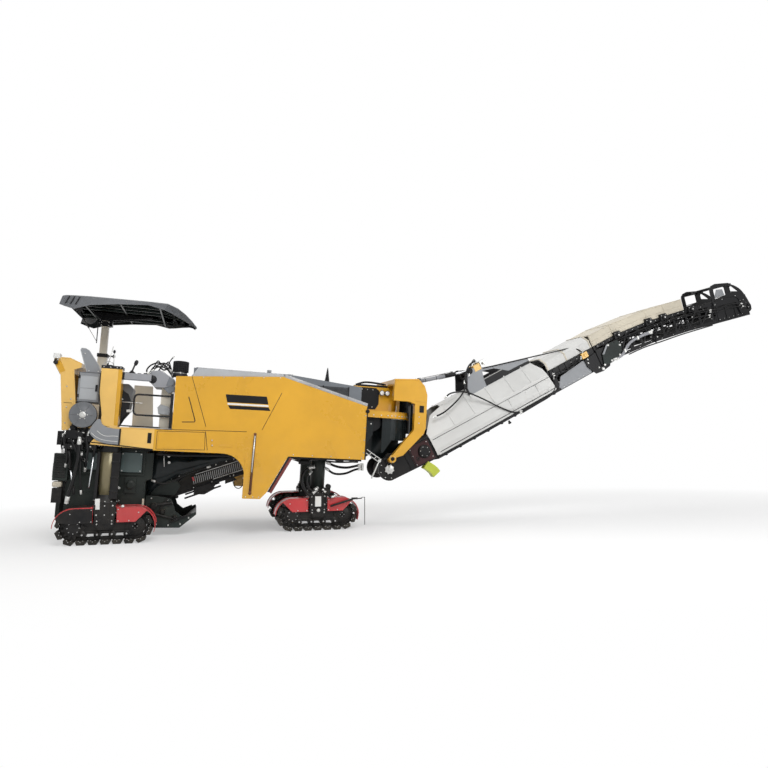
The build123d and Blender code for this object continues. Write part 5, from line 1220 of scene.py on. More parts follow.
def onChain(s, out, y):
    straight = 2 * track["endOffset"]
    bend = pi * track["endRadius"]
    s %= 2 * straight + 2 * bend
    offset, r, z = track["endOffset"], track["endRadius"] + out, track["axle"]
    if s < straight:
        return Vector((-offset + s, y, z + r)), 0.0
    s -= straight
    if s < bend:
        a = s / track["endRadius"]
        return Vector((offset + r * sin(a), y, z + r * cos(a))), a
    s -= bend
    if s < straight:
        return Vector((offset - s, y, z - r)), pi
    a = pi + (s - straight) / track["endRadius"]
    return Vector((-offset + r * sin(a), y, z + r * cos(a))), a


def chainPieces(label, at, chain):
    # every shoe with its rubber pad, grouser edges, bolts, and the paired link plates with their pins
    rides = "track_" + label
    total = 4 * track["endOffset"] + 2 * pi * track["endRadius"]
    pitch = total / track["shoes"]
    pads = Piece("shoes_" + label, rides, "pad", at, edge=0.003)
    links = Piece("links_" + label, rides, "black", at, edge=0.0015)
    bright = Piece("padBolts_" + label, rides, "steel", at)
    half = track["width"] / 2
    for k in range(track["shoes"]):
        spot, turn = onChain((k + 0.5) * pitch, 0.0, 0.0)
        t = Matrix.Translation(spot) @ Matrix.Rotation(turn, 4, "Y")
        pads.box((-0.42 * pitch, 0.42 * pitch), (-half, half), (-0.009, 0.011), at=t)
        crown = ((-0.4 * pitch, 0.011), (-0.32 * pitch, 0.0455), (0.32 * pitch, 0.0455), (0.4 * pitch, 0.011))
        for a, b in ((-half + 0.004, -0.006), (0.006, half - 0.004)):
            pads.plate(crown, a, b, at=t)
        for y in (-0.036, 0.036):
            outline = ((-0.56 * pitch, -0.035), (-0.5 * pitch, -0.012), (0.44 * pitch, -0.012),
                (0.56 * pitch, -0.028), (0.5 * pitch, -0.05), (0.3 * pitch, -0.056), (-0.3 * pitch, -0.056),
                (-0.5 * pitch, -0.05))
            shift = 0.006 if k % 2 else -0.006
            links.plate(outline, y - 0.008 + shift, y + 0.008 + shift, at=t)
        links.turned((0.5 * pitch, -0.05, -0.034), (0, 1, 0), ((0, 0.013), (0.1, 0.013)), 10, at=t)
        bright.bolts([t @ Vector((x, y, -0.009)) for x in (-0.03, 0.03) for y in (-0.09, 0.09)], t.to_3x3()
            @ Vector((0, 0, -1)), 0.009)
        for y, way in ((-half, -1), (half, 1)):
            bright.turned((0.0, y, 0.002), (0, way, 0), ((0, 0.006), (0.004, 0.006)), 8, at=t)
    made = pads.done()
    links.done()
    bright.done()
    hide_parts(chain)


def wheelFaces(label, at, rides):
    # sprocket teeth, hub and idler faces, roller caps, tensioner and the frame's stiffeners, on both sides
    dark = Piece("wheels_" + label, rides, "black", at, edge=0.0015)
    bright = Piece("wheelBolts_" + label, rides, "steel", at)
    z = track["axle"]
    for side in (-1, 1):
        y = side * 0.072
        x = -track["endOffset"]
        for a in round360(13):
            tooth = ((0.12, -0.02), (0.168, -0.008), (0.168, 0.008), (0.12, 0.02))
            dark.plate(tooth, y, y + side * 0.018, at=turnedAt((x, 0, z), a))
        dark.turned((x, y, z), (0, side, 0), ((0, 0.13), (0.014, 0.128), (0.02, 0.1), (0.05, 0.095),
            (0.055, 0.06)), 28)
        bright.bolts(ringSpots(x, y + side * 0.05, z, 0.078, round360(8)), (0, side, 0), 0.008)
        x = track["endOffset"]
        dark.turned((x, y, z), (0, side, 0), ((0, 0.135), (0.01, 0.135), (0.014, 0.11), (0.02, 0.11),
            (0.03, 0.05), (0.05, 0.046)), 28)
        bright.bolts(ringSpots(x, y + side * 0.05, z, 0.03, round360(4)), (0, side, 0), 0.006)
        for station in (-0.3, -0.1, 0.1, 0.3):
            dark.turned((station, y, 0.145), (0, side, 0), ((0, 0.048), (0.02, 0.048), (0.026, 0.03),
                (0.036, 0.026)), 20)
            bright.turned((station, y + side * 0.034, 0.145), (0, side, 0), ((0, 0.012), (0.006, 0.012)), 10)
        dark.box((-0.26, 0.26), (y, y + side * 0.012), (0.305, 0.325))
        dark.box((-0.3, 0.3), (y, y + side * 0.016), (0.178, 0.196))
    dark.done()
    bright.done()


def legDetails(label, at, rides, columnRadius, khaki):
    # column sleeve, fork bolts, pivot cap with its bright ring, blank plate
    out = -1 if label.endswith("right") else 1
    face = out * 0.17
    thin = 0.36 if khaki else 1.0  # the rear forks stand close to the widest point
    leanAt = at @ turnedAt((0, 0, track["legPivot"]), radians(layout["lean"]))
    column = Piece("columnSkin_" + label, rides, "khaki" if khaki else "housing", leanAt)
    r = columnRadius
    column.turned((0, 0, 0.065), (0, 0, 1), ((0, r + 0.001), (0.8, r + 0.001)), 48)
    column.done()
    collar = Piece("columnCollar_" + label, rides, "black", leanAt)
    collar.turned((0, 0, 0.0), (0, 0, 1), ((0, r + 0.05), (0.03, r + 0.05), (0.034, r + 0.03),
        (0.08, r + 0.028), (0.09, r + 0.008), (0.12, r + 0.008), (0.124, r + 0.001)), 40)
    collar.done()
    ring = Piece("columnBolts_" + label, rides, "zinc", leanAt)
    ring.bolts(upright(0, 0, 0.03, r + 0.04, round360(12)), (0, 0, 1), 0.011)
    ring.done()
    fork = Piece("forkDetails_" + label, rides, "black", at, edge=0.003)
    bright = Piece("forkBright_" + label, rides, "zinc", at)
    for side in (-1, 1):
        y = side * 0.17
        a, b = y, y + side * 0.008 * thin
        fork.plate(((-0.125, 0.29), (-0.06, 0.235), (0.06, 0.235), (0.125, 0.29), (0.13, 0.35), (0.1, 0.37),
            (-0.1, 0.37), (-0.13, 0.35)), a, b)
        fork.turned((0, y, 0.34), (0, side, 0), ((0, 0.062), (0.016 * thin, 0.062), (0.02 * thin, 0.05)), 28)
        bright.turned((0, y + side * 0.016 * thin, 0.34), (0, side, 0),
            ((0, 0.03), (0.012 * thin, 0.03), (0.013 * thin, 0.02), (0.02 * thin, 0.018)), 20)
        bright.bolts([(x, y + side * 0.008 * thin, z) for x in (-0.1, 0.1) for z in (0.3, 0.345)],
            (0, side, 0), 0.009)
        bright.bolts([(x, y, z) for x in (-0.11, 0.0, 0.11) for z in (0.43, 0.56)], (0, side, 0), 0.011)
        for x in (-0.135, 0.121):
            fork.box((x, x + 0.014), (y, y + side * 0.03 * thin), (0.42, 0.58))
    fork.box((-0.07, 0.07), (face, face + out * 0.02 * thin), (0.4, 0.6))
    fork.done()
    bright.done()
    plate = Piece("forkBlankPlate_" + label, rides, "blankPlate", at, edge=0.002)
    y = face + out * 0.024 * thin
    if khaki:
        plate.box((-0.13, -0.065), (y - out * 0.02, y), (0.51, 0.665))
    else:
        plate.box((-0.055, 0.045), (y - out * 0.02, y), (0.4, 0.565))
    plate.done()


guard = {"top": 0.53, "bend": (0.415, 0.25)}


def guardDetails(label, at, rides):
    # folded edges, bolts, bright clips at the tops
    out = -1 if label.endswith("right") else 1
    red = Piece("guardRims_" + label, rides, "red", at, edge=0.002)
    zinc = Piece("guardBolts_" + label, rides, "zinc", at)
    top = guard["top"]
    for sign in (-1, 1):
        for y in (-0.136, 0.136):
            bend = [(sign * x, y, z) for x, z in arc(*guard["bend"], 0.281,
                [radians(v) for v in (90, 72, 54, 36, 18, 2)])]
            rim = [(sign * 0.165, y, top + 0.002)] + bend
            red.tube(rim, 0.006, 6)
        y = out * 0.141
        edge = [(sign * 0.165, y, 0.315), (sign * 0.165, y, 0.52), (sign * 0.415, y, 0.526),
            (sign * 0.56, y, 0.49)]
        red.wire(edge, 0.0035, 6)
        spots = [(sign * x, out * 0.14, z) for x, z in ((0.18, 0.335), (0.18, 0.5), (0.33, 0.335),
            (0.46, 0.45))]
        zinc.bolts(spots, (0, out, 0), 0.009)
        zinc.bolts([(sign * 0.2, yy, top) for yy in (-0.09, 0.0, 0.09)], (0, 0, 1), 0.009)
    zinc.turned((0.24, out * 0.13, top), (0, 0, 1), ((0, 0.026), (0.012, 0.026), (0.03, 0.022),
        (0.036, 0.012)), 20)
    red.done()
    zinc.done()


for end, x, gauge, radius in (("rear", 0.0, layout["gauge"][0], 0.13),
        ("front", layout["wheelbase"], layout["gauge"][1], 0.118)):
    for hand, side in (("right", -1), ("left", 1)):
        label = end + "_" + hand
        at = machine @ Matrix.Translation((x, side * gauge / 2, 0))
        chainPieces(label, at, "track_chain_" + label)
        wheelFaces(label, at, "track_" + label)
        legDetails(label, at, "track_" + label, radius, end == "rear")
        guardDetails(label, at, "track_" + label)


def legPlumbing():
    frontRight = machine @ Matrix.Translation((layout["wheelbase"], -layout["gauge"][1] / 2, 0))
    hoseRun("frontLegHoses", "track_front_right", (
        (((-0.04, -0.15, 0.66), (-0.13, -0.2, 0.6), (-0.2, -0.2, 0.64), (-0.26, -0.19, 0.76),
            (-0.27, -0.17, 0.88), (-0.22, -0.14, 0.98), (-0.13, -0.1, 1.03), (-0.08, -0.1, 1.04)), 0.025),
        (((-0.02, -0.17, 0.7), (-0.09, -0.21, 0.66), (-0.155, -0.21, 0.7), (-0.19, -0.2, 0.8),
            (-0.18, -0.18, 0.9), (-0.12, -0.14, 0.96)), 0.018),
        (((0.09, -0.16, 0.66), (0.15, -0.2, 0.6), (0.2, -0.2, 0.54), (0.26, -0.19, 0.56)), 0.016),
    ), frontRight)
    fittings = Piece("frontLegFittings", "track_front_right", "black", frontRight, edge=0.003)
    fittings.box((0.1, 0.2), (-0.19, -0.1), (0.6, 0.7))
    fittings.turned((0.17, -0.19, 0.72), (0, 1, 0), ((0, 0.04), (0.09, 0.04), (0.095, 0.03)), 20)
    fittings.box((-0.17, -0.1), (-0.185, -0.1), (0.585, 0.65))
    # the ground pointer on its arm
    fittings.rod((0.2, -0.19, 0.4), (0.58, -0.19, 0.505), 0.018, 10)
    fittings.rod((0.58, -0.19, 0.505), (0.74, -0.19, 0.515), 0.009, 8)
    fittings.rod((0.73, -0.19, 0.53), (0.785, -0.19, 0.53), 0.005, 8)
    fittings.rod((0.785, -0.19, 0.535), (0.787, -0.19, 0.075), 0.006, 8)
    fittings.box((0.56, 0.66), (-0.21, -0.17), (0.5, 0.53))
    fittings.done()
    hoseRun("bellyHoses", "chassis", (
        (((3.28, -0.7, 1.3), (3.45, -0.72, 1.24), (3.62, -0.74, 1.23), (3.78, -0.74, 1.265),
            (3.87, -0.74, 1.285)), 0.02),
        (((3.28, -0.66, 1.2), (3.42, -0.7, 1.12), (3.6, -0.72, 1.13), (3.76, -0.74, 1.2),
            (3.87, -0.74, 1.225)), 0.018),
        (((3.25, -0.6, 1.32), (3.5, -0.64, 1.31), (3.8, -0.66, 1.33)), 0.014),
        (((2.7, -0.66, 1.345), (2.84, -0.7, 1.3), (2.98, -0.68, 1.32), (3.06, -0.64, 1.36)), 0.02),
    ))
    steelEnds = onChassis("bellyHoseBlock", "zinc", 0.002)
    steelEnds.box((3.87, 3.9), (-0.78, -0.7), (1.19, 1.31))
    steelEnds.done()
    under = onChassis("underPanelBeam", "black", 0.003)
    under.box((2.62, 3.76), (-1.15, -0.62), (1.355, 1.385))
    for x in (2.72, 3.0, 3.42, 3.66):
        under.box((x, x + 0.05), (-1.14, -0.7), (1.33, 1.36))
    under.turned((2.8, -0.78, 1.3), (1, 0, 0), ((0, 0.045), (0.16, 0.045), (0.17, 0.03)), 18)
    under.done()


legPlumbing()
print("stage: tracks")

lowRear = {"wall": -0.852, "foot": (0.64, 0.712), "rise": 20.5}
belly = body @ Matrix.Translation((lowRear["foot"][0], 0,
    lowRear["foot"][1])) @ Matrix.Rotation(-radians(lowRear["rise"]), 4, "Y")


def bellyHood():
    # curved dark hood between the housing and the panels, and the sheet that closes the gap above the drum
    hood = onChassis("bellyHood", "curtain")
    rings = []
    stations = (
        (0.475, 0.6, 1.375, 0.6), (0.62, 0.8, 1.385, 0.6), (0.9, 0.97, 1.38, 0.585),
        (1.25, 1.1, 1.37, 0.56), (1.6, 1.23, 1.375, 0.54), (1.86, 1.32, 1.385, 0.52),
    )
    for x, low, high, half in stations:
        wall = ((0.05, 0.0), (0.0, 0.35), (0.02, 0.75), (0.09, 1.0))
        rise = [(half - inset, low + share * (high - low)) for inset, share in wall]
        rings.append([(x, -y, z) for y, z in rise] + [(x, y, z) for y, z in rise[::-1]])
    hood.skin(rings, smooth=True)
    hood.done()
    fill = onChassis("rearCrossmember", "black", 0.004)
    fill.box((-0.7, -0.3), (-1.04, -0.86), (1.385, 1.61))
    fill.box((0.02, 0.6), (-1.06, -0.87), (1.372, 1.398))
    fill.box((-0.765, -0.718), (-1.1, 1.1), (1.4, 1.6))
    for x in (0.66, 0.95, 1.25, 1.55):
        fill.box((x, x + 0.05), (-1.12, -0.55), (1.36, 1.395))
    fill.tube(((0.6, -0.92, 1.33), (0.9, -0.9, 1.32), (1.3, -0.86, 1.335), (1.7, -0.86, 1.35)), 0.024, 8)
    fill.done()


def bellyConveyor():
    # ribbed belt in the side windows, bright rails, roller brackets, scraper, red clips, the gathering keel
    ribbed = Piece("bellyBelt", "chassis", "rubber", belly, edge=0.001)
    grey = Piece("bellyBeltRibs", "chassis", "steel", belly)
    rails = Piece("bellyRails", "chassis", "blankPlate", belly, edge=0.001)
    dark = Piece("bellyBrackets", "chassis", "black", belly, edge=0.002)
    zinc = Piece("bellyBolts", "chassis", "zinc", belly)
    clips = Piece("bellyClips", "chassis", "red", belly, edge=0.001)
    for side in (-1, 1):
        def across(a, b):
            return side * a, side * b
        ribbed.box((0.3, 2.05), across(0.29, 0.3035), (-0.11, 0.11))
        for k in range(46):
            s = 0.55 + 0.032 * k
            grey.plate(((s, -0.072), (s + 0.008, -0.072), (s + 0.022, 0.05), (s + 0.014, 0.05)),
                *across(0.3035, 0.308))
        rails.box((0.62, 2.05), across(0.305, 0.318), (0.068, 0.079))
        rails.box((0.86, 2.05), across(0.305, 0.318), (-0.092, -0.082))
        dark.box((0.2, 2.05), across(0.305, 0.33), (0.115, 0.14))
        dark.box((0.05, 1.95), across(0.305, 0.33), (-0.165, -0.135))
        for k in range(6):
            s = 0.22 + 0.3 * k
            dark.box((s, s + 0.05), across(0.318, 0.345), (-0.19, -0.1))
            dark.turned((s + 0.025, side * 0.345, -0.175), (0, side, 0),
                ((0, 0.028), (0.02, 0.028), (0.024, 0.014)), 14)
            zinc.bolts([(s + 0.025, side * 0.331, 0.128), (s + 0.15, side * 0.331, 0.128)], (0, side, 0),
                0.01)
            zinc.bolts([(s + 0.012, side * 0.345, -0.12)], (0, side, 0), 0.008)
        for s in (0.55, 1.4):
            clips.box((s, s + 0.03), across(0.308, 0.33), (-0.02, 0.05))
        dark.plate(((0.55, -0.13), (0.8, -0.13), (0.86, -0.24), (0.66, -0.28), (0.5, -0.22)),
            *across(0.335, 0.35))
        dark.plate(((1.05, -0.13), (1.18, -0.13), (1.22, -0.22), (1.02, -0.22)), *across(0.335, 0.35))
        dark.rod((0.35, side * 0.345, -0.24), (0.95, side * 0.345, -0.23), 0.014, 8)
        dark.rod((0.7, side * 0.36, 0.16), (1.9, side * 0.36, 0.155), 0.01, 8)
        dark.rod((0.3, side * 0.36, 0.04), (0.62, side * 0.36, 0.16), 0.01, 8)
    finishAll(ribbed, grey, rails, dark, zinc, clips)
    keel = onChassis("gatheringKeel", "housing", 0.004)
    outline = ((0.478, 0.34), (0.632, 0.165), (1.012, 0.172), (1.255, 0.385), (1.235, 0.425), (1.06, 0.335),
        (0.93, 0.43), (0.86, 0.62), (0.64, 0.66), (0.478, 0.66))
    for side in (-1, 1):
        keel.plate(outline, side * 0.56, side * 0.575)
        keel.plate(((0.52, 0.66), (0.9, 0.66), (0.98, 0.82), (0.9, 0.92), (0.52, 0.86)), side * 0.4,
            side * 0.415)
    floor = (
        (0.478, 0.34), (0.632, 0.165), (1.012, 0.172), (1.255, 0.385),
        (1.25, 0.395), (1.008, 0.184), (0.636, 0.177), (0.482, 0.352),
    )
    keel.skin([[(x, s, z) for x, z in floor] for s in (-0.56, 0.56)])
    keel.done()
    clutter = onChassis("gatheringGear", "black", 0.003)
    bright = onChassis("gatheringBolts", "zinc")
    for side in (-1, 1):
        for p, q, r in (((0.5, 0.5), (0.88, 0.56), 0.022), ((0.55, 0.4), (0.98, 0.3), 0.018),
                ((0.6, 0.28), (0.8, 0.62), 0.015), ((0.86, 0.26), (1.18, 0.4), 0.016)):
            clutter.rod((p[0], side * 0.6, p[1]), (q[0], side * 0.6, q[1]), r, 10)
        for x, z, r in ((0.6, 0.5, 0.06), (0.74, 0.42, 0.045), (0.93, 0.34, 0.035)):
            clutter.turned((x, side * 0.575, z), (0, side, 0),
                ((0, r), (0.04, r), (0.05, r * 0.7), (0.07, r * 0.6)), 20)
            bright.bolts(ringSpots(x, side * 0.615, z, r * 0.75, (0.6, 2.2, 3.8, 5.4)), (0, side, 0), 0.006)
        bright.bolts([(x, side * 0.575, z) for x, z in ((0.66, 0.22), (0.84, 0.21), (1.02, 0.23),
            (1.14, 0.33), (0.56, 0.62), (0.8, 0.6))], (0, side, 0), 0.011)
    clutter.rod((0.6, -0.6, 0.5), (0.6, 0.6, 0.5), 0.03, 14)
    clutter.done()
    bright.done()
    hoseRun("bellyLoops", "chassis", (
        (((1.8, -0.34, 1.02), (1.8, -0.36, 0.9), (1.84, -0.37, 0.82), (1.9, -0.37, 0.8), (1.95, -0.36, 0.85),
            (1.96, -0.35, 0.98)), 0.007),
        (((0.56, -0.66, 0.9), (0.7, -0.68, 0.86), (0.86, -0.66, 0.9), (1.1, -0.62, 1.04), (1.4, -0.6, 1.15)),
            0.014),
    ))


def housingSide():
    # panels, ribs, bolts, straps and the louvred box on the drum housing's outer wall
    y = lowRear["wall"]
    skin = onChassis("housingPanel", "teal", 0.004)
    skin.box((0.1, 0.4), (y - 0.022, y - 0.004), (1.03, 1.325))
    skin.box((-0.4, -0.2), (y - 0.022, y - 0.004), (1.05, 1.3))
    skin.done()
    ribs = onChassis("housingRibs", "housing", 0.003)
    ribs.box((-0.68, 0.44), (y - 0.028, y - 0.004), (1.335, 1.362))
    for x in (-0.66, -0.43, 0.42):
        ribs.box((x, x + 0.022), (y - 0.03, y - 0.004), (1.01, 1.36))
    ribs.box((-0.66, 0.44), (y - 0.024, y - 0.004), (0.985, 1.01))
    ribs.box((0.18, 0.34), (y - 0.035, y - 0.004), (0.72, 0.96))
    ribs.turned((0.26, y - 0.035, 0.84), (0, -1, 0), ((0, 0.065), (0.02, 0.065), (0.03, 0.04)), 24)
    ribs.done()
    bolts = onChassis("housingBolts", "zinc")
    bolts.bolts([(x, y - 0.022, z) for x in (0.12, 0.38) for z in (1.05, 1.305)], (0, -1, 0), 0.01)
    bolts.bolts([(x, y - 0.028, 1.348) for x in (-0.6, -0.45, -0.3, -0.15, 0.0, 0.3)], (0, -1, 0), 0.009)
    bolts.rod((0.703, -0.88, 1.37), (0.722, -0.88, 1.13), 0.006, 8)
    bolts.bolts([(0.78, -0.88, 1.3), (0.79, -0.88, 1.2)], (0, -1, 0), 0.018)
    bolts.done()
    box = onChassis("louvreBox", "housing", 0.005)
    box.box((-0.8, -0.6), (-1.0, -0.862), (0.88, 1.275))
    box.done()
    slats = onChassis("louvreBoxSlats", "black", 0.001)
    for k in range(9):
        z = 0.925 + 0.036 * k
        slats.skin([[(x, -1.0, z), (x, -1.012, z + 0.004), (x, -1.008, z + 0.018), (x, -1.0, z + 0.022)]
            for x in (-0.775, -0.63)])
    slats.box((-0.806, -0.79), (-0.98, -0.9), (0.93, 0.97))
    slats.box((-0.806, -0.79), (-0.98, -0.9), (1.08, 1.13))
    slats.tube(((-0.8, -0.95, 0.95), (-0.806, -0.95, 0.98), (-0.806, -0.95, 1.07), (-0.8, -0.95, 1.11)),
        0.006, 6)
    slats.box((-0.79, -0.66), (-0.99, -0.865), (0.56, 0.77))
    slats.done()
    cap = onChassis("louvreBoxCap", "cream", 0.018)
    cap.box((-0.795, -0.67), (-1.0, -0.865), (0.785, 0.865))
    cap.done()
    strap = onChassis("housingStrap", "cream", 0.003)
    strap.box((0.445, 0.475), (y - 0.02, y - 0.004), (0.42, 0.64))
    strap.done()
    wrap = onChassis("housingWrap", "blankPlate", 0.004)
    for k in range(16):
        a = 2.399 * k
        spot = (0.02 + 0.022 * sqrt(k) * cos(a), y - 0.02, 0.8 + 0.016 * sqrt(k) * sin(a))
        t = turnedAt(spot, a) @ Matrix.Rotation(0.5 * sin(3 * a), 4, "X")
        wrap.box((-0.026, 0.024), (-0.008, 0.004), (-0.012, 0.01), at=t)
    wrap.done()


def rearLegPlumbing():
    # hoses, valve gear and bright rods around the rear right leg and below the reel
    rods = onChassis("rearRods", "chrome")
    rods.rod((-0.546, -1.12, 1.07), (-0.49, -1.12, 0.8), 0.012, 12)
    rods.rod((-0.246, -1.17, 1.29), (-0.272, -1.17, 0.8), 0.01, 12)
    rods.done()
    barrels = onChassis("rearRodBarrels", "black")
    barrels.rod((-0.6, -1.12, 1.38), (-0.546, -1.12, 1.06), 0.024, 14)
    barrels.rod((-0.24, -1.17, 1.42), (-0.247, -1.17, 1.27), 0.02, 14)
    barrels.rod((-0.49, -1.12, 0.81), (-0.475, -1.12, 0.7), 0.022, 14)
    barrels.box((-0.36, -0.22), (-1.19, -1.05), (1.36, 1.43))
    barrels.box((-0.66, -0.4), (-1.17, -1.0), (1.35, 1.42))
    barrels.done()
    hoseRun("rearHoses", "chassis", (
        (((-0.455, -1.17, 1.5), (-0.45, -1.185, 1.33), (-0.455, -1.19, 1.15), (-0.485, -1.19, 0.92),
            (-0.53, -1.18, 0.72), (-0.55, -1.14, 0.6)), 0.024),
        (((-0.6, -1.14, 1.62), (-0.57, -1.17, 1.5), (-0.52, -1.18, 1.4), (-0.47, -1.17, 1.3),
            (-0.4, -1.14, 1.22), (-0.36, -1.06, 1.18)), 0.015),
        (((-0.66, -1.12, 1.6), (-0.66, -1.16, 1.46), (-0.62, -1.17, 1.34), (-0.6, -1.15, 1.2),
            (-0.62, -1.08, 1.1)), 0.014),
        (((-0.34, -1.15, 1.6), (-0.36, -1.18, 1.5), (-0.33, -1.19, 1.36), (-0.34, -1.17, 1.2),
            (-0.36, -1.06, 1.05)), 0.016),
        (((-0.5, -1.1, 1.62), (-0.46, -1.16, 1.55), (-0.38, -1.17, 1.5), (-0.28, -1.16, 1.46),
            (-0.2, -1.08, 1.42)), 0.012),
        (((-0.42, -1.08, 1.3), (-0.42, -1.13, 1.1), (-0.4, -1.14, 0.9), (-0.38, -1.1, 0.72)), 0.013),
        (((-0.7, -1.06, 1.55), (-0.7, -1.1, 1.42), (-0.68, -1.08, 1.3)), 0.012),
    ))
    gear = onChassis("rearValveGear", "black", 0.003)
    for k in range(6):
        x = -0.68 + 0.062 * k
        gear.box((x, x + 0.045), (-1.15, -1.06), (1.44 + 0.012 * (k % 2), 1.53))
        gear.turned((x + 0.022, -1.105, 1.53), (0, 0, 1), ((0, 0.014), (0.03, 0.014), (0.034, 0.008),
            (0.05, 0.008)), 10)
    gear.box((-0.7, -0.3), (-1.06, -1.04), (1.4, 1.66))
    gear.done()
    small = onChassis("rearValveBolts", "zinc")
    small.bolts([(-0.66 + 0.062 * k, -1.15, 1.47 + 0.03 * (k % 2)) for k in range(6)], (0, -1, 0), 0.008)
    small.bolts([(-0.64, -1.17, 1.385), (-0.56, -1.17, 1.385), (-0.44, -1.17, 1.385), (-0.3, -1.19, 1.395)],
        (0, -1, 0), 0.01)
    small.box((-0.5, -0.4), (-1.162, -1.15), (1.585, 1.6))
    small.box((-0.62, -0.56), (-1.162, -1.15), (1.6, 1.612))
    small.done()
    for hand, side in (("right", -1), ("left", 1)):
        at = machine @ Matrix.Translation((0, side * layout["gauge"][0] / 2, 0))
        # painted shade: black plates over the side and top of each rear guard's rear half, where the red
        # guard lies in shadow
        cover = Piece("paintedGuardShade_rear_" + hand, "track_rear_" + hand, "black", at, edge=0.002)
        x, z = -guard["bend"][0], guard["bend"][1]
        bend = arc(x, z, 0.272, angleSteps(90, 150, 4))
        cover.plate([(-0.165, 0.315), (-0.165, 0.522)] + bend + [(-0.62, 0.33), (-0.5, 0.31)], side * 0.1405,
            side * 0.146)
        top = [(-0.165, 0.5325), (-0.415, 0.5335)] + arc(x, z, 0.2845, angleSteps(100, 145, 3))
        low = [(x + 0.002 * (x < -0.45), z + 0.005) for x, z in top][::-1]
        cover.plate(top + low, -side * 0.12, side * 0.128)
        cover.done()
        lean = at @ turnedAt((0, 0, track["legPivot"]), radians(layout["lean"]))
        # painted shade: black slabs with straps down the front and back of each rear column, where it lies in
        # shadow under the body
        shade = Piece("paintedColumnShade_rear_" + hand, "track_rear_" + hand, "black", lean, edge=0.004)
        shade.box((0.045, 0.155), (side * 0.1, side * 0.15), (0.07, 0.74))
        shade.box((-0.165, -0.125), (side * 0.02, side * 0.12), (0.05, 0.74))
        for z in (0.16, 0.36, 0.58):
            shade.box((0.04, 0.16), (side * 0.15, side * 0.158), (z, z + 0.03))
        shade.done()


def hopperApron():
    # dark side sheets of the hopper between the panels and the mast
    sheet = onChassis("hopperApron", "curtain", 0.003)
    for y in (-0.56, 0.56):
        sheet.plate(((3.815, 2.03), (4.08, 2.03), (4.08, 1.8), (3.95, 1.6), (3.815, 1.5)), y - 0.005, y
            + 0.005)
    sheet.plate(((3.8, 1.95), (4.17, 1.95), (4.17, 1.44), (4.05, 1.36), (3.8, 1.4)), -0.03, 0.03)
    sheet.plate(((4.17, 2.05), (4.72, 2.05), (4.72, 1.62), (4.5, 1.43), (4.3, 1.36), (4.17, 1.44)), -0.02,
        0.02)
    sheet.done()
    trim = onChassis("hopperTrim", "zinc")
    trim.bolts([(x, -0.565, 1.99) for x in (3.86, 3.95, 4.04)], (0, -1, 0), 0.012)
    trim.done(twin=True)


screen = {"axis": 4.46, "radius": 0.5, "thick": 0.01, "low": 1.86, "high": 2.56, "spread": 44}


def yokeScreen():
    # curved rubber screen under the yoke's head, in front of the transfer curtain
    rubber = Piece("yokeScreen", "yoke", "curtain")
    steps = 14
    rings = []
    for k in range(steps + 1):
        turn = radians(screen["spread"] * (2 * k / steps - 1))
        ring = []
        for r, z in ((0, "low"), (screen["thick"], "low"), (screen["thick"], "high"), (0, "high")):
            reach = screen["radius"] + r
            ring.append(Vector((screen["axis"] + reach * cos(turn), reach * sin(turn), screen[z])))
        rings.append(ring)
    rubber.skin(rings)
    rubber.done()


bellyHood()
hopperApron()
yokeScreen()
bellyConveyor()
housingSide()
rearLegPlumbing()
print("stage: low rear")

canopyShape = {
    "rim": ((1.03, 0.03, 3.452), (0.955, 0.25, 3.516), (0.851, 0.55, 3.571), (0.73, 0.8, 3.619),
        (0.586, 0.985, 3.643), (0.302, 1.0, 3.643), (-0.104, 1.0, 3.638), (-0.515, 1.0, 3.632),
        (-0.731, 0.985, 3.626), (-0.86, 0.965, 3.62), (-0.908, 0.95, 3.609)),
    "hem": ((1.01, 0.025, 3.436), (0.9, 0.22, 3.478), (0.78, 0.47, 3.5), (0.66, 0.75, 3.52),
        (0.54, 0.955, 3.535), (0.302, 0.988, 3.582), (-0.104, 0.988, 3.55), (-0.515, 0.988, 3.493),
        (-0.731, 0.972, 3.414), (-0.86, 0.952, 3.446), (-0.945, 0.938, 3.474)),
    "crown": 0.018, "ribs": (-0.74, -0.44, -0.14, 0.42, 0.72), "crossRibs": (-0.66, -0.1, 0.47),
}


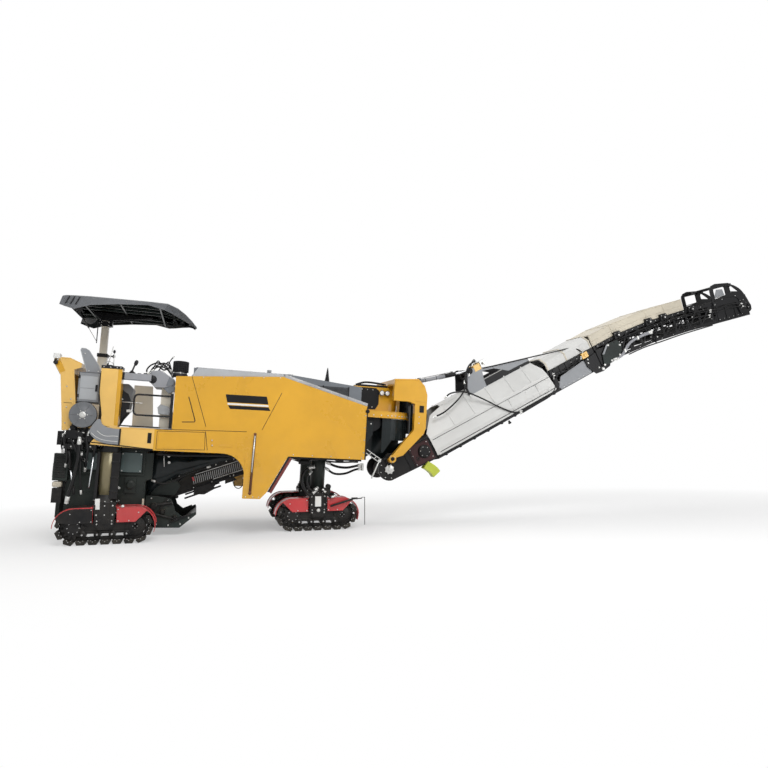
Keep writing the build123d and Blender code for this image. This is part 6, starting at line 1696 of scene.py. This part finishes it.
def canopySkin():
    # one folded shell with deep tails, a dark ribbed lining, slats on the tails
    shell = Piece("canopyShell", "roof", "darkGrey", edge=0.004)
    lining = Piece("canopyLining", "roof", "canopyUnder")
    rings, under = [], []
    for (x, w, top), (hx, hw, low) in zip(canopyShape["rim"], canopyShape["hem"]):
        roof = top - 0.03
        inner = max(hw - 0.05, 0.008)
        fold = hw - 0.014 if hw > 0.03 else hw * 0.7
        half = (
            (x, w * 0.965, top), (x, w, top - 0.012), (hx, hw, low), (hx - 0.002, fold, low + 0.002),
                (x - 0.012, inner, roof),
        )
        ring = [(x, 0, top + canopyShape["crown"]), *half, (x - 0.012, 0, roof + 0.006)]
        ring += [(px, -py, pz) for px, py, pz in half[::-1]]
        rings.append(ring[-2:] + ring[:-2])
        edge = inner - 0.004
        under.append([(x - 0.02, y, roof - z) for y, z in ((-edge, 0.003), (edge, 0.003), (edge, 0.01),
            (-edge, 0.01))])
    shell.skin(rings)
    lining.skin(under)
    sides = []
    for (x, w, top), (hx, hw, low) in zip(canopyShape["rim"][4:], canopyShape["hem"][4:]):
        foot, head = low + 0.004, top - 0.036
        sides.append([(hx, 0.016 - hw, foot), (x - 0.01, 0.052 - w, head), (x - 0.01, 0.056 - w, head),
            (hx, 0.02 - hw, foot)])
    lining.skin(sides)
    lining.twin()
    ribs = Piece("canopyRibs", "roof", "housing", edge=0.002)
    for y in canopyShape["ribs"]:
        ribs.box((-0.84, 0.46), (y - 0.012, y + 0.012), (3.565, 3.6))
        ribs.rod((0.46, y, 3.585), (0.46 + 0.42 * (1 - abs(y) * 0.75), y * 0.8, 3.525), 0.009, 6)
    for x in canopyShape["crossRibs"]:
        ribs.box((x - 0.012, x + 0.012), (-0.94, 0.94), (3.562, 3.594))
    slats = Piece("canopySlats", "roof", "plastic")
    for k in range(3):
        x = -0.81 + 0.072 * k
        slats.plate(((x, 3.6), (x + 0.014, 3.6), (x - 0.036, 3.485), (x - 0.052, 3.485)), -1.0
            + 0.006 * (2 - k), -0.985 + 0.004 * (2 - k))
    slats.twin()
    finishAll(lining, ribs, slats)
    made = shell.done()
    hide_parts("canopy")


def canopyMast():
    # inner post, its clamp, the head frame under the roof, the gas strut with its flat bar
    post = Piece("canopyInnerPost", "roof", "beige", edge=0.004)
    post.box((-0.49, -0.38), (0.145, 0.255), (2.25, 3.56))
    post.done()
    dark = Piece("canopyHeadFrame", "roof", "black", edge=0.003)
    for y in (0.12, 0.264):
        cheek = ((-0.62, 3.585), (-0.62, 3.545), (-0.5, 3.45), (-0.36, 3.45), (0.3, 3.555), (0.3, 3.585))
        dark.plate(cheek, y, y + 0.016)
    dark.box((-0.515, -0.355), (0.12, 0.28), (3.355, 3.44))
    dark.box((-0.355, -0.325), (0.14, 0.26), (3.36, 3.55))
    dark.rod((-0.33, 0.13, 3.4), (-0.33, 0.05, 3.385), 0.012, 8)
    dark.box((-0.545, -0.532), (0.095, 0.118), (3.06, 3.43))
    dark.box((-0.545, -0.5), (0.095, 0.13), (3.4, 3.43))
    dark.turned((-0.67, -0.925, 3.4), (0, 1, 0), ((0, 0.016), (0.05, 0.016)), 10)
    dark.box((-0.72, -0.62), (-0.96, -0.94), (3.4, 3.45))
    dark.done()
    strut = Piece("canopyStrut", "roof", "plastic")
    strut.rod((-0.67, -0.9, 3.395), (-0.6, -0.38, 3.235), 0.011, 10)
    strut.done()
    rod = Piece("canopyStrutRod", "roof", "chrome")
    rod.rod((-0.6, -0.38, 3.235), (-0.538, 0.09, 3.085), 0.005, 8)
    rod.done()
    bolts = Piece("canopyBolts", "roof", "zinc")
    bolts.bolts([(x, 0.12, z) for x in (-0.49, -0.38) for z in (3.375, 3.42)], (0, -1, 0), 0.01)
    bolts.bolts([(x, -0.99, 3.625) for x in (-0.5, -0.1, 0.3)], (0, -1, 0), 0.007)
    bolts.done()


canopySkin()
canopyMast()

post = {"x": (-0.508, -0.362), "y": (0.127, 0.273), "collar": (2.84, 2.9), "rim": 0.01}


def postDetails():
    # outer tube's collar, foot plate, clamp screw
    collar = onChassis("postCollar", "black", 0.003)
    (x0, x1), (y0, y1), rim = post["x"], post["y"], post["rim"]
    for y in (y0 - rim, y1):
        collar.box((x0 - rim, x1 + rim), (y, y + rim), post["collar"])
    for x in post["x"]:
        collar.box((x - rim / 2, x + rim / 2), post["y"], post["collar"])
    collar.rod((-0.36, 0.2, 2.87), (-0.28, 0.2, 2.87), 0.012, 8)
    collar.turned((-0.28, 0.2, 2.87), (1, 0, 0), ((0, 0.03), (0.02, 0.034), (0.035, 0.02)), 12)
    for a, b in ((-0.62, -0.52), (-0.35, -0.25)):
        collar.plate(((a, 1.7), (b, 1.7), (b if a < -0.5 else a, 1.86)), 0.19, 0.21)
    collar.box((-0.62, -0.25), (0.05, 0.35), (1.7, 1.712))
    collar.done()


cabinet = {"face": -1.114, "backSeams": (-0.55, 0.0, 0.55)}


def cabinetDetails():
    # seams, the hook's underside in darker yellow as painted shade, lamp, marker, hatch lines, handle, bolts
    y = cabinet["face"]
    # painted shade: the pale cabinet's hook is skinned underneath and on its side in the darker yellow
    hook = onChassis("cabinetHook", "yellow", 0.002)
    hook.plate(((-0.892, 2.572), (-0.805, 2.42), (-0.807, 2.418), (-0.8945, 2.57)), -1.113, 1.113)
    hook.plate(((-0.885, 2.6), (-0.8, 2.44), (-0.74, 2.475), (-0.8, 2.6), (-0.83, 2.635)), y, y + 0.003)
    hook.done(twin=True)
    top = onChassis("cabinetTopTrim", "paleYellow", 0.004)
    top.plate(((-0.8, 2.671), (-0.69, 2.671), (-0.53, 2.603), (-0.53, 2.59), (-0.69, 2.655), (-0.8, 2.655)),
        -1.116, 1.116)
    top.done()
    seams = onChassis("cabinetSeams", "plastic")
    seams.box((-0.72, -0.61), (y - 0.001, y + 0.002), (2.01, 2.016))
    for yy in cabinet["backSeams"]:
        line = ((-0.7225, 1.66), (-0.737, 1.82), (-0.7985, 2.4), (-0.797, 2.4), (-0.732, 1.82),
            (-0.716, 1.66))
        seams.skin([[(x, s, z) for x, z in line] for s in (yy - 0.003, yy + 0.003)])
    seams.done()
    lamp = onChassis("rearLamp", "blankPlate", 0.006)
    lamp.box((-0.9, -0.815), (-1.19, -1.04), (2.645, 2.715))
    lamp.box((-0.87, -0.84), (-1.13, -1.1), (2.62, 2.65))
    lamp.done(twin=True)
    glass = onChassis("rearLampGlass", "lens", 0.003)
    glass.box((-0.904, -0.898), (-1.18, -1.05), (2.655, 2.705))
    glass.done(twin=True)
    marker = onChassis("rearMarker", "plastic", 0.004)
    marker.turned((-0.868, -1.19, 2.583), (0, 1, 0), ((0, 0.018), (0.005, 0.03), (0.05, 0.032),
        (0.06, 0.02)), 16)
    marker.rod((-0.885, -1.15, 2.6), (-0.86, -1.12, 2.64), 0.008, 8)
    marker.box((-0.9, -0.885), (-1.125, -1.115), (2.58, 2.64))
    marker.done(twin=True)
    bolts = onChassis("cabinetBolts", "zinc")
    bolts.bolts([(-0.68, y, 1.72), (-0.68, y, 1.95), (-0.7, y, 2.25), (-0.63, y, 2.07)], (0, -1, 0), 0.009)
    bolts.done(twin=True)
    bar = onChassis("rearGrabBar", "black")
    bar.tube(((-0.735, -0.9, 1.9), (-0.752, -0.9, 1.92), (-0.755, -0.9, 2.0), (-0.758, -0.9, 2.2),
        (-0.762, -0.9, 2.28), (-0.765, -0.9, 2.3)), 0.008, 8)
    bar.done(twin=True)


locker = {"x": (-0.545, -0.262), "z": (2.04, 2.47)}


def lockerDetails():
    # jambs, the door's inner panel and latch, the fin's folded edge and bolts
    a, b = locker["x"]
    low, high = locker["z"]
    door = Piece("lockerDoorPanel", "locker_leaf", "lightGrey", edge=0.004)
    door.box((-0.525, -0.285), (-1.1215, -1.117), (2.065, 2.43))
    door.done()
    slate = Piece("lockerDoorTrim", "locker_leaf", "grey", edge=0.002)
    for z in (2.07, 2.24, 2.42):
        slate.box((-0.522, -0.288), (-1.1235, -1.121), (z, z + 0.006))
    slate.done()
    latch = Piece("lockerLatch", "locker_leaf", "plastic", edge=0.003)
    latch.box((-0.315, -0.285), (-1.13, -1.117), (2.2, 2.3))
    latch.turned((-0.3, -1.13, 2.25), (0, -1, 0), ((0, 0.012), (0.008, 0.01)), 14)
    for z in (2.1, 2.38):
        latch.turned((-0.541, -1.1123, z), (0, 0, 1), ((0, 0.0135), (0.05, 0.0135)), 12)
    latch.done()
    jambs = onChassis("lockerJambs", "darkGrey", 0.003)
    jambs.box((a - 0.012, a + 0.001), (-1.088, -0.63), (low - 0.01, high + 0.006))
    jambs.box((a - 0.012, b), (-1.095, -1.0), (high + 0.002, high + 0.012))
    jambs.box((b, b + 0.006), (-1.1, -0.7), (low - 0.01, 2.44))
    jambs.box((a, b), (-1.1, -0.63), (low - 0.012, low - 0.001))
    jambs.done()
    fin = onChassis("finEdge", "lightGrey", 0.002)
    line = [(-0.452, 2.47), (-0.565, 2.8), (-0.555, 2.826), (-0.5, 2.826), (-0.45, 2.8), (-0.297, 2.581),
        (-0.262, 2.47)]
    fin.wire([(x, -1.088, z) for x, z in line], 0.006, 8)
    fin.done()
    bolts = onChassis("finBolts", "zinc")
    bolts.bolts([(-0.43, -1.09, 2.5), (-0.3, -1.09, 2.5), (-0.5, -1.09, 2.75)], (0, -1, 0), 0.009)
    bolts.done()


reel = {"x": -0.438, "z": 1.85, "radius": 0.186, "spokes": 6, "wraps": 3, "hose": 0.0105}


def reelDetails():
    # flanges with spokes and a rim, hose wound between them, hub, loose end, pump block beside
    x, z, r = reel["x"], reel["z"], reel["radius"]
    face = onChassis("reelFlange", "darkGrey", 0.002)
    face.turned((x, -1.2065, z), (0, -1, 0), ((0, r), (0.002, r), (0.006, r - 0.006), (0.0045, r - 0.02),
        (0.003, 0.1), (0.012, 0.085), (0.012, 0.03)), 48)
    for a in round360(reel["spokes"]):
        spoke = ((0.08, -0.008), (r - 0.012, -0.005), (r - 0.012, 0.005), (0.08, 0.008))
        face.plate(spoke, -1.2165, -1.2065, at=turnedAt((x, 0, z), a))
    face.done()
    hub = onChassis("reelHub", "zinc", 0.001)
    hub.turned((x, -1.2185, z), (0, -1, 0), ((0, 0.045), (0.008, 0.045), (0.012, 0.03), (0.02, 0.026)), 20)
    hub.bolts(ringSpots(x, -1.2185, z, 0.062, round360(6)), (0, -1, 0), 0.008)
    hub.done()
    wound = onChassis("reelHose", "hose")
    for k in range(reel["wraps"]):
        turn = arc(x, z, 0.178, angleSteps(0, 360, 32))
        wound.tube([(p, -1.185 + 0.022 * (k + j / 32), q) for j, (p, q) in enumerate(turn)], reel["hose"], 8,
            1)
    wound.tube(((x + 0.1, -1.15, z - 0.15), (x + 0.05, -1.16, z - 0.2), (x - 0.02, -1.165, z - 0.27),
        (x - 0.03, -1.165, z - 0.36)), reel["hose"], 8)
    wound.done()
    drip = onChassis("reelPump", "black", 0.004)
    drip.box((x - 0.2, x - 0.05), (-1.19, -1.05), (1.5, 1.62))
    drip.turned((x - 0.12, -1.12, 1.62), (0, 0, 1), ((0, 0.05), (0.06, 0.05), (0.07, 0.03), (0.1, 0.028)), 18)
    drip.turned((x - 0.02, -1.19, 1.56), (0, 1, 0), ((0, 0.045), (0.1, 0.045), (0.11, 0.03)), 18)
    drip.box((x + 0.06, x + 0.16), (-1.18, -1.06), (1.46, 1.58))
    drip.done()


cornerBox = {"x": (-0.243, 0.042), "top": 2.592}


def cornerDetails():
    # dark rim with small bolts, a darker yellow strip painted as shade along the right edge, lever, curved
    # sole with two bright stripes
    a, b = cornerBox["x"]
    top = cornerBox["top"]
    rim = onChassis("cornerRim", "plastic", 0.003)
    rim.box((a - 0.002, b + 0.002), (-1.222, -1.212), (2.548, 2.588))
    rim.box((b - 0.006, b + 0.004), (-1.218, -0.955), (2.548, 2.588))
    rim.box((a + 0.004, b - 0.002), (-1.212, -0.96), (2.582, 2.592))
    rim.tube(((-0.245, -1.217, 2.5), (-0.246, -1.217, 2.4), (-0.243, -1.217, 2.2), (-0.222, -1.217, 2.05),
        (-0.2, -1.217, 1.93), (-0.189, -1.217, 1.85)), 0.006, 6)
    rim.turned((-0.14, -1.09, top), (0, 0, 1), ((0, 0.05), (0.012, 0.045), (0.02, 0.02)), 20)
    rim.done()
    # painted shade: the pale box's face by its right edge and its return are skinned in the darker yellow
    strip = onChassis("cornerReturn", "yellow", 0.002)
    strip.box((b - 0.052, b + 0.001), (-1.2185, -1.214), (1.72, 2.546))
    strip.box((b - 0.001, b + 0.002), (-1.216, -0.958), (1.72, 2.546))
    strip.done()
    bolts = onChassis("cornerBolts", "zinc")
    bolts.bolts([(x, -1.222, 2.568) for x in (-0.21, -0.12, -0.03, 0.02)], (0, -1, 0), 0.008)
    bolts.bolts([(x, -1.08, top) for x in (-0.2, -0.02)], (0, 0, 1), 0.009)
    bolts.done()
    lever = onChassis("cornerLever", "zinc")
    lever.rod((-0.166, -1.19, 2.59), (-0.112, -1.19, 2.878), 0.0065, 8)
    lever.rod((-0.088, -1.17, 2.59), (-0.094, -1.17, 2.8), 0.005, 8)
    lever.tube(((-0.235, -1.13, 2.595), (-0.21, -1.13, 2.64), (-0.15, -1.13, 2.66), (-0.1, -1.13, 2.63),
        (-0.09, -1.13, 2.595)), 0.006, 8)
    lever.done()
    knob = onChassis("leverKnobs", "plastic")
    knob.turned((-0.094, -1.17, 2.78), (0, 0, 1), ((0, 0.008), (0.012, 0.018), (0.035, 0.018),
        (0.05, 0.008)), 14)
    knob.turned((-0.17, -1.19, 2.588), (0.2, 0, 1), ((0, 0.016), (0.02, 0.012), (0.04, 0.008)), 12)
    knob.done()
    sole = onChassis("cornerSole", "grey", 0.005)
    under = [(-0.335, 1.62), (-0.3, 1.56), (-0.235, 1.5), (-0.15, 1.462), (-0.05, 1.446), (0.075, 1.445)]
    upper = [(0.075, 1.672), (-0.01, 1.676), (-0.1, 1.69), (-0.165, 1.73), (-0.19, 1.8), (-0.235, 1.8),
        (-0.3, 1.7)]
    sole.plate(under + upper, -1.236, -1.2215)
    sole.done()
    stripes = onChassis("soleStripes", "blankPlate")
    for shift in (0.0, 0.075):
        # each point: x, z, and how far the upper stripe moves in x and in z
        line = ((-0.3, 1.6, 1, 0.4), (-0.235, 1.545, 1, 0.5), (-0.15, 1.508, 0.8, 0.7),
            (-0.04, 1.492, 0.5, 1), (0.065, 1.49, 0, 1))
        stripes.tube([(x + shift * dx, -1.237, z + shift * dz) for x, z, dx, dz in line], 0.0045, 6)
    stripes.done()
    cap = onChassis("soleEnd", "plastic", 0.002)
    cap.box((0.075, 0.098), (-1.234, -1.2215), (1.44, 1.68))
    cap.done()


console = {"y": (-1.064, -0.516), "dials": 5, "switches": 4}


def consoleDetails():
    # pale console shell, dark knob end, switches, joystick, dash cover, hoses, pale pedestal
    y0, y1 = console["y"]
    shell = onChassis("consoleShell", "greyPlastic", 0.008)
    shell.plate(((0.427, 2.4), (0.427, 2.563), (0.561, 2.594), (0.774, 2.473), (0.774, 2.377),
        (0.641, 2.328), (0.498, 2.328)), y0, y1)
    shell.box((0.045, 0.45), (-1.172, -1.066), (2.412, 2.508))
    shell.done()
    side = onChassis("consoleSide", "slate", 0.004)
    side.plate(((0.66, 2.36), (0.7, 2.5), (0.771, 2.466), (0.771, 2.38)), y0 - 0.004, y0 + 0.01)
    side.box((0.05, 0.44), (-1.175, -1.168), (2.4, 2.416))
    side.plate(((0.62, 2.33), (0.78, 2.385), (0.8, 2.28), (0.7, 2.25)), -1.05, -0.6)
    side.done()
    dark = onChassis("consoleDark", "plastic", 0.003)
    dark.turned((0.462, y0 + 0.01, 2.445), (0, -1, 0), ((0, 0.062), (0.02, 0.06), (0.032, 0.045),
        (0.036, 0.02)), 24)
    dark.plate(((0.445, 2.566), (0.555, 2.598), (0.74, 2.494), (0.735, 2.486), (0.555, 2.59), (0.445, 2.56)),
        -1.03, -0.55)
    for k in range(console["switches"]):
        x = 0.08 + 0.085 * k
        dark.box((x, x + 0.05), (-1.16, -1.09), (2.508, 2.516 + 0.008 * (k % 2)))
    dark.box((0.045, 0.075), (-1.176, -1.06), (2.405, 2.515))
    dark.turned((0.165, -1.1, 2.508), (0, 0, 1), ((0, 0.045), (0.012, 0.042), (0.03, 0.026), (0.045, 0.018)),
        18)
    dark.rod((0.165, -1.1, 2.54), (0.205, -1.1, 2.66), 0.012, 10)
    dark.turned((0.2, -1.1, 2.63), (0.33, 0, 1), ((0, 0.014), (0.02, 0.026), (0.06, 0.028), (0.085, 0.016)),
        14)
    dark.done()
    for k in range(console["dials"]):
        lit = Piece("consoleDial%d" % k, "chassis", "lens")
        step = 0.025 * (k % 2)
        spot = (0.6 + step, -0.95 + 0.09 * k, 2.592 - 0.57 * (0.035 + step))
        lit.turned(spot, (0.49, 0, 0.87), ((-0.01, 0.02), (0.012, 0.02), (0.015, 0.012)), 16)
        lit.done()
    pale = onChassis("standPanels", "beige", 0.004)
    pale.plate(((0.596, 1.703), (0.596, 2.335), (0.742, 2.395), (0.794, 1.703)), -0.904, -0.636)
    pale.plate(((0.045, 1.71), (0.03, 2.46), (0.345, 2.46), (0.4, 1.71)), 0.94, 0.96)
    pale.done()
    tray = onChassis("standTray", "lightGrey", 0.004)
    tray.plate(((0.56, 2.03), (0.6, 2.08), (0.72, 2.05), (0.8, 1.95), (0.8, 1.92), (0.58, 1.93)), -1.0, -0.7)
    tray.box((0.2, 0.8), (-1.19, -0.45), (1.7005, 1.716))
    tray.done()
    mat = onChassis("standMat", "rubber", 0.002)
    mat.box((0.06, 0.62), (-1.19, 1.05), (1.716, 1.728))
    for k in range(14):
        mat.box((0.08 + 0.038 * k, 0.1 + 0.038 * k), (-1.18, 1.04), (1.728, 1.734))
    mat.done()
    hoseRun("consoleHoses", "chassis", (
        (((0.37, -0.95, 2.52), (0.36, -0.93, 2.6), (0.42, -0.9, 2.68), (0.52, -0.86, 2.72),
            (0.62, -0.84, 2.68), (0.7, -0.82, 2.58)), 0.012),
        (((0.4, -0.9, 2.54), (0.44, -0.86, 2.64), (0.52, -0.82, 2.7), (0.6, -0.8, 2.73), (0.69, -0.8, 2.68),
            (0.73, -0.82, 2.56)), 0.01),
        (((0.44, -0.98, 2.58), (0.5, -0.96, 2.64), (0.58, -0.92, 2.66), (0.66, -0.88, 2.62),
            (0.74, -0.84, 2.52)), 0.011),
        (((0.38, -0.85, 2.55), (0.43, -0.82, 2.61), (0.5, -0.78, 2.76), (0.58, -0.8, 2.66),
            (0.66, -0.84, 2.75), (0.72, -0.86, 2.6)), 0.009),
        (((0.46, -0.8, 2.58), (0.52, -0.84, 2.6), (0.6, -0.88, 2.71), (0.66, -0.9, 2.7), (0.7, -0.9, 2.6)),
            0.009),
        (((0.42, -0.76, 2.57), (0.5, -0.8, 2.67), (0.6, -0.82, 2.62), (0.68, -0.8, 2.66),
            (0.76, -0.8, 2.54)), 0.012),
        (((0.62, -0.84, 2.64), (0.66, -0.83, 2.72), (0.7, -0.82, 2.8), (0.73, -0.82, 2.84)), 0.008),
    ))


airCap = {"x": 0.85, "y": -0.88, "ribs": 24}


def standSmall():
    # the pad support's grey head, the air cap's ribs and saddle, hatch lines and vent slats
    pad = onChassis("padHead", "darkGrey", 0.008)
    pad.plate(((-0.02, 2.3), (-0.02, 2.356), (0.122, 2.356), (0.192, 2.284), (0.172, 2.1), (0.13, 2.2)),
        -0.945, -0.555)
    pad.done()
    clips = onChassis("padClips", "zinc", 0.001)
    clips.bolts([(0.05, -0.942, 2.12), (0.03, -0.942, 1.95), (0.0, -0.942, 2.25)], (0, -1, 0), 0.01)
    clips.rod((0.04, -0.95, 2.08), (0.34, -0.95, 2.08), 0.006, 8)
    clips.box((0.12, 0.2), (-0.955, -0.945), (1.93, 1.97))
    clips.done()
    ribs = onChassis("airCapRibs", "plastic", 0.002)
    x, y = airCap["x"], airCap["y"]
    for a in round360(airCap["ribs"]):
        ribs.box((0.108, 0.119), (-0.004, 0.004), (2.6, 2.755), at=turnedAt((x, y, 0), a, "Z"))
    ribs.turned((x, y, 2.756), (0, 0, 1), ((0, 0.119), (0.008, 0.115), (0.016, 0.08), (0.02, 0.03)), 32)
    ribs.turned((x, y, 2.53), (0, 0, 1), ((0, 0.115), (0.03, 0.11), (0.05, 0.098)), 32)
    ribs.done()
    strap = onChassis("airCapStrap", "zinc", 0.001)
    strap.turned((x, y, 2.575), (0, 0, 1), ((0, 0.099), (0.014, 0.099)), 32)
    strap.box((x - 0.008, x + 0.008), (-0.99, -0.972), (2.57, 2.595))
    strap.done()
    vent = onChassis("plinthVent", "plastic", 0.001)
    for k in range(9):
        z = 1.495 + 0.0165 * k
        slat = ((0.472, 0, 0), (0.523, 0, 0), (0.523, 0.004, 0.004), (0.472, 0.004, 0.004))
        vent.skin([[(x, s - out, z + up) for x, out, up in slat] for s in (-1.216, -1.208)])
    vent.box((0.468, 0.527), (-1.2085, -1.205), (1.483, 1.642))
    vent.done(twin=True)
    lip = onChassis("plinthLip", "paleYellow", 0.002)
    lip.box((0.1, 0.56), (-1.226, -1.206), (1.69, 1.704))
    lip.box((0.1, 0.455), (-1.2225, -1.2195), (1.47, 1.68))
    lip.done(twin=True)
    edge = onChassis("plinthEdge", "black", 0.002)
    edge.plate(((-0.3, 1.47), (0.56, 1.403), (0.56, 1.39), (-0.3, 1.455)), -1.226, -1.205)
    edge.done(twin=True)


postDetails()
cabinetDetails()
lockerDetails()
reelDetails()
cornerDetails()
consoleDetails()
standSmall()
print("stage: operator's stand")


def stageMaterial(name, tone, glow):
    # the backdrop looks white where nothing shades it, and keeps the machine's shadow
    m = bpy.data.materials.new(name)
    m.use_nodes = True
    t = m.node_tree
    shader = t.nodes["Principled BSDF"]
    shader.inputs["Base Color"].default_value = (*tone, 1)
    shader.inputs["Roughness"].default_value = 0.9
    shader.inputs["Specular IOR Level"].default_value = 0.1
    output = t.nodes["Material Output"]
    white = node(t, "ShaderNodeEmission", {"Strength": 1.0})
    spot = node(t, "ShaderNodeNewGeometry")
    apart = node(t, "ShaderNodeVectorMath", operation="MULTIPLY")
    apart.inputs[1].default_value = (0.1, 0.2, 1.0)
    t.links.new(spot.outputs["Position"], apart.inputs[0])
    reach = node(t, "ShaderNodeVectorMath", operation="LENGTH")
    t.links.new(apart.outputs[0], reach.inputs[0])
    far = ramp(t, reach.outputs["Value"], 0.5, 1.25, glow, 1.0)
    path = node(t, "ShaderNodeLightPath")
    seen = maths(t, "MAXIMUM", path.outputs["Is Camera Ray"], path.outputs["Is Glossy Ray"])
    seen = maths(t, "MAXIMUM", seen, path.outputs["Is Transmission Ray"])
    mix = node(t, "ShaderNodeMixShader")
    t.links.new(maths(t, "MULTIPLY", far, seen), mix.inputs[0])
    t.links.new(shader.outputs[0], mix.inputs[1])
    t.links.new(white.outputs[0], mix.inputs[2])
    t.links.new(mix.outputs[0], output.inputs["Surface"])
    return m


def studio():
    # the sweep, a plain sky and three softboxes
    settings = {"floor": 60.0, "front": 30.0, "wall": 24.0, "height": 40.0, "bend": 5.0, "glow": 0.35}
    bm = bmesh.new()
    r = settings["bend"]
    profile = [(-settings["front"], 0.0)] + arc(settings["wall"] - r, r, r, angleSteps(-90, 0, 12))
    profile.append((settings["wall"], settings["height"]))
    rows = []
    for y, z in profile:
        rows.append((bm.verts.new((-settings["floor"], y, z)), bm.verts.new((settings["floor"], y, z))))
    for a, b in zip(rows, rows[1:]):
        bm.faces.new((a[0], a[1], b[1], b[0]))
    mesh = bpy.data.meshes.new("studioSweep")
    bm.to_mesh(mesh)
    bm.free()
    for p in mesh.polygons:
        p.use_smooth = True
    sweep = bpy.data.objects.new("studioSweep", mesh)
    bpy.context.scene.collection.objects.link(sweep)
    mesh.materials.append(stageMaterial("sweepWhite", (0.93, 0.93, 0.93), settings["glow"]))
    world = bpy.data.worlds.new("studioSky")
    world.use_nodes = True
    t = world.node_tree
    back = t.nodes["Background"]
    path = node(t, "ShaderNodeLightPath")
    seen = maths(t, "MAXIMUM", path.outputs["Is Camera Ray"], path.outputs["Is Glossy Ray"])
    seen = maths(t, "MAXIMUM", seen, path.outputs["Is Transmission Ray"])
    t.links.new(ramp(t, seen, 0.0, 1.0, 0.44, 1.0), back.inputs["Strength"])
    back.inputs["Color"].default_value = (1, 1, 1, 1)
    bpy.context.scene.world = world
    for label, spot, size, power, aim in (
        ("keySoftbox", (-3.0, -9.5, 9.5), 6.0, 730.0, (-1.5, 0, 1.5)),
        ("fillSoftbox", (6.5, -10.0, 5.0), 6.0, 330.0, (1.0, 0, 2.0)),
        ("topSoftbox", (0.0, 3.0, 11.0), 9.0, 480.0, (0, 0, 1.5)),
    ):
        light = bpy.data.lights.new(label, "AREA")
        light.size = size
        light.energy = power
        lamp = bpy.data.objects.new(label, light)
        bpy.context.scene.collection.objects.link(lamp)
        lamp.location = spot
        lamp.rotation_euler = (Vector(aim) - Vector(spot)).to_track_quat("-Z", "Y").to_euler()


def addCamera():
    settings = {"place": (1.26, -11.444, 1.634), "turn": 16.0, "rise": 4.153, "lens": 650.0 / 768.0 * 36.0}
    data = bpy.data.cameras.new("viewCamera")
    data.lens = settings["lens"]
    data.sensor_width = 36.0
    data.clip_end = 200.0
    camera = bpy.data.objects.new("viewCamera", data)
    bpy.context.scene.collection.objects.link(camera)
    camera.location = machine @ Vector(settings["place"])
    a, p = radians(settings["turn"]), radians(settings["rise"])
    look = Vector((sin(a) * cos(p), cos(a) * cos(p), sin(p)))
    camera.rotation_euler = look.to_track_quat("-Z", "Y").to_euler()
    bpy.context.scene.camera = camera


studio()
addCamera()
bpy.context.scene.view_settings.view_transform = "Standard"
print("stage: studio and camera")
